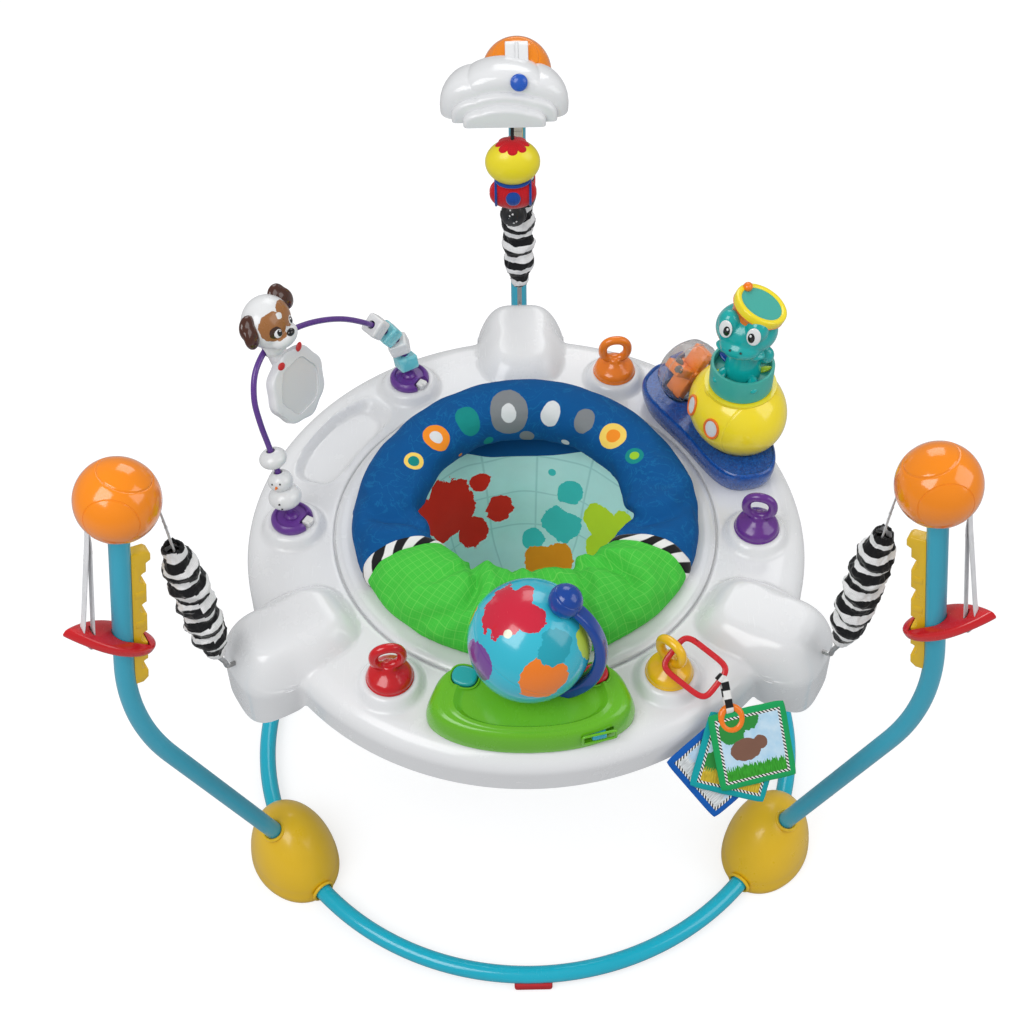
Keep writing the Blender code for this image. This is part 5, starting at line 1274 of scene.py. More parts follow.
slider_spot = bent([(BASE_HALF[0] * 0.90, 0.064)], CONSOLE_REACH)[0]
slider_frame = (globe_station @ at((slider_spot[0] - STATION, slider_spot[1], 0.015))
                @ Matrix.Rotation(0.064 / CONSOLE_REACH, 4, "Z"))
console = placed(skin(console_rows()), turned_to(270, (0, 0, DECK_TOP + 0.0003)))
room = placed(seamed_ball(GLOBE + 0.0015, (), 96), globe_axis)
pin_room = placed(tube_along([(0, 0, -0.078), (0, 0, -0.055)], 0.0038, 20), globe_axis)
slider_room = placed(pillow(superellipse(0.0054, 0.0176, 8.0, 72), [(-0.010, 0), (0.012, 0)]),
                     slider_frame @ spun(90, "Y"))
tools = [room, bracket(0.0003), pin_room, slider_room]
for side in (-1, 1):
    hole = pillow(superellipse(0.0123, 0.0148, 2.4, 60), [(-0.0153, 0), (0.02, 0)])
    tools.append(placed(hole, button_frame(side)))
console = carved(console, *tools)
trims = []
for side in (-1, 1):
    rim_line = [button_frame(side) @ Vector((x, y, 0.0004))
                for x, y in superellipse(0.0137, 0.0162, 2.4, 72)]
    trims.append((loop_along(rim_line, 0.0013, 10), leaf_green))
lip_line = [slider_frame @ Vector((0.0042, y, z)) for y, z in superellipse(0.0188, 0.0066, 8.0, 72)]
trims.append((loop_along(lip_line, 0.0016, 12), leaf_green))
show("globe_console", gathered((console, leaf_green), *trims), "tray", instead=["globe_base"],
     smooth=32.0)


# Console buttons and slider: teal and crimson push caps with soft edges, and a ribbed blue knob.

teal_cap = moulded("teal cap", (0.010, 0.36, 0.36), 0.25, 0.5)
crimson_cap = moulded("crimson cap", (0.56, 0.006, 0.02), 0.25, 0.5)
CAP_LEVELS = [(-0.012, 0.0), *((0.0050 - 0.0024 * (1 - math.sin(t)), 0.0024 * (1 - math.cos(t)))
                               for t in np.linspace(0, math.pi / 2, 7)), (0.0054, 0.0045), (0.0053, 0.0075)]
for side, name, slot, finish in ((-1, "left", "teal_plastic", teal_cap),
                                 (1, "right", "red_plastic", crimson_cap)):
    cap = pillow(superellipse(0.0115, 0.0140, 2.4, 72), CAP_LEVELS)
    show(f"console_button_{name}", placed(cap, button_frame(side)), f"globe_button_{name}", finish,
         [f"globe_button_{name}"], 40.0)

slider_cyan = moulded("slider plastic", (0.020, 0.42, 0.56), 0.3, 0.4)
knob = softened(brick((0.012, 0.016, 0.0078), (-0.0014, 0, 0)), 0.0012, 3)
ribs = [(softened(brick((0.0014, 0.0011, 0.0066), (0.0046, shift, 0)), 0.0004, 2), slider_cyan)
        for shift in (-0.0045, -0.0015, 0.0015, 0.0045)]
show("volume_knob", placed(gathered((knob, slider_cyan), *ribs), slider_frame), "volume_switch",
     instead=["volume_switch"])


# Globe: a hollow cyan ball in two snapped halves, printed with bright land masses. It turns on two
# pins in a blue half-round arm with a round knob at its top.

tree, given, result = node_group(
    "printed patch",
    [("Under", "Color", (1, 1, 1, 1)), ("Patch", "Color", (1, 0, 0, 1)), ("Place", "Vector", None),
     ("Centre", "Vector", (0, 0, 0)), ("Stretch", "Vector", (1, 1, 1)), ("Radius", "Float", 0.03),
     ("Ragged", "Float", 0.02), ("Ragged Size", "Float", 40.0)],
    [("Colour", "Color")])
shift = node(tree, "VectorMath", {0: given["Place"], 1: given["Centre"]}, operation="SUBTRACT")
scaled = node(tree, "VectorMath", {0: shift, 1: given["Stretch"]}, operation="MULTIPLY")
away = node(tree, "VectorMath", {0: scaled}, operation="LENGTH")
coast = noisy(tree, given["Place"], given["Ragged Size"], 5.0, roughness=0.6)
wave = maths(tree, "ADD", coast, -0.5)
wave = maths(tree, "MULTIPLY_ADD", wave, given["Ragged"], away.outputs["Value"])
reach = maths(tree, "SUBTRACT", given["Radius"], wave)
mask = ranged(tree, reach, (-0.00018, 0.00018))
mix = mixed(tree, mask, given["Under"], given["Patch"])
tree.links.new(mix, result["Colour"])


def printed(tree, ground, place, patches, ragged_size=40.0):
    """Ragged patches of colour on a ground. Each is a colour, a centre, a radius, a raggedness
    and a stretch."""
    for tint, centre, radius, ragged, stretch in patches:
        values = {"Under": ground, "Patch": (*tint, 1), "Place": place, "Centre": centre,
                  "Stretch": stretch, "Radius": radius, "Ragged": ragged, "Ragged Size": ragged_size}
        ground = node(tree, "Group", values,
                      node_tree=bpy.data.node_groups["printed patch"]).outputs["Colour"]
    return ground


def world_map(tree):
    right, up, near = Vector((1, 0, 0)), Vector((0, 0.805, 0.593)), Vector((0, -0.593, 0.805))
    middle = globe_axis.translation
    crimson, plum, orange = (0.58, 0.012, 0.040), (0.16, 0.045, 0.28), (0.85, 0.20, 0.010)
    teal, lime, cream = (0.010, 0.34, 0.44), (0.50, 0.66, 0.060), (0.70, 0.72, 0.55)
    spots = [(crimson, -0.42, 0.52, 0.0, 0.031, 0.060), (crimson, 0.02, 0.36, 0, 0.017, 0.040),
             (crimson, -0.10, 0.70, 0, 0.014, 0.045),
             (plum, -0.84, -0.34, 0, 0.022, 0.034), (orange, 0.22, -0.62, 0, 0.026, 0.036),
             (teal, 0.40, -0.10, 0, 0.020, 0.050), (lime, 0.90, -0.02, 0, 0.021, 0.034),
             (cream, -0.35, 0.10, 0, 0.0045, 0.010), (orange, -0.98, 0.45, 0, 0.014, 0.024),
             (crimson, 0.55, 0.62, -1, 0.026, 0.034), (teal, -0.42, 0.40, -1, 0.023, 0.030),
             (plum, 0.30, -0.35, -1, 0.024, 0.030), (orange, -0.55, -0.40, -1, 0.020, 0.028),
             (lime, 0.80, -0.50, -1, 0.018, 0.024)]
    patches = []
    for tint, u, v, back, radius, ragged in spots:
        w = math.sqrt(max(0.0, 1 - min(1.0, u * u + v * v)))
        aim = (right * u + up * v + near * (-w if back else w)).normalized()
        patches.append((tint, tuple(middle + aim * GLOBE), radius, ragged, (1, 1, 1)))
    return printed(tree, (0.030, 0.46, 0.60, 1), object_place(tree), patches, 30.0)


globe_print = moulded("printed globe plastic", world_map, 0.20, 0.6, 0.02, (200.0, 0.04))
arm_blue = moulded("royal blue plastic", (0.002, 0.050, 0.30), 0.20, 0.6, 0.03)
ball = seamed_ball(GLOBE, (90,), 128, 0.0005, 0.7)
pins = [tube_along([(0, 0, end * 0.0555), (0, 0, end * 0.070)], 0.0038, 24) for end in (-1, 1)]
show("globe_ball", placed(carved(ball, *pins), globe_axis), "globe", globe_print, ["globe"],
     30.0)

arm = placed(skin(bracket_rows()), BRACKET_TURN)
knob = placed(seamed_ball(0.0185, (62,), 64, 0.0006, 2.0), at((0, 0, GLOBE + 0.0105)))
arm = carved(carved(arm, knob, operation="UNION"), seamed_ball(GLOBE + 0.0016, (), 96))
axle = [tube_along([(0, 0, end * 0.0566), (0, 0, end * 0.072)], 0.003, 24) for end in (-1, 1)]
arm = gathered((arm, arm_blue), *((rod, arm_blue) for rod in axle))
show("globe_bracket", placed(arm, globe_axis), "tray", instead=["globe_arm"],
     smooth=32.0)


# Submarine base: a royal blue trough with a pebbled skin and a glossy rolled edge, which follows
# the seat. The hull and the drum sit down into it, and a lug at its end carries the drum's pin.

def pebbled(tree):
    place = object_place(tree)
    wave = noisy(tree, place, 330.0, 2.0, distortion=1.2)
    mask = ranged(tree, wave, (0.42, 0.62))
    return mixed(tree, mask, (0.003, 0.050, 0.26, 1), (0.008, 0.105, 0.44, 1))


trough_blue = moulded("pebbled blue plastic", pebbled, 0.26, 0.5, 0.03, (330.0, 0.75))
sub_station = turned_to(30, (STATION, 0, DECK_TOP))
HULL = (0.014, -0.022, 0.068)
HULL_SIZE = (0.057, 0.065, 0.055)
DRUM = (0.0065, 0.068, 0.058)


def hull_ball(grow=0.0, seams=(68, 122), depth=0.010):
    """The hull's egg, its poles towards bow and drum."""
    egg = seamed_ball(1.0, seams, 128, depth, 0.8)
    sizes = [size + grow for size in (HULL_SIZE[0], HULL_SIZE[2], HULL_SIZE[1])]
    return placed(egg, sub_station @ at(HULL) @ spun(-90, "X") @ Matrix.Diagonal((*sizes, 1)))


def drum_line(margin=0.0):
    radius, half = 0.040 + margin, 0.021 + margin
    side = [(0.0001, -half), (radius * 0.45, -half), (radius * 0.80, -half * 0.985),
            (radius * 0.93, -half * 0.76), (radius, -half * 0.28)]
    return [*side, *((reach, -height) for reach, height in reversed(side))]


drum_frame = sub_station @ at(DRUM) @ spun(-90, "X")
trough = []
for share, size in ((0, 0.93), (0.18, 0.957), (0.35, 0.98), (0.55, 0.993), (0.75, 1.0), (0.88, 0.9985),
                    (0.96, 0.993), (1.0, 0.983), (1.03, 0.968), (1.02, 0.952), (0.99, 0.942), (0.985, 0.90),
                    (0.985, 0.6), (0.985, 0.3), (0.985, 0.02)):
    flat = [(x * size, y * size) for x, y in superellipse(0.0475, 0.111, 2.8, 150)]
    trough.append([(*spot, share * 0.032) for spot in bent(flat, STATION + 0.0037)])
trough = placed(skin(trough), turned_to(31.8, (0, 0, DECK_TOP + 0.0003)))
lug = placed(softened(brick((0.022, 0.0078, 0.052), (DRUM[0], 0.096, 0.038)), 0.003, 3), sub_station)
drum_room = placed(lathe(drum_line(0.0016), 72, 1), drum_frame)
bore = placed(tube_along([(0, 0, -0.016), (0, 0, 0.036)], 0.0033, 20), drum_frame)
trough = carved(carved(trough, lug, operation="UNION"), hull_ball(0.0006, ()), drum_room, bore)
show("submarine_base", trough, "tray", trough_blue, ["sub_base"], 32.0)


# Submarine hull: a lemon yellow egg in three snapped shells, with a neck for the turning collar,
# a small scoop, and two white oval windows in orange rims on the seat's side.

lemon = moulded("lemon plastic", (0.92, 0.73, 0.022), 0.20, 0.55, 0.03, (170.0, 0.05))
window_white = moulded("window plastic", (0.72, 0.73, 0.74), 0.25, 0.5)
rim_orange = moulded("orange rim plastic", (0.84, 0.17, 0.008), 0.25, 0.5)
over_neck = sub_station @ at((HULL[0], HULL[1], 0))
neck = placed(lathe(((0.0001, 0.070), (0.0395, 0.070), (0.0398, 0.082), (0.0405, 0.096), (0.0428, 0.1085),
                     (0.0430, 0.1112), (0.0420, 0.1150), (0.0001, 0.1152)), 128, 2), over_neck)
ear = placed(ringed_ball((0.0085, 0.0155, 0.0060)), sub_station @ at(HULL) @ at((-0.0345, 0.004, 0.0405))
             @ spun(-32, "Y") @ spun(14, "Z"))
spigot_room = placed(tube_along([(0, 0, 0.0995), (0, 0, 0.13)], 0.0088, 32), over_neck)
top_room = placed(tube_along([(0, 0, 0.1115), (0, 0, 0.15)], 0.060, 48), over_neck)
hull = carved(carved(hull_ball(), neck, ear, operation="UNION"), spigot_room, top_room, bore)


def window_frame(spot):
    """Where a window lies flat on the hull, at a spot given from the hull's middle."""
    spot = Vector(spot)
    out = Vector([spot[axis] / HULL_SIZE[axis] ** 2 for axis in range(3)]).normalized()
    return (sub_station @ at(Vector(HULL) + spot * 0.996) @ facing_along(out))


windows = []
for spot in ((-0.0519, 0.0234, 0.0113), (-0.0537, -0.0193, 0.0086)):
    here = window_frame(spot)
    pane = pillow(superellipse(0.0088, 0.0118, 2.0, 64), [(-0.003, 0), (0.0002, 0), (0.0007, 0.0008),
                                                          (0.0010, 0.0025), (0.0011, 0.0045)])
    rim_line = [here @ Vector((x, y, 0.0001)) for x, y in superellipse(0.0099, 0.0130, 2.0, 72)]
    windows += [(placed(pane, here), window_white), (loop_along(rim_line, 0.0016, 12), rim_orange)]
show("submarine_hull", gathered((hull, lemon), *windows), "tray", instead=["sub_hull"],
     smooth=30.0)


# Rattle drum: two clear shells clipped at a rim, which spin on a pin. Orange paddles and dark
# beads tumble inside.

clear = bpy.data.materials.new("clear plastic")
tree = emptied(clear)
haze = noisy(tree, object_place(tree), 90.0, 3.0)
rough = ranged(tree, haze, to=(0.02, 0.10))
tint = ranged(tree, haze, to=(0.90, 0.98))
pale = node(tree, "CombineColor", {0: tint, 1: tint, 2: tint})
shader = node(tree, "BsdfPrincipled", {"Base Color": pale, "Roughness": rough,
                                       "Transmission Weight": 0.96, "IOR": 1.14, "Coat Weight": 0.3})
node(tree, "OutputMaterial", {"Surface": shader})
outer = drum_line()[1:-1]
inner = [(reach - 0.0013, height * 0.93) for reach, height in reversed(outer)]
shell = lathe([(0.0034, -0.021), *outer, (0.0034, 0.021), (0.0034, 0.0195), *inner, (0.0034, -0.0195)],
              96, 1, wrap=True)
rim_line = [polar(0.0398, 5 * k, 0) for k in range(72)]
seam = loop_along(rim_line, 0.0009, 10)
paddle_orange = moulded("orange paddle plastic", (0.92, 0.22, 0.004), 0.3, 0.2)
bead_grey = moulded("dark bead plastic", (0.10, 0.085, 0.08), 0.25, 0.4)
inside = []
for k in range(4):
    blade = softened(brick((0.030, 0.0125, 0.026), (0.0195, 0, 0)), 0.0024, 3)
    inside.append((placed(blade, spun(90 * k + 38, "Z")), paddle_orange))
inside.append((tube_along([(0, 0, -0.0165), (0, 0, 0.0165)], 0.0085, 32), paddle_orange))
inside.append((tube_along([(0, 0, -0.0150), (0, 0, 0.0330)], 0.0030, 20), bead_grey))
for k, (reach, azimuth, height, radius) in enumerate(((0.026, 100, 0.008, 0.0062),
                                                      (0.031, 84, -0.006, 0.0056),
                                                      (0.024, 232, 0.004, 0.0060),
                                                      (0.031, 222, -0.008, 0.0055),
                                                      (0.026, 340, 0.006, 0.0058),
                                                      (0.030, 352, -0.006, 0.0054))):
    inside.append((placed(ringed_ball((radius,) * 3, 6, 0.06, 32, 16), at(polar(reach, azimuth, height))),
                   bead_grey))
show("rattle", placed(gathered((shell, clear), (seam, clear), *inside), drum_frame), "rattle_drum",
     instead=["rattle_drum"], smooth=32.0)


# Turtle: a teal collar that turns on the hull's neck, with a moulded toy turtle standing in it. Its
# sailor's cap is orange with a yellow rim, and its eyes are painted, each with a small painted highlight.

teal = moulded("teal plastic", (0.004, 0.40, 0.39), 0.20, 0.6, 0.03, (170.0, 0.05))
collar_teal = moulded("satin teal plastic", (0.050, 0.40, 0.34), 0.42, 0.1, 0.03)
cap_orange = moulded("orange cap plastic", (0.86, 0.19, 0.006), 0.24, 0.5)
cap_yellow = moulded("yellow cap plastic", (0.88, 0.72, 0.020), 0.22, 0.5)
eye_white = moulded("eye white", (0.78, 0.79, 0.80), 0.15, 0.7, 0.01)
eye_black = moulded("eye black", (0.006, 0.006, 0.007), 0.12, 0.8, 0.01)
lime = moulded("lime plastic", (0.42, 0.62, 0.02), 0.3, 0.4)
turtle_frame = sub_station @ at((HULL[0], HULL[1], 0.1118)) @ spun(215, "Z")


def moulded_body(parts, voxel=0.0011, passes=8):
    """One smooth body grown over overlapping parts."""
    bm = bmesh.new()
    for mesh in parts:
        bm.from_mesh(mesh)
    whole = bpy.data.meshes.new("body")
    bm.to_mesh(whole)
    bm.free()
    return worked(whole, ("REMESH", {"mode": "VOXEL", "voxel_size": voxel}),
                  ("SMOOTH", {"factor": 0.6, "iterations": passes}))


def egg(size, place, turn=(0, 0, 0), steps=40, count=24):
    tilt = spun(turn[2], "Z") @ spun(turn[1], "Y")
    tilt = tilt @ spun(turn[0], "X")
    return placed(ringed_ball(size, 0, 0, steps, count), at(place) @ tilt)


cup = lathe([(0.0001, 0.0001), (0.0370, 0.0001), (0.0380, 0.0012), (0.0380, 0.0310), (0.0374, 0.0323),
             (0.0350, 0.0325), (0.0342, 0.0318), (0.0338, 0.0205), (0.0001, 0.0200)], 96, 1)
spigot = tube_along([(0, 0, -0.010), (0, 0, 0.002)], 0.008, 32)
neck = lathe(((0.0001, 0.018), (0.0205, 0.0185), (0.0215, 0.028), (0.0190, 0.040), (0.0155, 0.052),
              (0.0145, 0.062), (0.0150, 0.074), (0.0001, 0.076)), 64, 3)
head = moulded_body([egg((0.034, 0.0365, 0.0275), (0.003, 0, 0.091)),
                     egg((0.0205, 0.0245, 0.0140), (0.0235, 0, 0.081)),
                     egg((0.0125, 0.0135, 0.0165), (0.0205, -0.0165, 0.109)),
                     egg((0.0125, 0.0135, 0.0165), (0.0205, 0.0165, 0.109)),
                     egg((0.0145, 0.0300, 0.0065), (0.0205, 0, 0.0715)),
                     egg((0.009, 0.011, 0.012), (0.005, 0.026, 0.060))])
face = [(head, teal), (cup, collar_teal), (spigot, collar_teal), (neck, teal)]

# Eyes, nostrils and feet, each on both sides: a size, a place, a tilt and a turn, and a finish.
# The third row, a tiny white dot on each pupil, is a painted highlight.
TURTLE_PAIRS = (((0.0022, 0.0082, 0.0112), (0.0332, 0.0168, 0.1085), (-14, 12), eye_white),
                ((0.0012, 0.0044, 0.0066), (0.0352, 0.0150, 0.1080), (-14, 10), eye_black),
                ((0.0006, 0.0013, 0.0017), (0.0360, 0.0138, 0.1110), (-14, 10), eye_white),
                ((0.0014, 0.0014, 0.0014), (0.0425, 0.0065, 0.0868), (0, 0), eye_black),
                ((0.0120, 0.0065, 0.0050), (0.0210, 0.0205, 0.0225), (18, 20), teal))
for side in (-1, 1):
    face += [(egg(size, (x, side * y, z), (0, tilt, side * turn)), finish)
             for size, (x, y, z), (tilt, turn), finish in TURTLE_PAIRS]
LEAVES = ((1.9, lime), (2.6, cap_yellow), (3.5, lime), (4.4, arm_blue), (-0.9, lime), (0.9, arm_blue))
leaves = [(egg((0.0110, 0.0045, 0.0026), (0.0245 * math.cos(t), 0.0245 * math.sin(t), 0.0225),
               (0, -24, math.degrees(t))), finish) for t, finish in LEAVES]
hat = at((-0.001, 0.002, 0.0985)) @ spun(22, Vector((-0.91, -0.42, 0)))
band = lathe(((0.0001, -0.010), (0.0215, -0.010), (0.0245, -0.002), (0.0262, 0.006), (0.0288, 0.016),
              (0.0305, 0.0215), (0.0001, 0.0225)), 72, 3)
rim = lathe(((0.0255, 0.0200), (0.0308, 0.0200), (0.0322, 0.0215), (0.0324, 0.0275), (0.0312, 0.0298),
             (0.0272, 0.0300), (0.0255, 0.0288)), 72, 2, wrap=True)
crown = lathe(((0.0001, 0.0230), (0.0262, 0.0230), (0.0264, 0.0284), (0.0001, 0.0292)), 72, 1)
tuft = egg((0.0062, 0.0056, 0.0056), (-0.0110, -0.0235, 0.0310))
cap = ((band, cap_orange), (rim, cap_yellow), (crown, collar_teal), (tuft, cap_orange))
face += leaves + [(placed(mesh, hat), finish) for mesh, finish in cap]
show("turtle_turret", placed(gathered(*face), turtle_frame), "turtle", instead=["turtle"],
     smooth=38.0)


# Wire arch: one bent steel rod in purple plastic skin, with a half-moon socket at each end. A small
# white catch beside each socket snaps it to the tray's mound.

purple_skin = moulded("purple rod skin", (0.115, 0.040, 0.27), 0.26, 0.4, 0.04)
socket_purple = moulded("purple socket plastic", (0.125, 0.035, 0.27), 0.3, 0.3)
catch_white = moulded("catch plastic", (0.70, 0.70, 0.69), 0.4, 0.1)
arch_station = turned_to(150, (STATION, 0, DECK_TOP))
ARCH_SPAN, ARCH_RISE, ARCH_INSET = 0.2694, 0.209, 0.0306
ARCH_SHAPE = ((0, 0.01), (0.015, 0.144), (0.035, 0.335), (0.046, 0.502), (0.054, 0.670), (0.078, 0.823),
              (0.148, 0.947), (0.275, 1.0), (0.416, 0.957), (0.564, 0.871), (0.713, 0.746), (0.839, 0.598),
              (0.943, 0.440), (1.006, 0.278), (1.019, 0.134), (1, 0.01))


def arch_line(spans):
    lean = math.radians(15)
    places = []
    for share, high in ARCH_SHAPE:
        along, rise = share * ARCH_SPAN, high * ARCH_RISE
        places.append(Vector((rise * math.sin(lean) - ARCH_INSET, ARCH_SPAN / 2 - along,
                              MOUND + rise * math.cos(lean))))
    return curve_through(places, spans)


def seat_on_wire(share):
    """The spot and direction of the wire at a share of its length, in the station."""
    line = arch_line(2)
    run = [0.0]
    for first, then in zip(line, line[1:]):
        run.append(run[-1] + (then - first).length)
    wanted = share * run[-1]
    index = max(k for k in range(len(run) - 1) if run[k] < wanted)
    first, then = line[index], line[index + 1]
    spot = first.lerp(then, (wanted - run[index]) / (run[index + 1] - run[index]))
    return spot, (then - first).normalized()


wire = tube_along(arch_line(8), 0.0035, 24)
sockets = []
for side in (-1, 1):
    disc = lathe([(0.0001, 0), (0.0246, 0), (0.0250, 0.0008), (0.0250, 0.0046), (0.0238, 0.0068),
                  (0.0213, 0.0096), (0.0205, 0.0100), (0.0188, 0.0096), (0.0172, 0.0074),
                  (0.0001, 0.0070)], 96, 1)
    notch = brick((0.020, 0.020, 0.02), (-0.0235, -side * 0.004, 0.008))
    disc = carved(disc, softened(notch, 0.003, 3))
    boss = lathe([(0.0001, 0.0060), (0.0085, 0.0060), (0.0078, 0.0095), (0.0055, 0.0118),
                  (0.0001, 0.0120)], 48, 1)
    catch = softened(brick((0.0100, 0.0120, 0.0080), (-0.0205, -side * 0.004, 0.0042)), 0.0016, 3)
    notch_clip = softened(brick((0.0060, 0.0060, 0.0052), (-0.0250, -side * 0.004, 0.0075)), 0.0012, 3)
    foot = at((-ARCH_INSET, side * ARCH_SPAN / 2, MOUND))
    sockets += [(placed(disc, foot), socket_purple), (placed(boss, foot), socket_purple),
                (placed(catch, foot), catch_white), (placed(notch_clip, foot), catch_white)]
arch = gathered((wire, purple_skin), *sockets)
show("arch_rod", placed(arch, arch_station), "tray", instead=["arch_wire"],
     smooth=32.0)


# Beads on the arch: a flat snow bead and a two-ball snowman on the left leg, and white and icy
# blocks in turn on the right. Each is moulded round a bore that runs loose on the rod.

bead_white = moulded("white bead plastic", (0.74, 0.75, 0.76), 0.22, 0.5, 0.02, (160.0, 0.05))
ice = bpy.data.materials.new("icy plastic")
tree = emptied(ice)
place = object_place(tree)
swirl = noisy(tree, place, 70.0, 3.0, distortion=1.5)
tone = ranged(tree, swirl, (0.35, 0.65))
tint = mixed(tree, tone, (0.20, 0.72, 0.82, 1), (0.42, 0.88, 0.93, 1))
rough = ranged(tree, swirl, to=(0.08, 0.30))
shader = node(tree, "BsdfPrincipled",
              {"Base Color": tint, "Roughness": rough, "Transmission Weight": 0.35, "Coat Weight": 0.5})
node(tree, "OutputMaterial", {"Surface": shader})
BORE = 0.0053


def on_wire(share):
    spot, along = seat_on_wire(share)
    return arch_station @ at(spot) @ facing_along(along)


rod_room = tube_along([(0, 0, -0.04), (0, 0, 0.05)], BORE, 24)
low = ringed_ball((0.0200, 0.0200, 0.0150), 0, 0, 72, 40)
body = carved(carved(low, egg((0.0150, 0.0150, 0.0130), (0, 0, 0.023), steps=72, count=40),
                     operation="UNION"), rod_room)
look = on_wire(0.058).to_3x3().inverted() @ Vector((-0.25, -0.9, 0.35))
look = math.degrees(math.atan2(look.y, look.x))
dots = [(egg((0.0014, 0.0014, 0.0012), polar(reach, look + turn, height)), eye_black)
        for reach, turn, height in ((0.0198, 0, 0.002), (0.0189, 4, -0.005))]
dots += [(egg((0.0011, 0.0011, 0.0013), polar(0.0144, look + turn, 0.0265)), eye_black)
         for turn in (-20, 20)]
dots.append((placed(tube_along([(0, 0, 0), (0, 0, 0.0012), (0, 0, 0.0050)], [0.0019, 0.0017, 0.0004], 16),
                    at(polar(0.0142, look, 0.0228)) @ spun(look, "Z") @ spun(90, "Y")), rim_orange))
show("snowman_bead", placed(gathered((body, bead_white), *dots), on_wire(0.058)), "snowman",
     instead=["snowman"], smooth=35.0)
flat = carved(ringed_ball((0.0165, 0.0165, 0.01155), 0, 0, 72, 40), rod_room)
show("snow_disc", placed(flat, on_wire(0.158)), "snow_bead", bead_white, ["snow_bead"],
     35.0)
for name, share in (("white_block_upper", 0.800), ("ice_block_upper", 0.853), ("white_block_lower", 0.904),
                    ("ice_block_lower", 0.955)):
    cube = softened(brick((0.0252, 0.0252, 0.0189)), 0.0036, 5)
    icy = name.startswith("ice")
    if not icy:
        groove = [(x, y, 0) for x, y in superellipse(0.0130, 0.0130, 7.0, 64)]
        cube = carved(cube, loop_along(groove, 0.0007, 10))
    show(f"{name}_bead", placed(carved(cube, rod_room), on_wire(share)), name, ice if icy else bead_white,
         [name], 35.0)


# Puppy and mirror: a white puppy's head with a soft brown mask turns on the rod, moulded in one
# with the mirror's pearly frame below it. The mirror is film behind a flat plate, back and front.

spot, along = seat_on_wire(0.43)
PUPPY = (arch_station @ at(spot) @ Matrix.Rotation(math.atan2(-along.x, along.y), 4, "Z")
         @ spun(-20, "Y"))
head_place = PUPPY @ at((0.015, 0, 0.034))


def puppy_print(tree):
    """A brown mask with a pale blaze, and one eye ringed darker."""
    white, tan, dark = (0.74, 0.75, 0.76), (0.33, 0.135, 0.040), (0.055, 0.022, 0.012)
    spots = ((tan, (0.026, -0.016, 0.004), 0.0190, 0.0060), (tan, (0.026, 0.013, 0.006), 0.0170, 0.0060),
             (white, (0.028, -0.0015, 0.012), 0.0060, 0.0050),
             (dark, (0.0245, -0.0165, -0.0035), 0.0085, 0.0040))
    patches = [(tint, head_place @ Vector(spot), radius, ragged, (1, 1, 1))
               for tint, spot, radius, ragged in spots]
    return printed(tree, (*white, 1), object_place(tree), patches, 150.0)


fur = moulded("printed puppy plastic", puppy_print, 0.28, 0.4, 0.01, (160.0, 0.06))
ear_brown = moulded("dark ear plastic", (0.065, 0.020, 0.011), 0.16, 0.7, 0.03)
pearl = moulded("pearly plastic", (0.70, 0.71, 0.73), 0.24, 0.5, 0.03, (120.0, 0.05))
petal_red = moulded("red oval print", (0.60, 0.020, 0.020), 0.3, 0.4)
puppy = moulded_body([egg((0.0265, 0.0315, 0.0295), (0.0140, 0, 0.0350)),
                      egg((0.0150, 0.0200, 0.0125), (0.0290, 0, 0.0150)),
                      egg((0.0170, 0.0240, 0.0130), (0.0180, 0, 0.0185)),
                      egg((0.0090, 0.0090, 0.0150), (0.0300, 0, 0.0280)),
                      egg((0.0140, 0.0160, 0.0130), (0.0060, 0, 0.0000))])
puppy = carved(puppy, tube_along([(0, -0.05, 0), (0, 0.05, 0)], BORE + 0.0012, 24))
parts = [(puppy, fur)]
# Eyes: a white, a black pupil, and a tiny white dot on each pupil that is a painted highlight.
PUPPY_EYES = (((0.0022, 0.0052, 0.0058), (0.0368, 0.0128, 0.0285), 24, eye_white),
              ((0.0014, 0.0034, 0.0042), (0.0384, 0.0122, 0.0285), 22, eye_black),
              ((0.0006, 0.0010, 0.0011), (0.0397, 0.0112, 0.0305), 0, eye_white))
for side in (-1, 1):
    ear = moulded_body([egg((0.0070, 0.0140, 0.0150), (0.0160, side * 0.0300, 0.0480), (side * 35, 0, 0)),
                        egg((0.0055, 0.0120, 0.0150), (0.0200, side * 0.0350, 0.0400),
                            (side * 20, 0, 0))], 0.0012, 12)
    parts.append((ear, ear_brown))
    parts += [(egg(size, (x, side * y, z), (0, 0, side * turn)), finish)
              for size, (x, y, z), turn, finish in PUPPY_EYES]
parts.append((egg((0.0040, 0.0058, 0.0042), (0.0425, 0, 0.0205)), eye_black))
MIRROR_AT = at((0.010, 0, -0.057))


def scalloped(half_x, half_y, depth, lobes, phase=0.0, rise=0.0):
    """An oval outline with shallow lobes."""
    outline = []
    for k in range(168):
        turn = math.radians(k * 360 / 168)
        reach = 1 + depth * math.cos(lobes * turn + phase)
        outline.append((half_x * math.cos(turn) * reach, rise + half_y * math.sin(turn) * reach))
    return outline


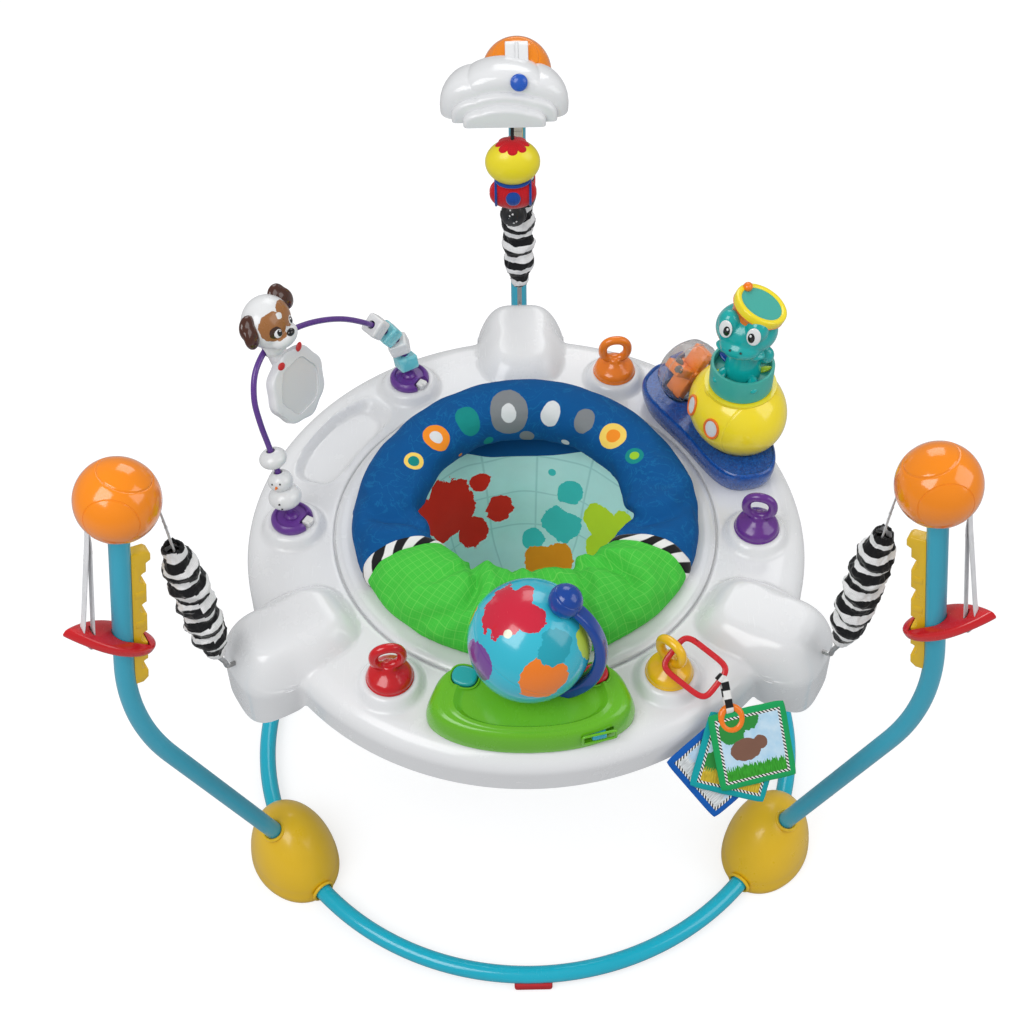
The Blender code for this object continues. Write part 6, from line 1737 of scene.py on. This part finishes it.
plate = pillow(scalloped(0.0468, 0.0425, 0.030, 8), [(-0.0060, 0.0022), (-0.0052, 0.0006), (-0.0035, 0),
                                                     (0.0035, 0), (0.0052, 0.0006), (0.0060, 0.0022),
                                                     (0.0062, 0.0045)])
upright = Matrix(((0, 0, 1, 0), (1, 0, 0, 0), (0, 1, 0, 0), (0, 0, 0, 1)))
window = scalloped(0.0330, 0.0295, 0.045, 6, 0.6, -0.0015)
for low, high in ((-0.0075, -0.0045), (0.0045, 0.0075)):
    plate = carved(plate, pillow([(x * 1.04, y * 1.04) for x, y in window], [(low, 0), (high, 0)]))
parts.append((placed(plate, MIRROR_AT @ upright), pearl))
hanger = softened(brick((0.0130, 0.0240, 0.0240), (0.0060, 0, -0.0120)), 0.004, 3)
parts.append((carved(hanger, tube_along([(0, -0.05, 0), (0, 0.05, 0)], BORE + 0.0012, 24)), pearl))
for y, z in ((-0.0123, -0.0205), (0.0249, -0.0215)):
    parts.append((egg((0.0012, 0.0062, 0.0044), (0.0161, y, z), (-18 if y < 0 else 18, 0, 0)), petal_red))
# Mirror film: part true metal reflection, part painted reflection. The pale white base shows as diffuse
# colour and stands in for the bright room the mirror reflects.
silver = bpy.data.materials.new("mirror film")
tree = emptied(silver)
wave = noisy(tree, object_place(tree), 16.0, 2.0)
rough = ranged(tree, wave, to=(0.26, 0.36))
bump = node(tree, "Bump", {"Height": wave, "Strength": 0.10, "Distance": 0.002})
shader = node(tree, "BsdfPrincipled",
              {"Base Color": (0.86, 0.87, 0.90, 1), "Metallic": 0.4, "Roughness": rough, "Normal": bump})
node(tree, "OutputMaterial", {"Surface": shader})
for side in (-1, 1):
    rise = side * 0.0046
    film = pillow(window, [(rise - 0.0003, 0), (rise + 0.0003, 0)])
    parts.append((placed(film, MIRROR_AT @ upright), silver))
show("puppy_and_mirror", placed(gathered(*parts), PUPPY), "puppy_mirror", instead=["puppy_mirror"],
     smooth=35.0)


# Link: a red moulded rounded square with a flat section. One corner has a stepped slit, which
# springs open over the tray's yellow loop.

link_red = moulded("red link plastic", (0.62, 0.012, 0.020), 0.25, 0.4, 0.04, (160.0, 0.05))
LOOP = turned_to(0, polar(STATION, 304.3, DECK_TOP + MOUND + 0.038 - 0.0031)).translation
LINK_SIDE = Vector((0.63, 0.60, 0.49)).normalized()
fall = Vector((0.62, -0.70, -0.52))
LINK_FALL = (fall - LINK_SIDE * fall.dot(LINK_SIDE)).normalized()
LINK_NORMAL = LINK_SIDE.cross(LINK_FALL)
route = superellipse(0.0225, 0.030, 5, 96)
rows = []
for k, (x, y) in enumerate(route):
    ahead = Vector(route[(k + 1) % len(route)]) - Vector(route[k - 1])
    out = (LINK_SIDE * ahead.y - LINK_FALL * ahead.x).normalized()
    middle = LOOP + LINK_SIDE * (x + 0.004) + LINK_FALL * (y + 0.030)
    rows.append([middle + out * u * 0.0034 + LINK_NORMAL * v * 0.0034
                 for u, v in superellipse(1, 1, 3.2, 20)])
link = skin(rows, wrap=True)
turn = Matrix((LINK_SIDE, LINK_FALL, LINK_NORMAL)).transposed().to_4x4()
for x, y, size, rise in ((0.0265, 0.0100, (0.008, 0.0012, 0.0030), 0.0026),
                         (0.0285, 0.0130, (0.0012, 0.006, 0.0040), -0.0026)):
    place = at(LOOP + LINK_SIDE * x + LINK_FALL * y)
    link = carved(link, placed(brick(size, (0, 0, rise)), place @ turn @ spun(20, "Z")))
show("link", link, "link_ring", link_red, ["link_ring"], 35.0)


# Book: three padded cloth cards, printed with plain landscapes inside a rope edging and bound in
# green, teal and blue. They hang from a chunky orange ring, which a folded striped ribbon ties to
# the link.

CARD_HALF, CARD_THICK = 0.0437, 0.0062
knot = LOOP + LINK_SIDE * 0.012 + LINK_FALL * 0.060
facing = Vector((0.12, -0.74, 0.66)).normalized()
across = Vector((0, 0, 1)).cross(facing).normalized()
turn = Matrix((across, facing.cross(across), facing)).transposed()
BOOK = at(knot) @ turn.to_4x4()
fan = turn.inverted() @ Vector((0.010, -0.032, -0.030))


def card_print(border, sky, ground, patches):
    """Draws one card's face: a border, a rope edging, and a sky over rough ground."""
    def pattern(tree):
        place = node(tree, "UVMap").outputs[0]
        part = node(tree, "SeparateXYZ", {0: place})
        size = [maths(tree, "ABSOLUTE", part.outputs[axis]).outputs[0] for axis in (0, 1)]
        reach = maths(tree, "MAXIMUM", size[0], size[1]).outputs[0]
        soft = noisy(tree, place, 90.0, 4.0, noise_dimensions="2D")
        haze = mixed(tree, soft, (*sky, 1), (0.62, 0.76, 0.86, 1))
        blades = node(tree, "Mapping", {"Vector": place, "Scale": (700.0, 120.0, 1.0)})
        grass = noisy(tree, blades, 1.0, 3.0, noise_dimensions="2D")
        tone = mixed(tree, grass, (*[value * 0.45 for value in ground], 1),
                     (*[min(1, value * 1.7) for value in ground], 1))
        rise = maths(tree, "MULTIPLY_ADD", grass, 0.016, part.outputs[1])
        high = ranged(tree, rise, (-0.012, -0.0105))
        first = printed(tree, haze, place, patches, 150.0)
        scene_part = mixed(tree, high, tone, first)
        slope = maths(tree, "ADD", part, part.outputs[1])
        wave = maths(tree, "MULTIPLY", slope, 1500.0)
        twist = maths(tree, "SINE", wave)
        rope = ranged(tree, twist, (-0.15, 0.15))
        edge = mixed(tree, rope, (0.015, 0.015, 0.017, 1), (0.80, 0.80, 0.78, 1))
        inside = ranged(tree, reach, (0.0337, 0.0340))
        outside = ranged(tree, reach, (0.0367, 0.0370))
        framed = mixed(tree, inside, scene_part, edge)
        return mixed(tree, outside, framed, (*border, 1))
    return pattern


def card_mesh(bend, seed, steps=56):
    """A soft square with a seamed edge, a little bent and rumpled. Its UV map is its own plan."""
    rows = []
    for v in np.sin(np.linspace(-math.pi / 2 * 0.96, math.pi / 2 * 0.96, steps)):
        row = []
        for u, side in [(u, 1) for u in np.sin(np.linspace(-math.pi / 2, math.pi / 2, steps))] + [
                (u, -1) for u in np.sin(np.linspace(math.pi / 2, -math.pi / 2, steps))[1:-1]]:
            x = CARD_HALF * u * (1 - 0.030 * abs(v) ** 8)
            y = CARD_HALF * v / math.sin(math.pi / 2 * 0.96) * (1 - 0.030 * abs(u) ** 8)
            swell = ((1 - abs(u) ** 9) * (1 - abs(v) ** 9)) ** 0.5
            rumple = noise.noise(Vector((x * 60, y * 60, seed))) * 0.0011 + bend * (u * u - 0.3)
            rumple += 0.5 * bend * u * v
            pucker = 0.0004 * math.sin(260 * (x + y * 0.3)) * max(abs(u), abs(v)) ** 6
            row.append((x, y, side * CARD_THICK / 2 * swell + rumple + pucker))
        rows.append(row)
    mesh = skin(rows)
    layer = mesh.uv_layers["UVMap"]
    for loop in mesh.loops:
        layer.data[loop.index].uv = mesh.vertices[loop.vertex_index].co.xy
    return mesh


grove, stone = (0.030, 0.26, 0.050), (0.20, 0.10, 0.070)
CARDS = (((0.020, -0.034, 4.0), (0.012, 0.34, 0.10), (0.33, 0.58, 0.78), (0.035, 0.30, 0.025),
          ((grove, (-0.020, 0.022, 0), 0.0155, 0.012, (1, 1, 1)),
           (grove, (-0.002, 0.029, 0), 0.0100, 0.012, (0.7, 1, 1)),
           (stone, (-0.008, -0.002, 0), 0.0140, 0.004, (0.8, 1.1, 1)),
           (stone, (0.009, 0.003, 0), 0.0080, 0.003, (1, 1, 1)))),
         ((0.003, -0.046, -22.0), (0.006, 0.33, 0.36), (0.38, 0.60, 0.80), (0.50, 0.36, 0.030),
          ((grove, (-0.022, -0.012, 0), 0.0140, 0.012, (1, 1, 1)),
           (grove, (0.010, 0.026, 0), 0.0120, 0.012, (1, 1, 1)))),
         ((-0.016, -0.053, -57.0), (0.006, 0.10, 0.42), (0.30, 0.50, 0.75), (0.55, 0.58, 0.62), ()))
for layer, ((x, y, angle), border, sky, ground, patches) in enumerate(CARDS):
    cover = woven(f"card cloth {layer + 1}", card_print(border, sky, ground, patches), 2600.0, 0.25, 0.03,
                  0.15)
    lie = at(fan + Vector((x, y, -layer * 0.0056))) @ spun(angle, "Z")
    card = card_mesh((0.0012, -0.0008, 0.0015)[layer], 3.0 + layer)
    card = show(f"book_card_{layer + 1}", placed(card, BOOK @ lie), "book", cover,
                ["book"] if layer == 0 else (), 60.0)

ring_orange = moulded("orange ring plastic", (0.88, 0.20, 0.006), 0.25, 0.5, 0.04, (160.0, 0.05))
ring = loop_along([fan + Vector((math.cos(t) * 0.0115, math.sin(t) * 0.0128, 0)) for t in around(72)],
                  0.0040, 20)
show("card_ring", placed(ring, BOOK), "book", ring_orange, (), 50.0)


def ribbon_print(tree):
    run = node(tree, "SeparateXYZ", {0: node(tree, "UVMap")})
    wave = maths(tree, "MULTIPLY", run.outputs[1], 330.0)
    swing = maths(tree, "SINE", wave)
    mask = ranged(tree, swing, (-0.1, 0.1))
    return mixed(tree, mask, (0.014, 0.014, 0.016, 1), (0.76, 0.76, 0.75, 1))


striped = woven("striped ribbon", ribbon_print, 2400.0, 0.4, 0.05, 0.3)
link_line = turn.inverted() @ LINK_SIDE
hang = (fan - link_line * fan.dot(link_line)).normalized()
sideways = link_line.cross(hang)
to_ring = Vector((fan.x, fan.y, 0)).normalized()
hitch = fan - to_ring * 0.0120
cross = Vector((0, 0, 1)).cross(to_ring)
cross *= math.copysign(1, cross.dot(link_line))
route = [(hang * math.cos(a) + sideways * math.sin(a)) * 0.0054
         for a in np.radians((50, 100, 150, 210, 260, 310))]
sign = math.copysign(1, route[-1].z)
route += [route[-1].lerp(hitch, 0.55) + Vector((0, 0, sign * 0.0030)),
          hitch + Vector((0, 0, sign * 0.0052)), hitch + to_ring * 0.0054,
          hitch - Vector((0, 0, sign * 0.0052)), route[0].lerp(hitch, 0.55)
          - Vector((0, 0, sign * 0.0030))]
route = curve_through([*route, route[0]], 10)[:-1]
rows = []
for k, point in enumerate(route):
    ahead = (route[(k + 1) % len(route)] - route[k - 1]).normalized()
    wide = link_line.lerp(cross, min(1.0, point.length / hitch.length))
    wide = (wide - ahead * wide.dot(ahead)).normalized()
    thin = ahead.cross(wide)
    rows.append([point + wide * u * 0.0042 + thin * v * 0.0005 for u, v in superellipse(1, 1, 4, 12)])
ribbon = show("ribbon", placed(skin(rows, wrap=True), BOOK), "book", striped, (), 60.0)


# Seat ring: a white moulded channel that turns in the tray's opening. It holds the cloth's cord
# under its inner lip.

ring_white = moulded("seat ring plastic", (0.73, 0.745, 0.76), 0.24, 0.5, 0.02, (150.0, 0.06))
profile = [(0.1980, 0.4517), (0.2108, 0.4517), (0.2120, 0.4524), (0.2120, 0.4562), (0.2112, 0.4567),
           (0.2058, 0.4567), (0.2052, 0.4573), (0.2052, 0.4612), (0.2058, 0.4618), (0.2262, 0.4618),
           (0.2275, 0.4624), (0.2277, 0.4646), (0.2270, 0.4664), (0.2252, 0.4678), (0.2225, 0.4687),
           (0.2195, 0.4688), (0.2160, 0.4683), (0.2110, 0.4682), (0.2060, 0.4687), (0.1992, 0.4688),
           (0.1980, 0.4680)]
show("seat_channel", placed(lathe(profile, 240, 1, wrap=True), turned_to(0)), "seat", ring_white,
     ["seat_ring"], 30.0)


# Seat collar: a royal blue padded collar, high at the back, with soft creases at its sides. A
# gathered green roll closes its front, bound at both ends in striped tape. Foam fills both.

FLOOR, COLLAR_OUT, COLLAR_IN, COLLAR_MIDDLE = 0.4691, 0.207, 0.122, 0.166
ROLL_EDGE = math.radians(25)
CREASES = ((-121, 0.0150, 4.0), (-135, 0.0060, 3.0), (-104, 0.0080, 3.2), (-84, 0.0060, 3.6),
           (-66, 0.0100, 3.4), (-52, 0.0150, 4.0), (-38, 0.0070, 3.0), (-6, 0.0110, 5.0),
           (9, 0.0030, 5.0), (180, 0.0090, 6.0), (-168, 0.0045, 5.0), (148, 0.0022, 6.0),
           (34, 0.0025, 7.0), (62, 0.0018, 5.0), (112, 0.0018, 5.0))


def creased(azimuth, section):
    """How far the creases pull the cloth in, most on the inner side and over the top."""
    pull = 0.0
    for middle, depth, width in CREASES:
        away = (math.degrees(azimuth) - middle - 7 * math.sin(2.2 * section + middle) + 180) % 360 - 180
        reach = max(0.0, math.sin(section * 0.5 + 0.35)) ** 1.5
        ridge = math.exp(-(away / width) ** 2) - 0.45 * math.exp(-((away - 1.9 * width) / width) ** 2)
        pull += depth * ridge * reach
    return pull


def collar_rows(count=300, steps=72):
    rows = []
    for k in range(count):
        t = -math.pi + math.tau * k / count
        back, front = max(0.0, math.sin(t)), max(0.0, -math.sin(t))
        inner = COLLAR_IN + 0.012 * back ** 1.5 - 0.034 * front
        dip = 0.14 * math.exp(-((front - 0.42) / 0.09) ** 2)
        rise = (0.040 + 0.019 * back ** 2 + 0.002 * front) * (1 - dip)
        middle, half = (COLLAR_OUT + inner) / 2, (COLLAR_OUT - inner) / 2
        row = []
        for j in range(steps):
            s = math.tau * j / steps
            sine, cosine = math.sin(s), math.cos(s)
            lift = max(0.0, 0.30 + 0.70 * math.copysign(abs(sine) ** 0.8, sine))
            bulge = half * math.copysign(abs(cosine) ** 0.8, cosine)
            in_by = creased(t, s)
            rumple = noise.noise(Vector((7 * math.cos(t), 7 * math.sin(t), 3 * s))) * 0.0016 * (1 + front)
            puck = 0.0011 * front ** 2 * math.sin(46 * t + 3 * sine) * max(0.0, sine) ** 0.5
            reach = middle + bulge - 0.05 * back * lift * rise - cosine * (in_by - rumple - puck)
            row.append(polar(reach, math.degrees(t), FLOOR
                             + lift * (rise - max(0.0, sine) * (in_by - rumple - puck))))
        rows.append(row)
    return rows


def puffed(mesh, cap=0.005):
    """The same cloth after a light inflation, no point further than the cap from where it was."""
    before = [vertex.co.copy() for vertex in mesh.vertices]
    body = linked("puffed", mesh)
    cloth = body.modifiers.new("cloth", "CLOTH")
    cloth.settings.use_pressure = True
    cloth.settings.uniform_pressure_force = 4.0
    cloth.settings.quality = 5
    cloth.settings.tension_stiffness = cloth.settings.compression_stiffness = 12.0
    cloth.settings.effector_weights.gravity = 0.0
    pinned = body.vertex_groups.new(name="pinned")
    pinned.add([vertex.index for vertex in mesh.vertices if vertex.co.z < FLOOR + 0.004], 1.0, "REPLACE")
    cloth.settings.vertex_group_mass = "pinned"
    cloth.collision_settings.use_collision = False
    scene = bpy.context.scene
    for frame in range(1, 21):
        scene.frame_set(frame)
    reached = body.evaluated_get(bpy.context.evaluated_depsgraph_get()).to_mesh()
    for vertex, rest, moved in zip(mesh.vertices, before, reached.vertices):
        step = moved.co - rest
        vertex.co = rest + step.normalized() * min(cap, step.length)
    body.evaluated_get(bpy.context.evaluated_depsgraph_get()).to_mesh_clear()
    scene.frame_set(1)
    bpy.data.objects.remove(body)
    return mesh


def ray_tree(mesh):
    """A mesh made ready for rays."""
    return BVHTree.FromPolygons([vertex.co for vertex in mesh.vertices],
                                [face.vertices for face in mesh.polygons])


def collar_plan(mesh):
    """A UV map in metres round the seat and round the collar's section."""
    layer = mesh.uv_layers.get("UVMap") or mesh.uv_layers.new(name="UVMap")
    for face in mesh.polygons:
        first = None
        for index in face.loop_indices:
            spot = mesh.vertices[mesh.loops[index].vertex_index].co
            t = math.atan2(spot.y, spot.x)
            s = math.atan2(spot.z - FLOOR - 0.018, math.hypot(spot.x, spot.y) - COLLAR_MIDDLE)
            if first is None:
                first = (t, s)
            t += math.tau * round((first[0] - t) / math.tau)
            s += math.tau * round((first[1] - s) / math.tau)
            layer.data[index].uv = (t * COLLAR_MIDDLE, s * 0.034)


def round_the_seat(tree):
    """The place, its parts, and the azimuth round the seat, as values."""
    place = object_place(tree)
    part = node(tree, "SeparateXYZ", {0: place})
    back = maths(tree, "ADD", part.outputs[1], -AXIS_Y)
    turn = maths(tree, "ARCTAN2", back, part)
    return place, part, turn.outputs[0]


def collar_print(tree):
    """Royal blue with a faint watery print, lime crosshatch on the roll, and pale motifs."""
    place, part, turn = round_the_seat(tree)
    ripple = noisy(tree, place, 26.0, 5.0, distortion=2.2)
    vein = maths(tree, "SUBTRACT", ripple, 0.5)
    near = maths(tree, "ABSOLUTE", vein)
    vein = ranged(tree, near, (0.0, 0.018), to=(0.40, 0.0))
    blue = mixed(tree, vein, (0.0006, 0.082, 0.270, 1), (0.01, 0.20, 0.44, 1))
    weave = node(tree, "UVMap").outputs[0]
    lines = node(tree, "SeparateXYZ", {0: weave})
    marks = []
    for axis, pitch in ((0, 640.0), (1, 640.0), (0, 2240.0), (1, 2240.0)):
        run = maths(tree, "MULTIPLY", lines.outputs[axis], pitch)
        wave = maths(tree, "SINE", run)
        low, top = (0.94, 0.34) if pitch < 1000 else (0.75, 0.12)
        marks.append(ranged(tree, wave, (low, 1.0), to=(0.0, top)).outputs[0])
    first = maths(tree, "MAXIMUM", marks[0], marks[1])
    second = maths(tree, "MAXIMUM", marks[2], marks[3])
    mark = maths(tree, "MAXIMUM", first, second)
    green = mixed(tree, mark, (0.055, 0.52, 0.050, 1), (0.28, 0.78, 0.16, 1))
    off = maths(tree, "ADD", turn, math.pi / 2)
    aside = maths(tree, "ABSOLUTE", off)
    roll = maths(tree, "LESS_THAN", aside, math.pi / 2 - ROLL_EDGE)
    under = mixed(tree, roll, blue, green)
    return printed(tree, under, place, MOTIFS)


grey, cream, ink = (0.20, 0.215, 0.23), (0.66, 0.68, 0.70), (0.015, 0.015, 0.018)
here = Vector((0, AXIS_Y, 0))
sea_print, tan_print, leaf_print = (0.006, 0.24, 0.22), (0.84, 0.26, 0.02), (0.30, 0.55, 0.03)
straw_print = (0.86, 0.60, 0.12)
PEBBLES = ((grey, cream, 97, 0.027), (sea_print, straw_print, 118, 0.019), (tan_print, cream, 136, 0.018),
           (cream, ink, 76, 0.018), (grey, ink, 59, 0.017), (straw_print, tan_print, 43, 0.017),
           (sea_print, leaf_print, 27, 0.012), (straw_print, sea_print, 153, 0.012))
MOTIFS = tuple((tint, tuple(here + polar(reach, azimuth, height)), size, size * 0.2, (1, 1, 1))
               for outer, inner, turn, wide in PEBBLES
               for tint, azimuth, reach, height, size in (
                   (outer, turn, 0.150, 0.508, wide), (inner, turn, 0.150, 0.508, wide * 0.6),
                   (outer, turn - 9, 0.136, 0.481, wide * 0.36)))
collar_cloth = woven("collar cloth", collar_print, 2300.0, 0.35, 0.04, 0.0)


def tape_print(tree):
    place, part, turn = round_the_seat(tree)
    back = maths(tree, "ADD", part.outputs[1], -AXIS_Y)
    plan = node(tree, "CombineXYZ", {0: part, 1: back})
    reach = node(tree, "VectorMath", {0: plan}, operation="LENGTH")
    out = maths(tree, "SUBTRACT", reach.outputs[1], COLLAR_MIDDLE)
    up = maths(tree, "SUBTRACT", part.outputs[2], FLOOR + 0.012)
    round_it = maths(tree, "ARCTAN2", up, out)
    skewed = maths(tree, "MULTIPLY_ADD", turn, 5.0, round_it)
    fast = maths(tree, "MULTIPLY", skewed, 7.0)
    wave = maths(tree, "SINE", fast)
    mask = ranged(tree, wave, (-0.12, 0.12))
    return mixed(tree, mask, (0.012, 0.012, 0.014, 1), (0.78, 0.78, 0.77, 1))


tape = woven("striped tape", tape_print, 2400.0, 0.4, 0.05)
collar = skin(collar_rows(), wrap=True)
collar = worked(collar, ("REMESH", {"mode": "VOXEL", "voxel_size": 0.0045}))
collar = worked(puffed(collar), ("SUBSURF", {"levels": 1, "render_levels": 1}))
collar_plan(collar)
from_air = ray_tree(collar)
tapes = []
for edge in (-25, -155):
    rows = []
    for swing, lift in ((-2.3, -0.0006), (-2.2, 0.0008), (-1.4, 0.0016), (0, 0.0019), (1.4, 0.0016),
                        (2.2, 0.0008), (2.3, -0.0006)):
        row = []
        for j in range(120):
            s = math.tau * j / 120
            lean = edge + swing + 2.0 * math.sin(s) * (1 if edge > -90 else -1)
            front = max(0.0, -math.sin(math.radians(lean)))
            heart = polar((COLLAR_OUT + COLLAR_IN - 0.034 * front) / 2, lean, FLOOR + 0.012)
            aim = polar(math.cos(s), lean, math.sin(s))
            spot = from_air.ray_cast(heart, aim)[0]
            row.append(spot + aim * lift if spot else heart + aim * 0.02)
        rows.append(row)
    tapes.append((skin(rows + [[point.lerp(Vector(polar(0.165, edge, FLOOR + 0.012)), 0.06)
                                for point in row] for row in rows[::-1]], wrap=True), tape))
pad = show("seat_collar", placed(gathered((collar, collar_cloth), *tapes), turned_to(0)), "seat",
           instead=["seat_pad"], smooth=70.0)


# Seat sling: a soft aqua bucket sewn of gores, with two bound leg holes. It hangs from the ring,
# and is printed inside with a faint net of lines and ragged lands.

SLING_RIM, SLING_TOP, SLING_DEPTH = 0.1966, 0.4686, 0.2026
SLING_SHAPE = ((0.02, 0.985), (0.20, 0.985), (0.43, 0.965), (0.57, 0.895), (0.65, 0.820), (0.70, 0.67),
               (0.735, 0.52), (0.785, 0.37), (0.835, 0.24), (0.91, 0.14), (0.985, 0.065), (1.0, 0.0))


def sling_print(tree):
    """Pale aqua with gore lines and rings, and lands at their places round the bucket."""
    place, part, turn = round_the_seat(tree)
    wash = noisy(tree, place, 14.0, 3.0)
    aqua = mixed(tree, wash, (0.50, 0.92, 0.90, 1), (0.66, 0.97, 0.93, 1))
    marks = []
    for value, pitch in ((turn, 14.0), (part.outputs[2], 125.0)):
        run = maths(tree, "MULTIPLY", value, pitch)
        wave = maths(tree, "SINE", run)
        marks.append(ranged(tree, wave, (0.985, 1.0), to=(0.0, 0.35)).outputs[0])
    mark = maths(tree, "MAXIMUM", marks[0], marks[1])
    lined = mixed(tree, mark, aqua, (0.10, 0.45, 0.45, 1))
    landed = printed(tree, lined, place, LANDS, 30.0)
    sine = maths(tree, "SINE", turn)
    back = maths(tree, "MAXIMUM", sine, 0.0)
    steep = maths(tree, "POWER", back, 3.0)
    line = maths(tree, "MULTIPLY_ADD", steep, -0.056, 0.4700)
    high = maths(tree, "GREATER_THAN", part.outputs[2], line)
    backed = mixed(tree, high, landed, (0.0006, 0.082, 0.270, 1))
    return printed(tree, backed, place, MOTIFS)


red, sea = (0.80, 0.030, 0.015), (0.06, 0.62, 0.60)
lime_print, amber = (0.62, 0.86, 0.03), (0.92, 0.33, 0.015)
PATCHES = ((red, 132, 0.148, 0.370, 0.042, 0.30), (red, 104, 0.140, 0.342, 0.020, 0.40),
           (red, 121, 0.134, 0.318, 0.024, 0.36), (red, 112, 0.152, 0.388, 0.014, 0.44),
           (red, 150, 0.152, 0.390, 0.030, 0.30), (sea, 66, 0.147, 0.371, 0.018, 0.42),
           (sea, 69, 0.135, 0.324, 0.026, 0.40), (sea, 84, 0.122, 0.296, 0.015, 0.42),
           (lime_print, 45, 0.142, 0.352, 0.027, 0.28), (lime_print, 42, 0.130, 0.308, 0.022, 0.30),
           (lime_print, 30, 0.145, 0.370, 0.022, 0.30), (amber, 71, 0.099, 0.280, 0.023, 0.30),
           (sea, 76, 0.155, 0.395, 0.0062, 0.10))
LANDS = tuple((tint, tuple(here + polar(reach, azimuth, height)), size, size * ragged * 3.5,
               (0.6 if tint == amber else 1, 1, 1))
              for tint, azimuth, reach, height, size, ragged in PATCHES)
sling_cloth = woven("sling cloth", sling_print, 2300.0, 0.3, 0.04)
binding = woven("aqua binding", (0.10, 0.50, 0.50), 2300.0, 0.4, 0.05)


def sling_row(share, down, inset, steps=144):
    row = []
    for k in range(steps):
        t = math.tau * k / steps
        sag = 0.0028 * math.cos(12 * t) * math.sin(math.pi * min(1.0, down)) + 0.0018 * noise.noise(
            Vector((5 * math.cos(t), 5 * math.sin(t), 6 * down)))
        row.append(polar(max(0.0005, share * SLING_RIM - inset + sag * (1 - down)), math.degrees(t),
                         SLING_TOP - down * SLING_DEPTH + (inset if down > 0.9 else 0)))
    return row


line = curve_through([(share, down, 0) for share, down in SLING_SHAPE], 4)
bucket = skin([sling_row(point.x, point.y, 0) for point in line]
              + [sling_row(point.x, point.y, 0.0016) for point in reversed(line)], wrap=True,
              around_size=math.tau * 0.16)
leg_rims = []
for azimuth in (-52, -128):
    slope = at((0, 0, SLING_TOP - 0.203 + 0.075)) @ spun(112, "Y")
    spin = spun(azimuth, "Z")
    bore_leg = placed(tube_along([(0, 0, 0.02), (0, 0, 0.30)], 0.046, 64), spin @ slope)
    shell = ray_tree(bucket)
    rim = []
    for k in range(96):
        t = math.tau * k / 96
        start = spin @ slope @ Vector((0.0475 * math.cos(t), 0.0475 * math.sin(t), 0.02))
        aim = (spin @ slope).to_3x3() @ Vector((0, 0, 1))
        rim.append(shell.ray_cast(start, aim)[0] or start + aim * 0.11)
    leg_rims.append((bore_leg, loop_along(rim, 0.0026, 12)))
for bore_leg, edging in leg_rims:
    bucket = carved(bucket, bore_leg)
sling = gathered((bucket, sling_cloth), *((edging, binding) for bore_leg, edging in leg_rims))
sling = show("seat_bucket", placed(sling, turned_to(0)), "seat", instead=["seat_sling"],
             smooth=60.0)
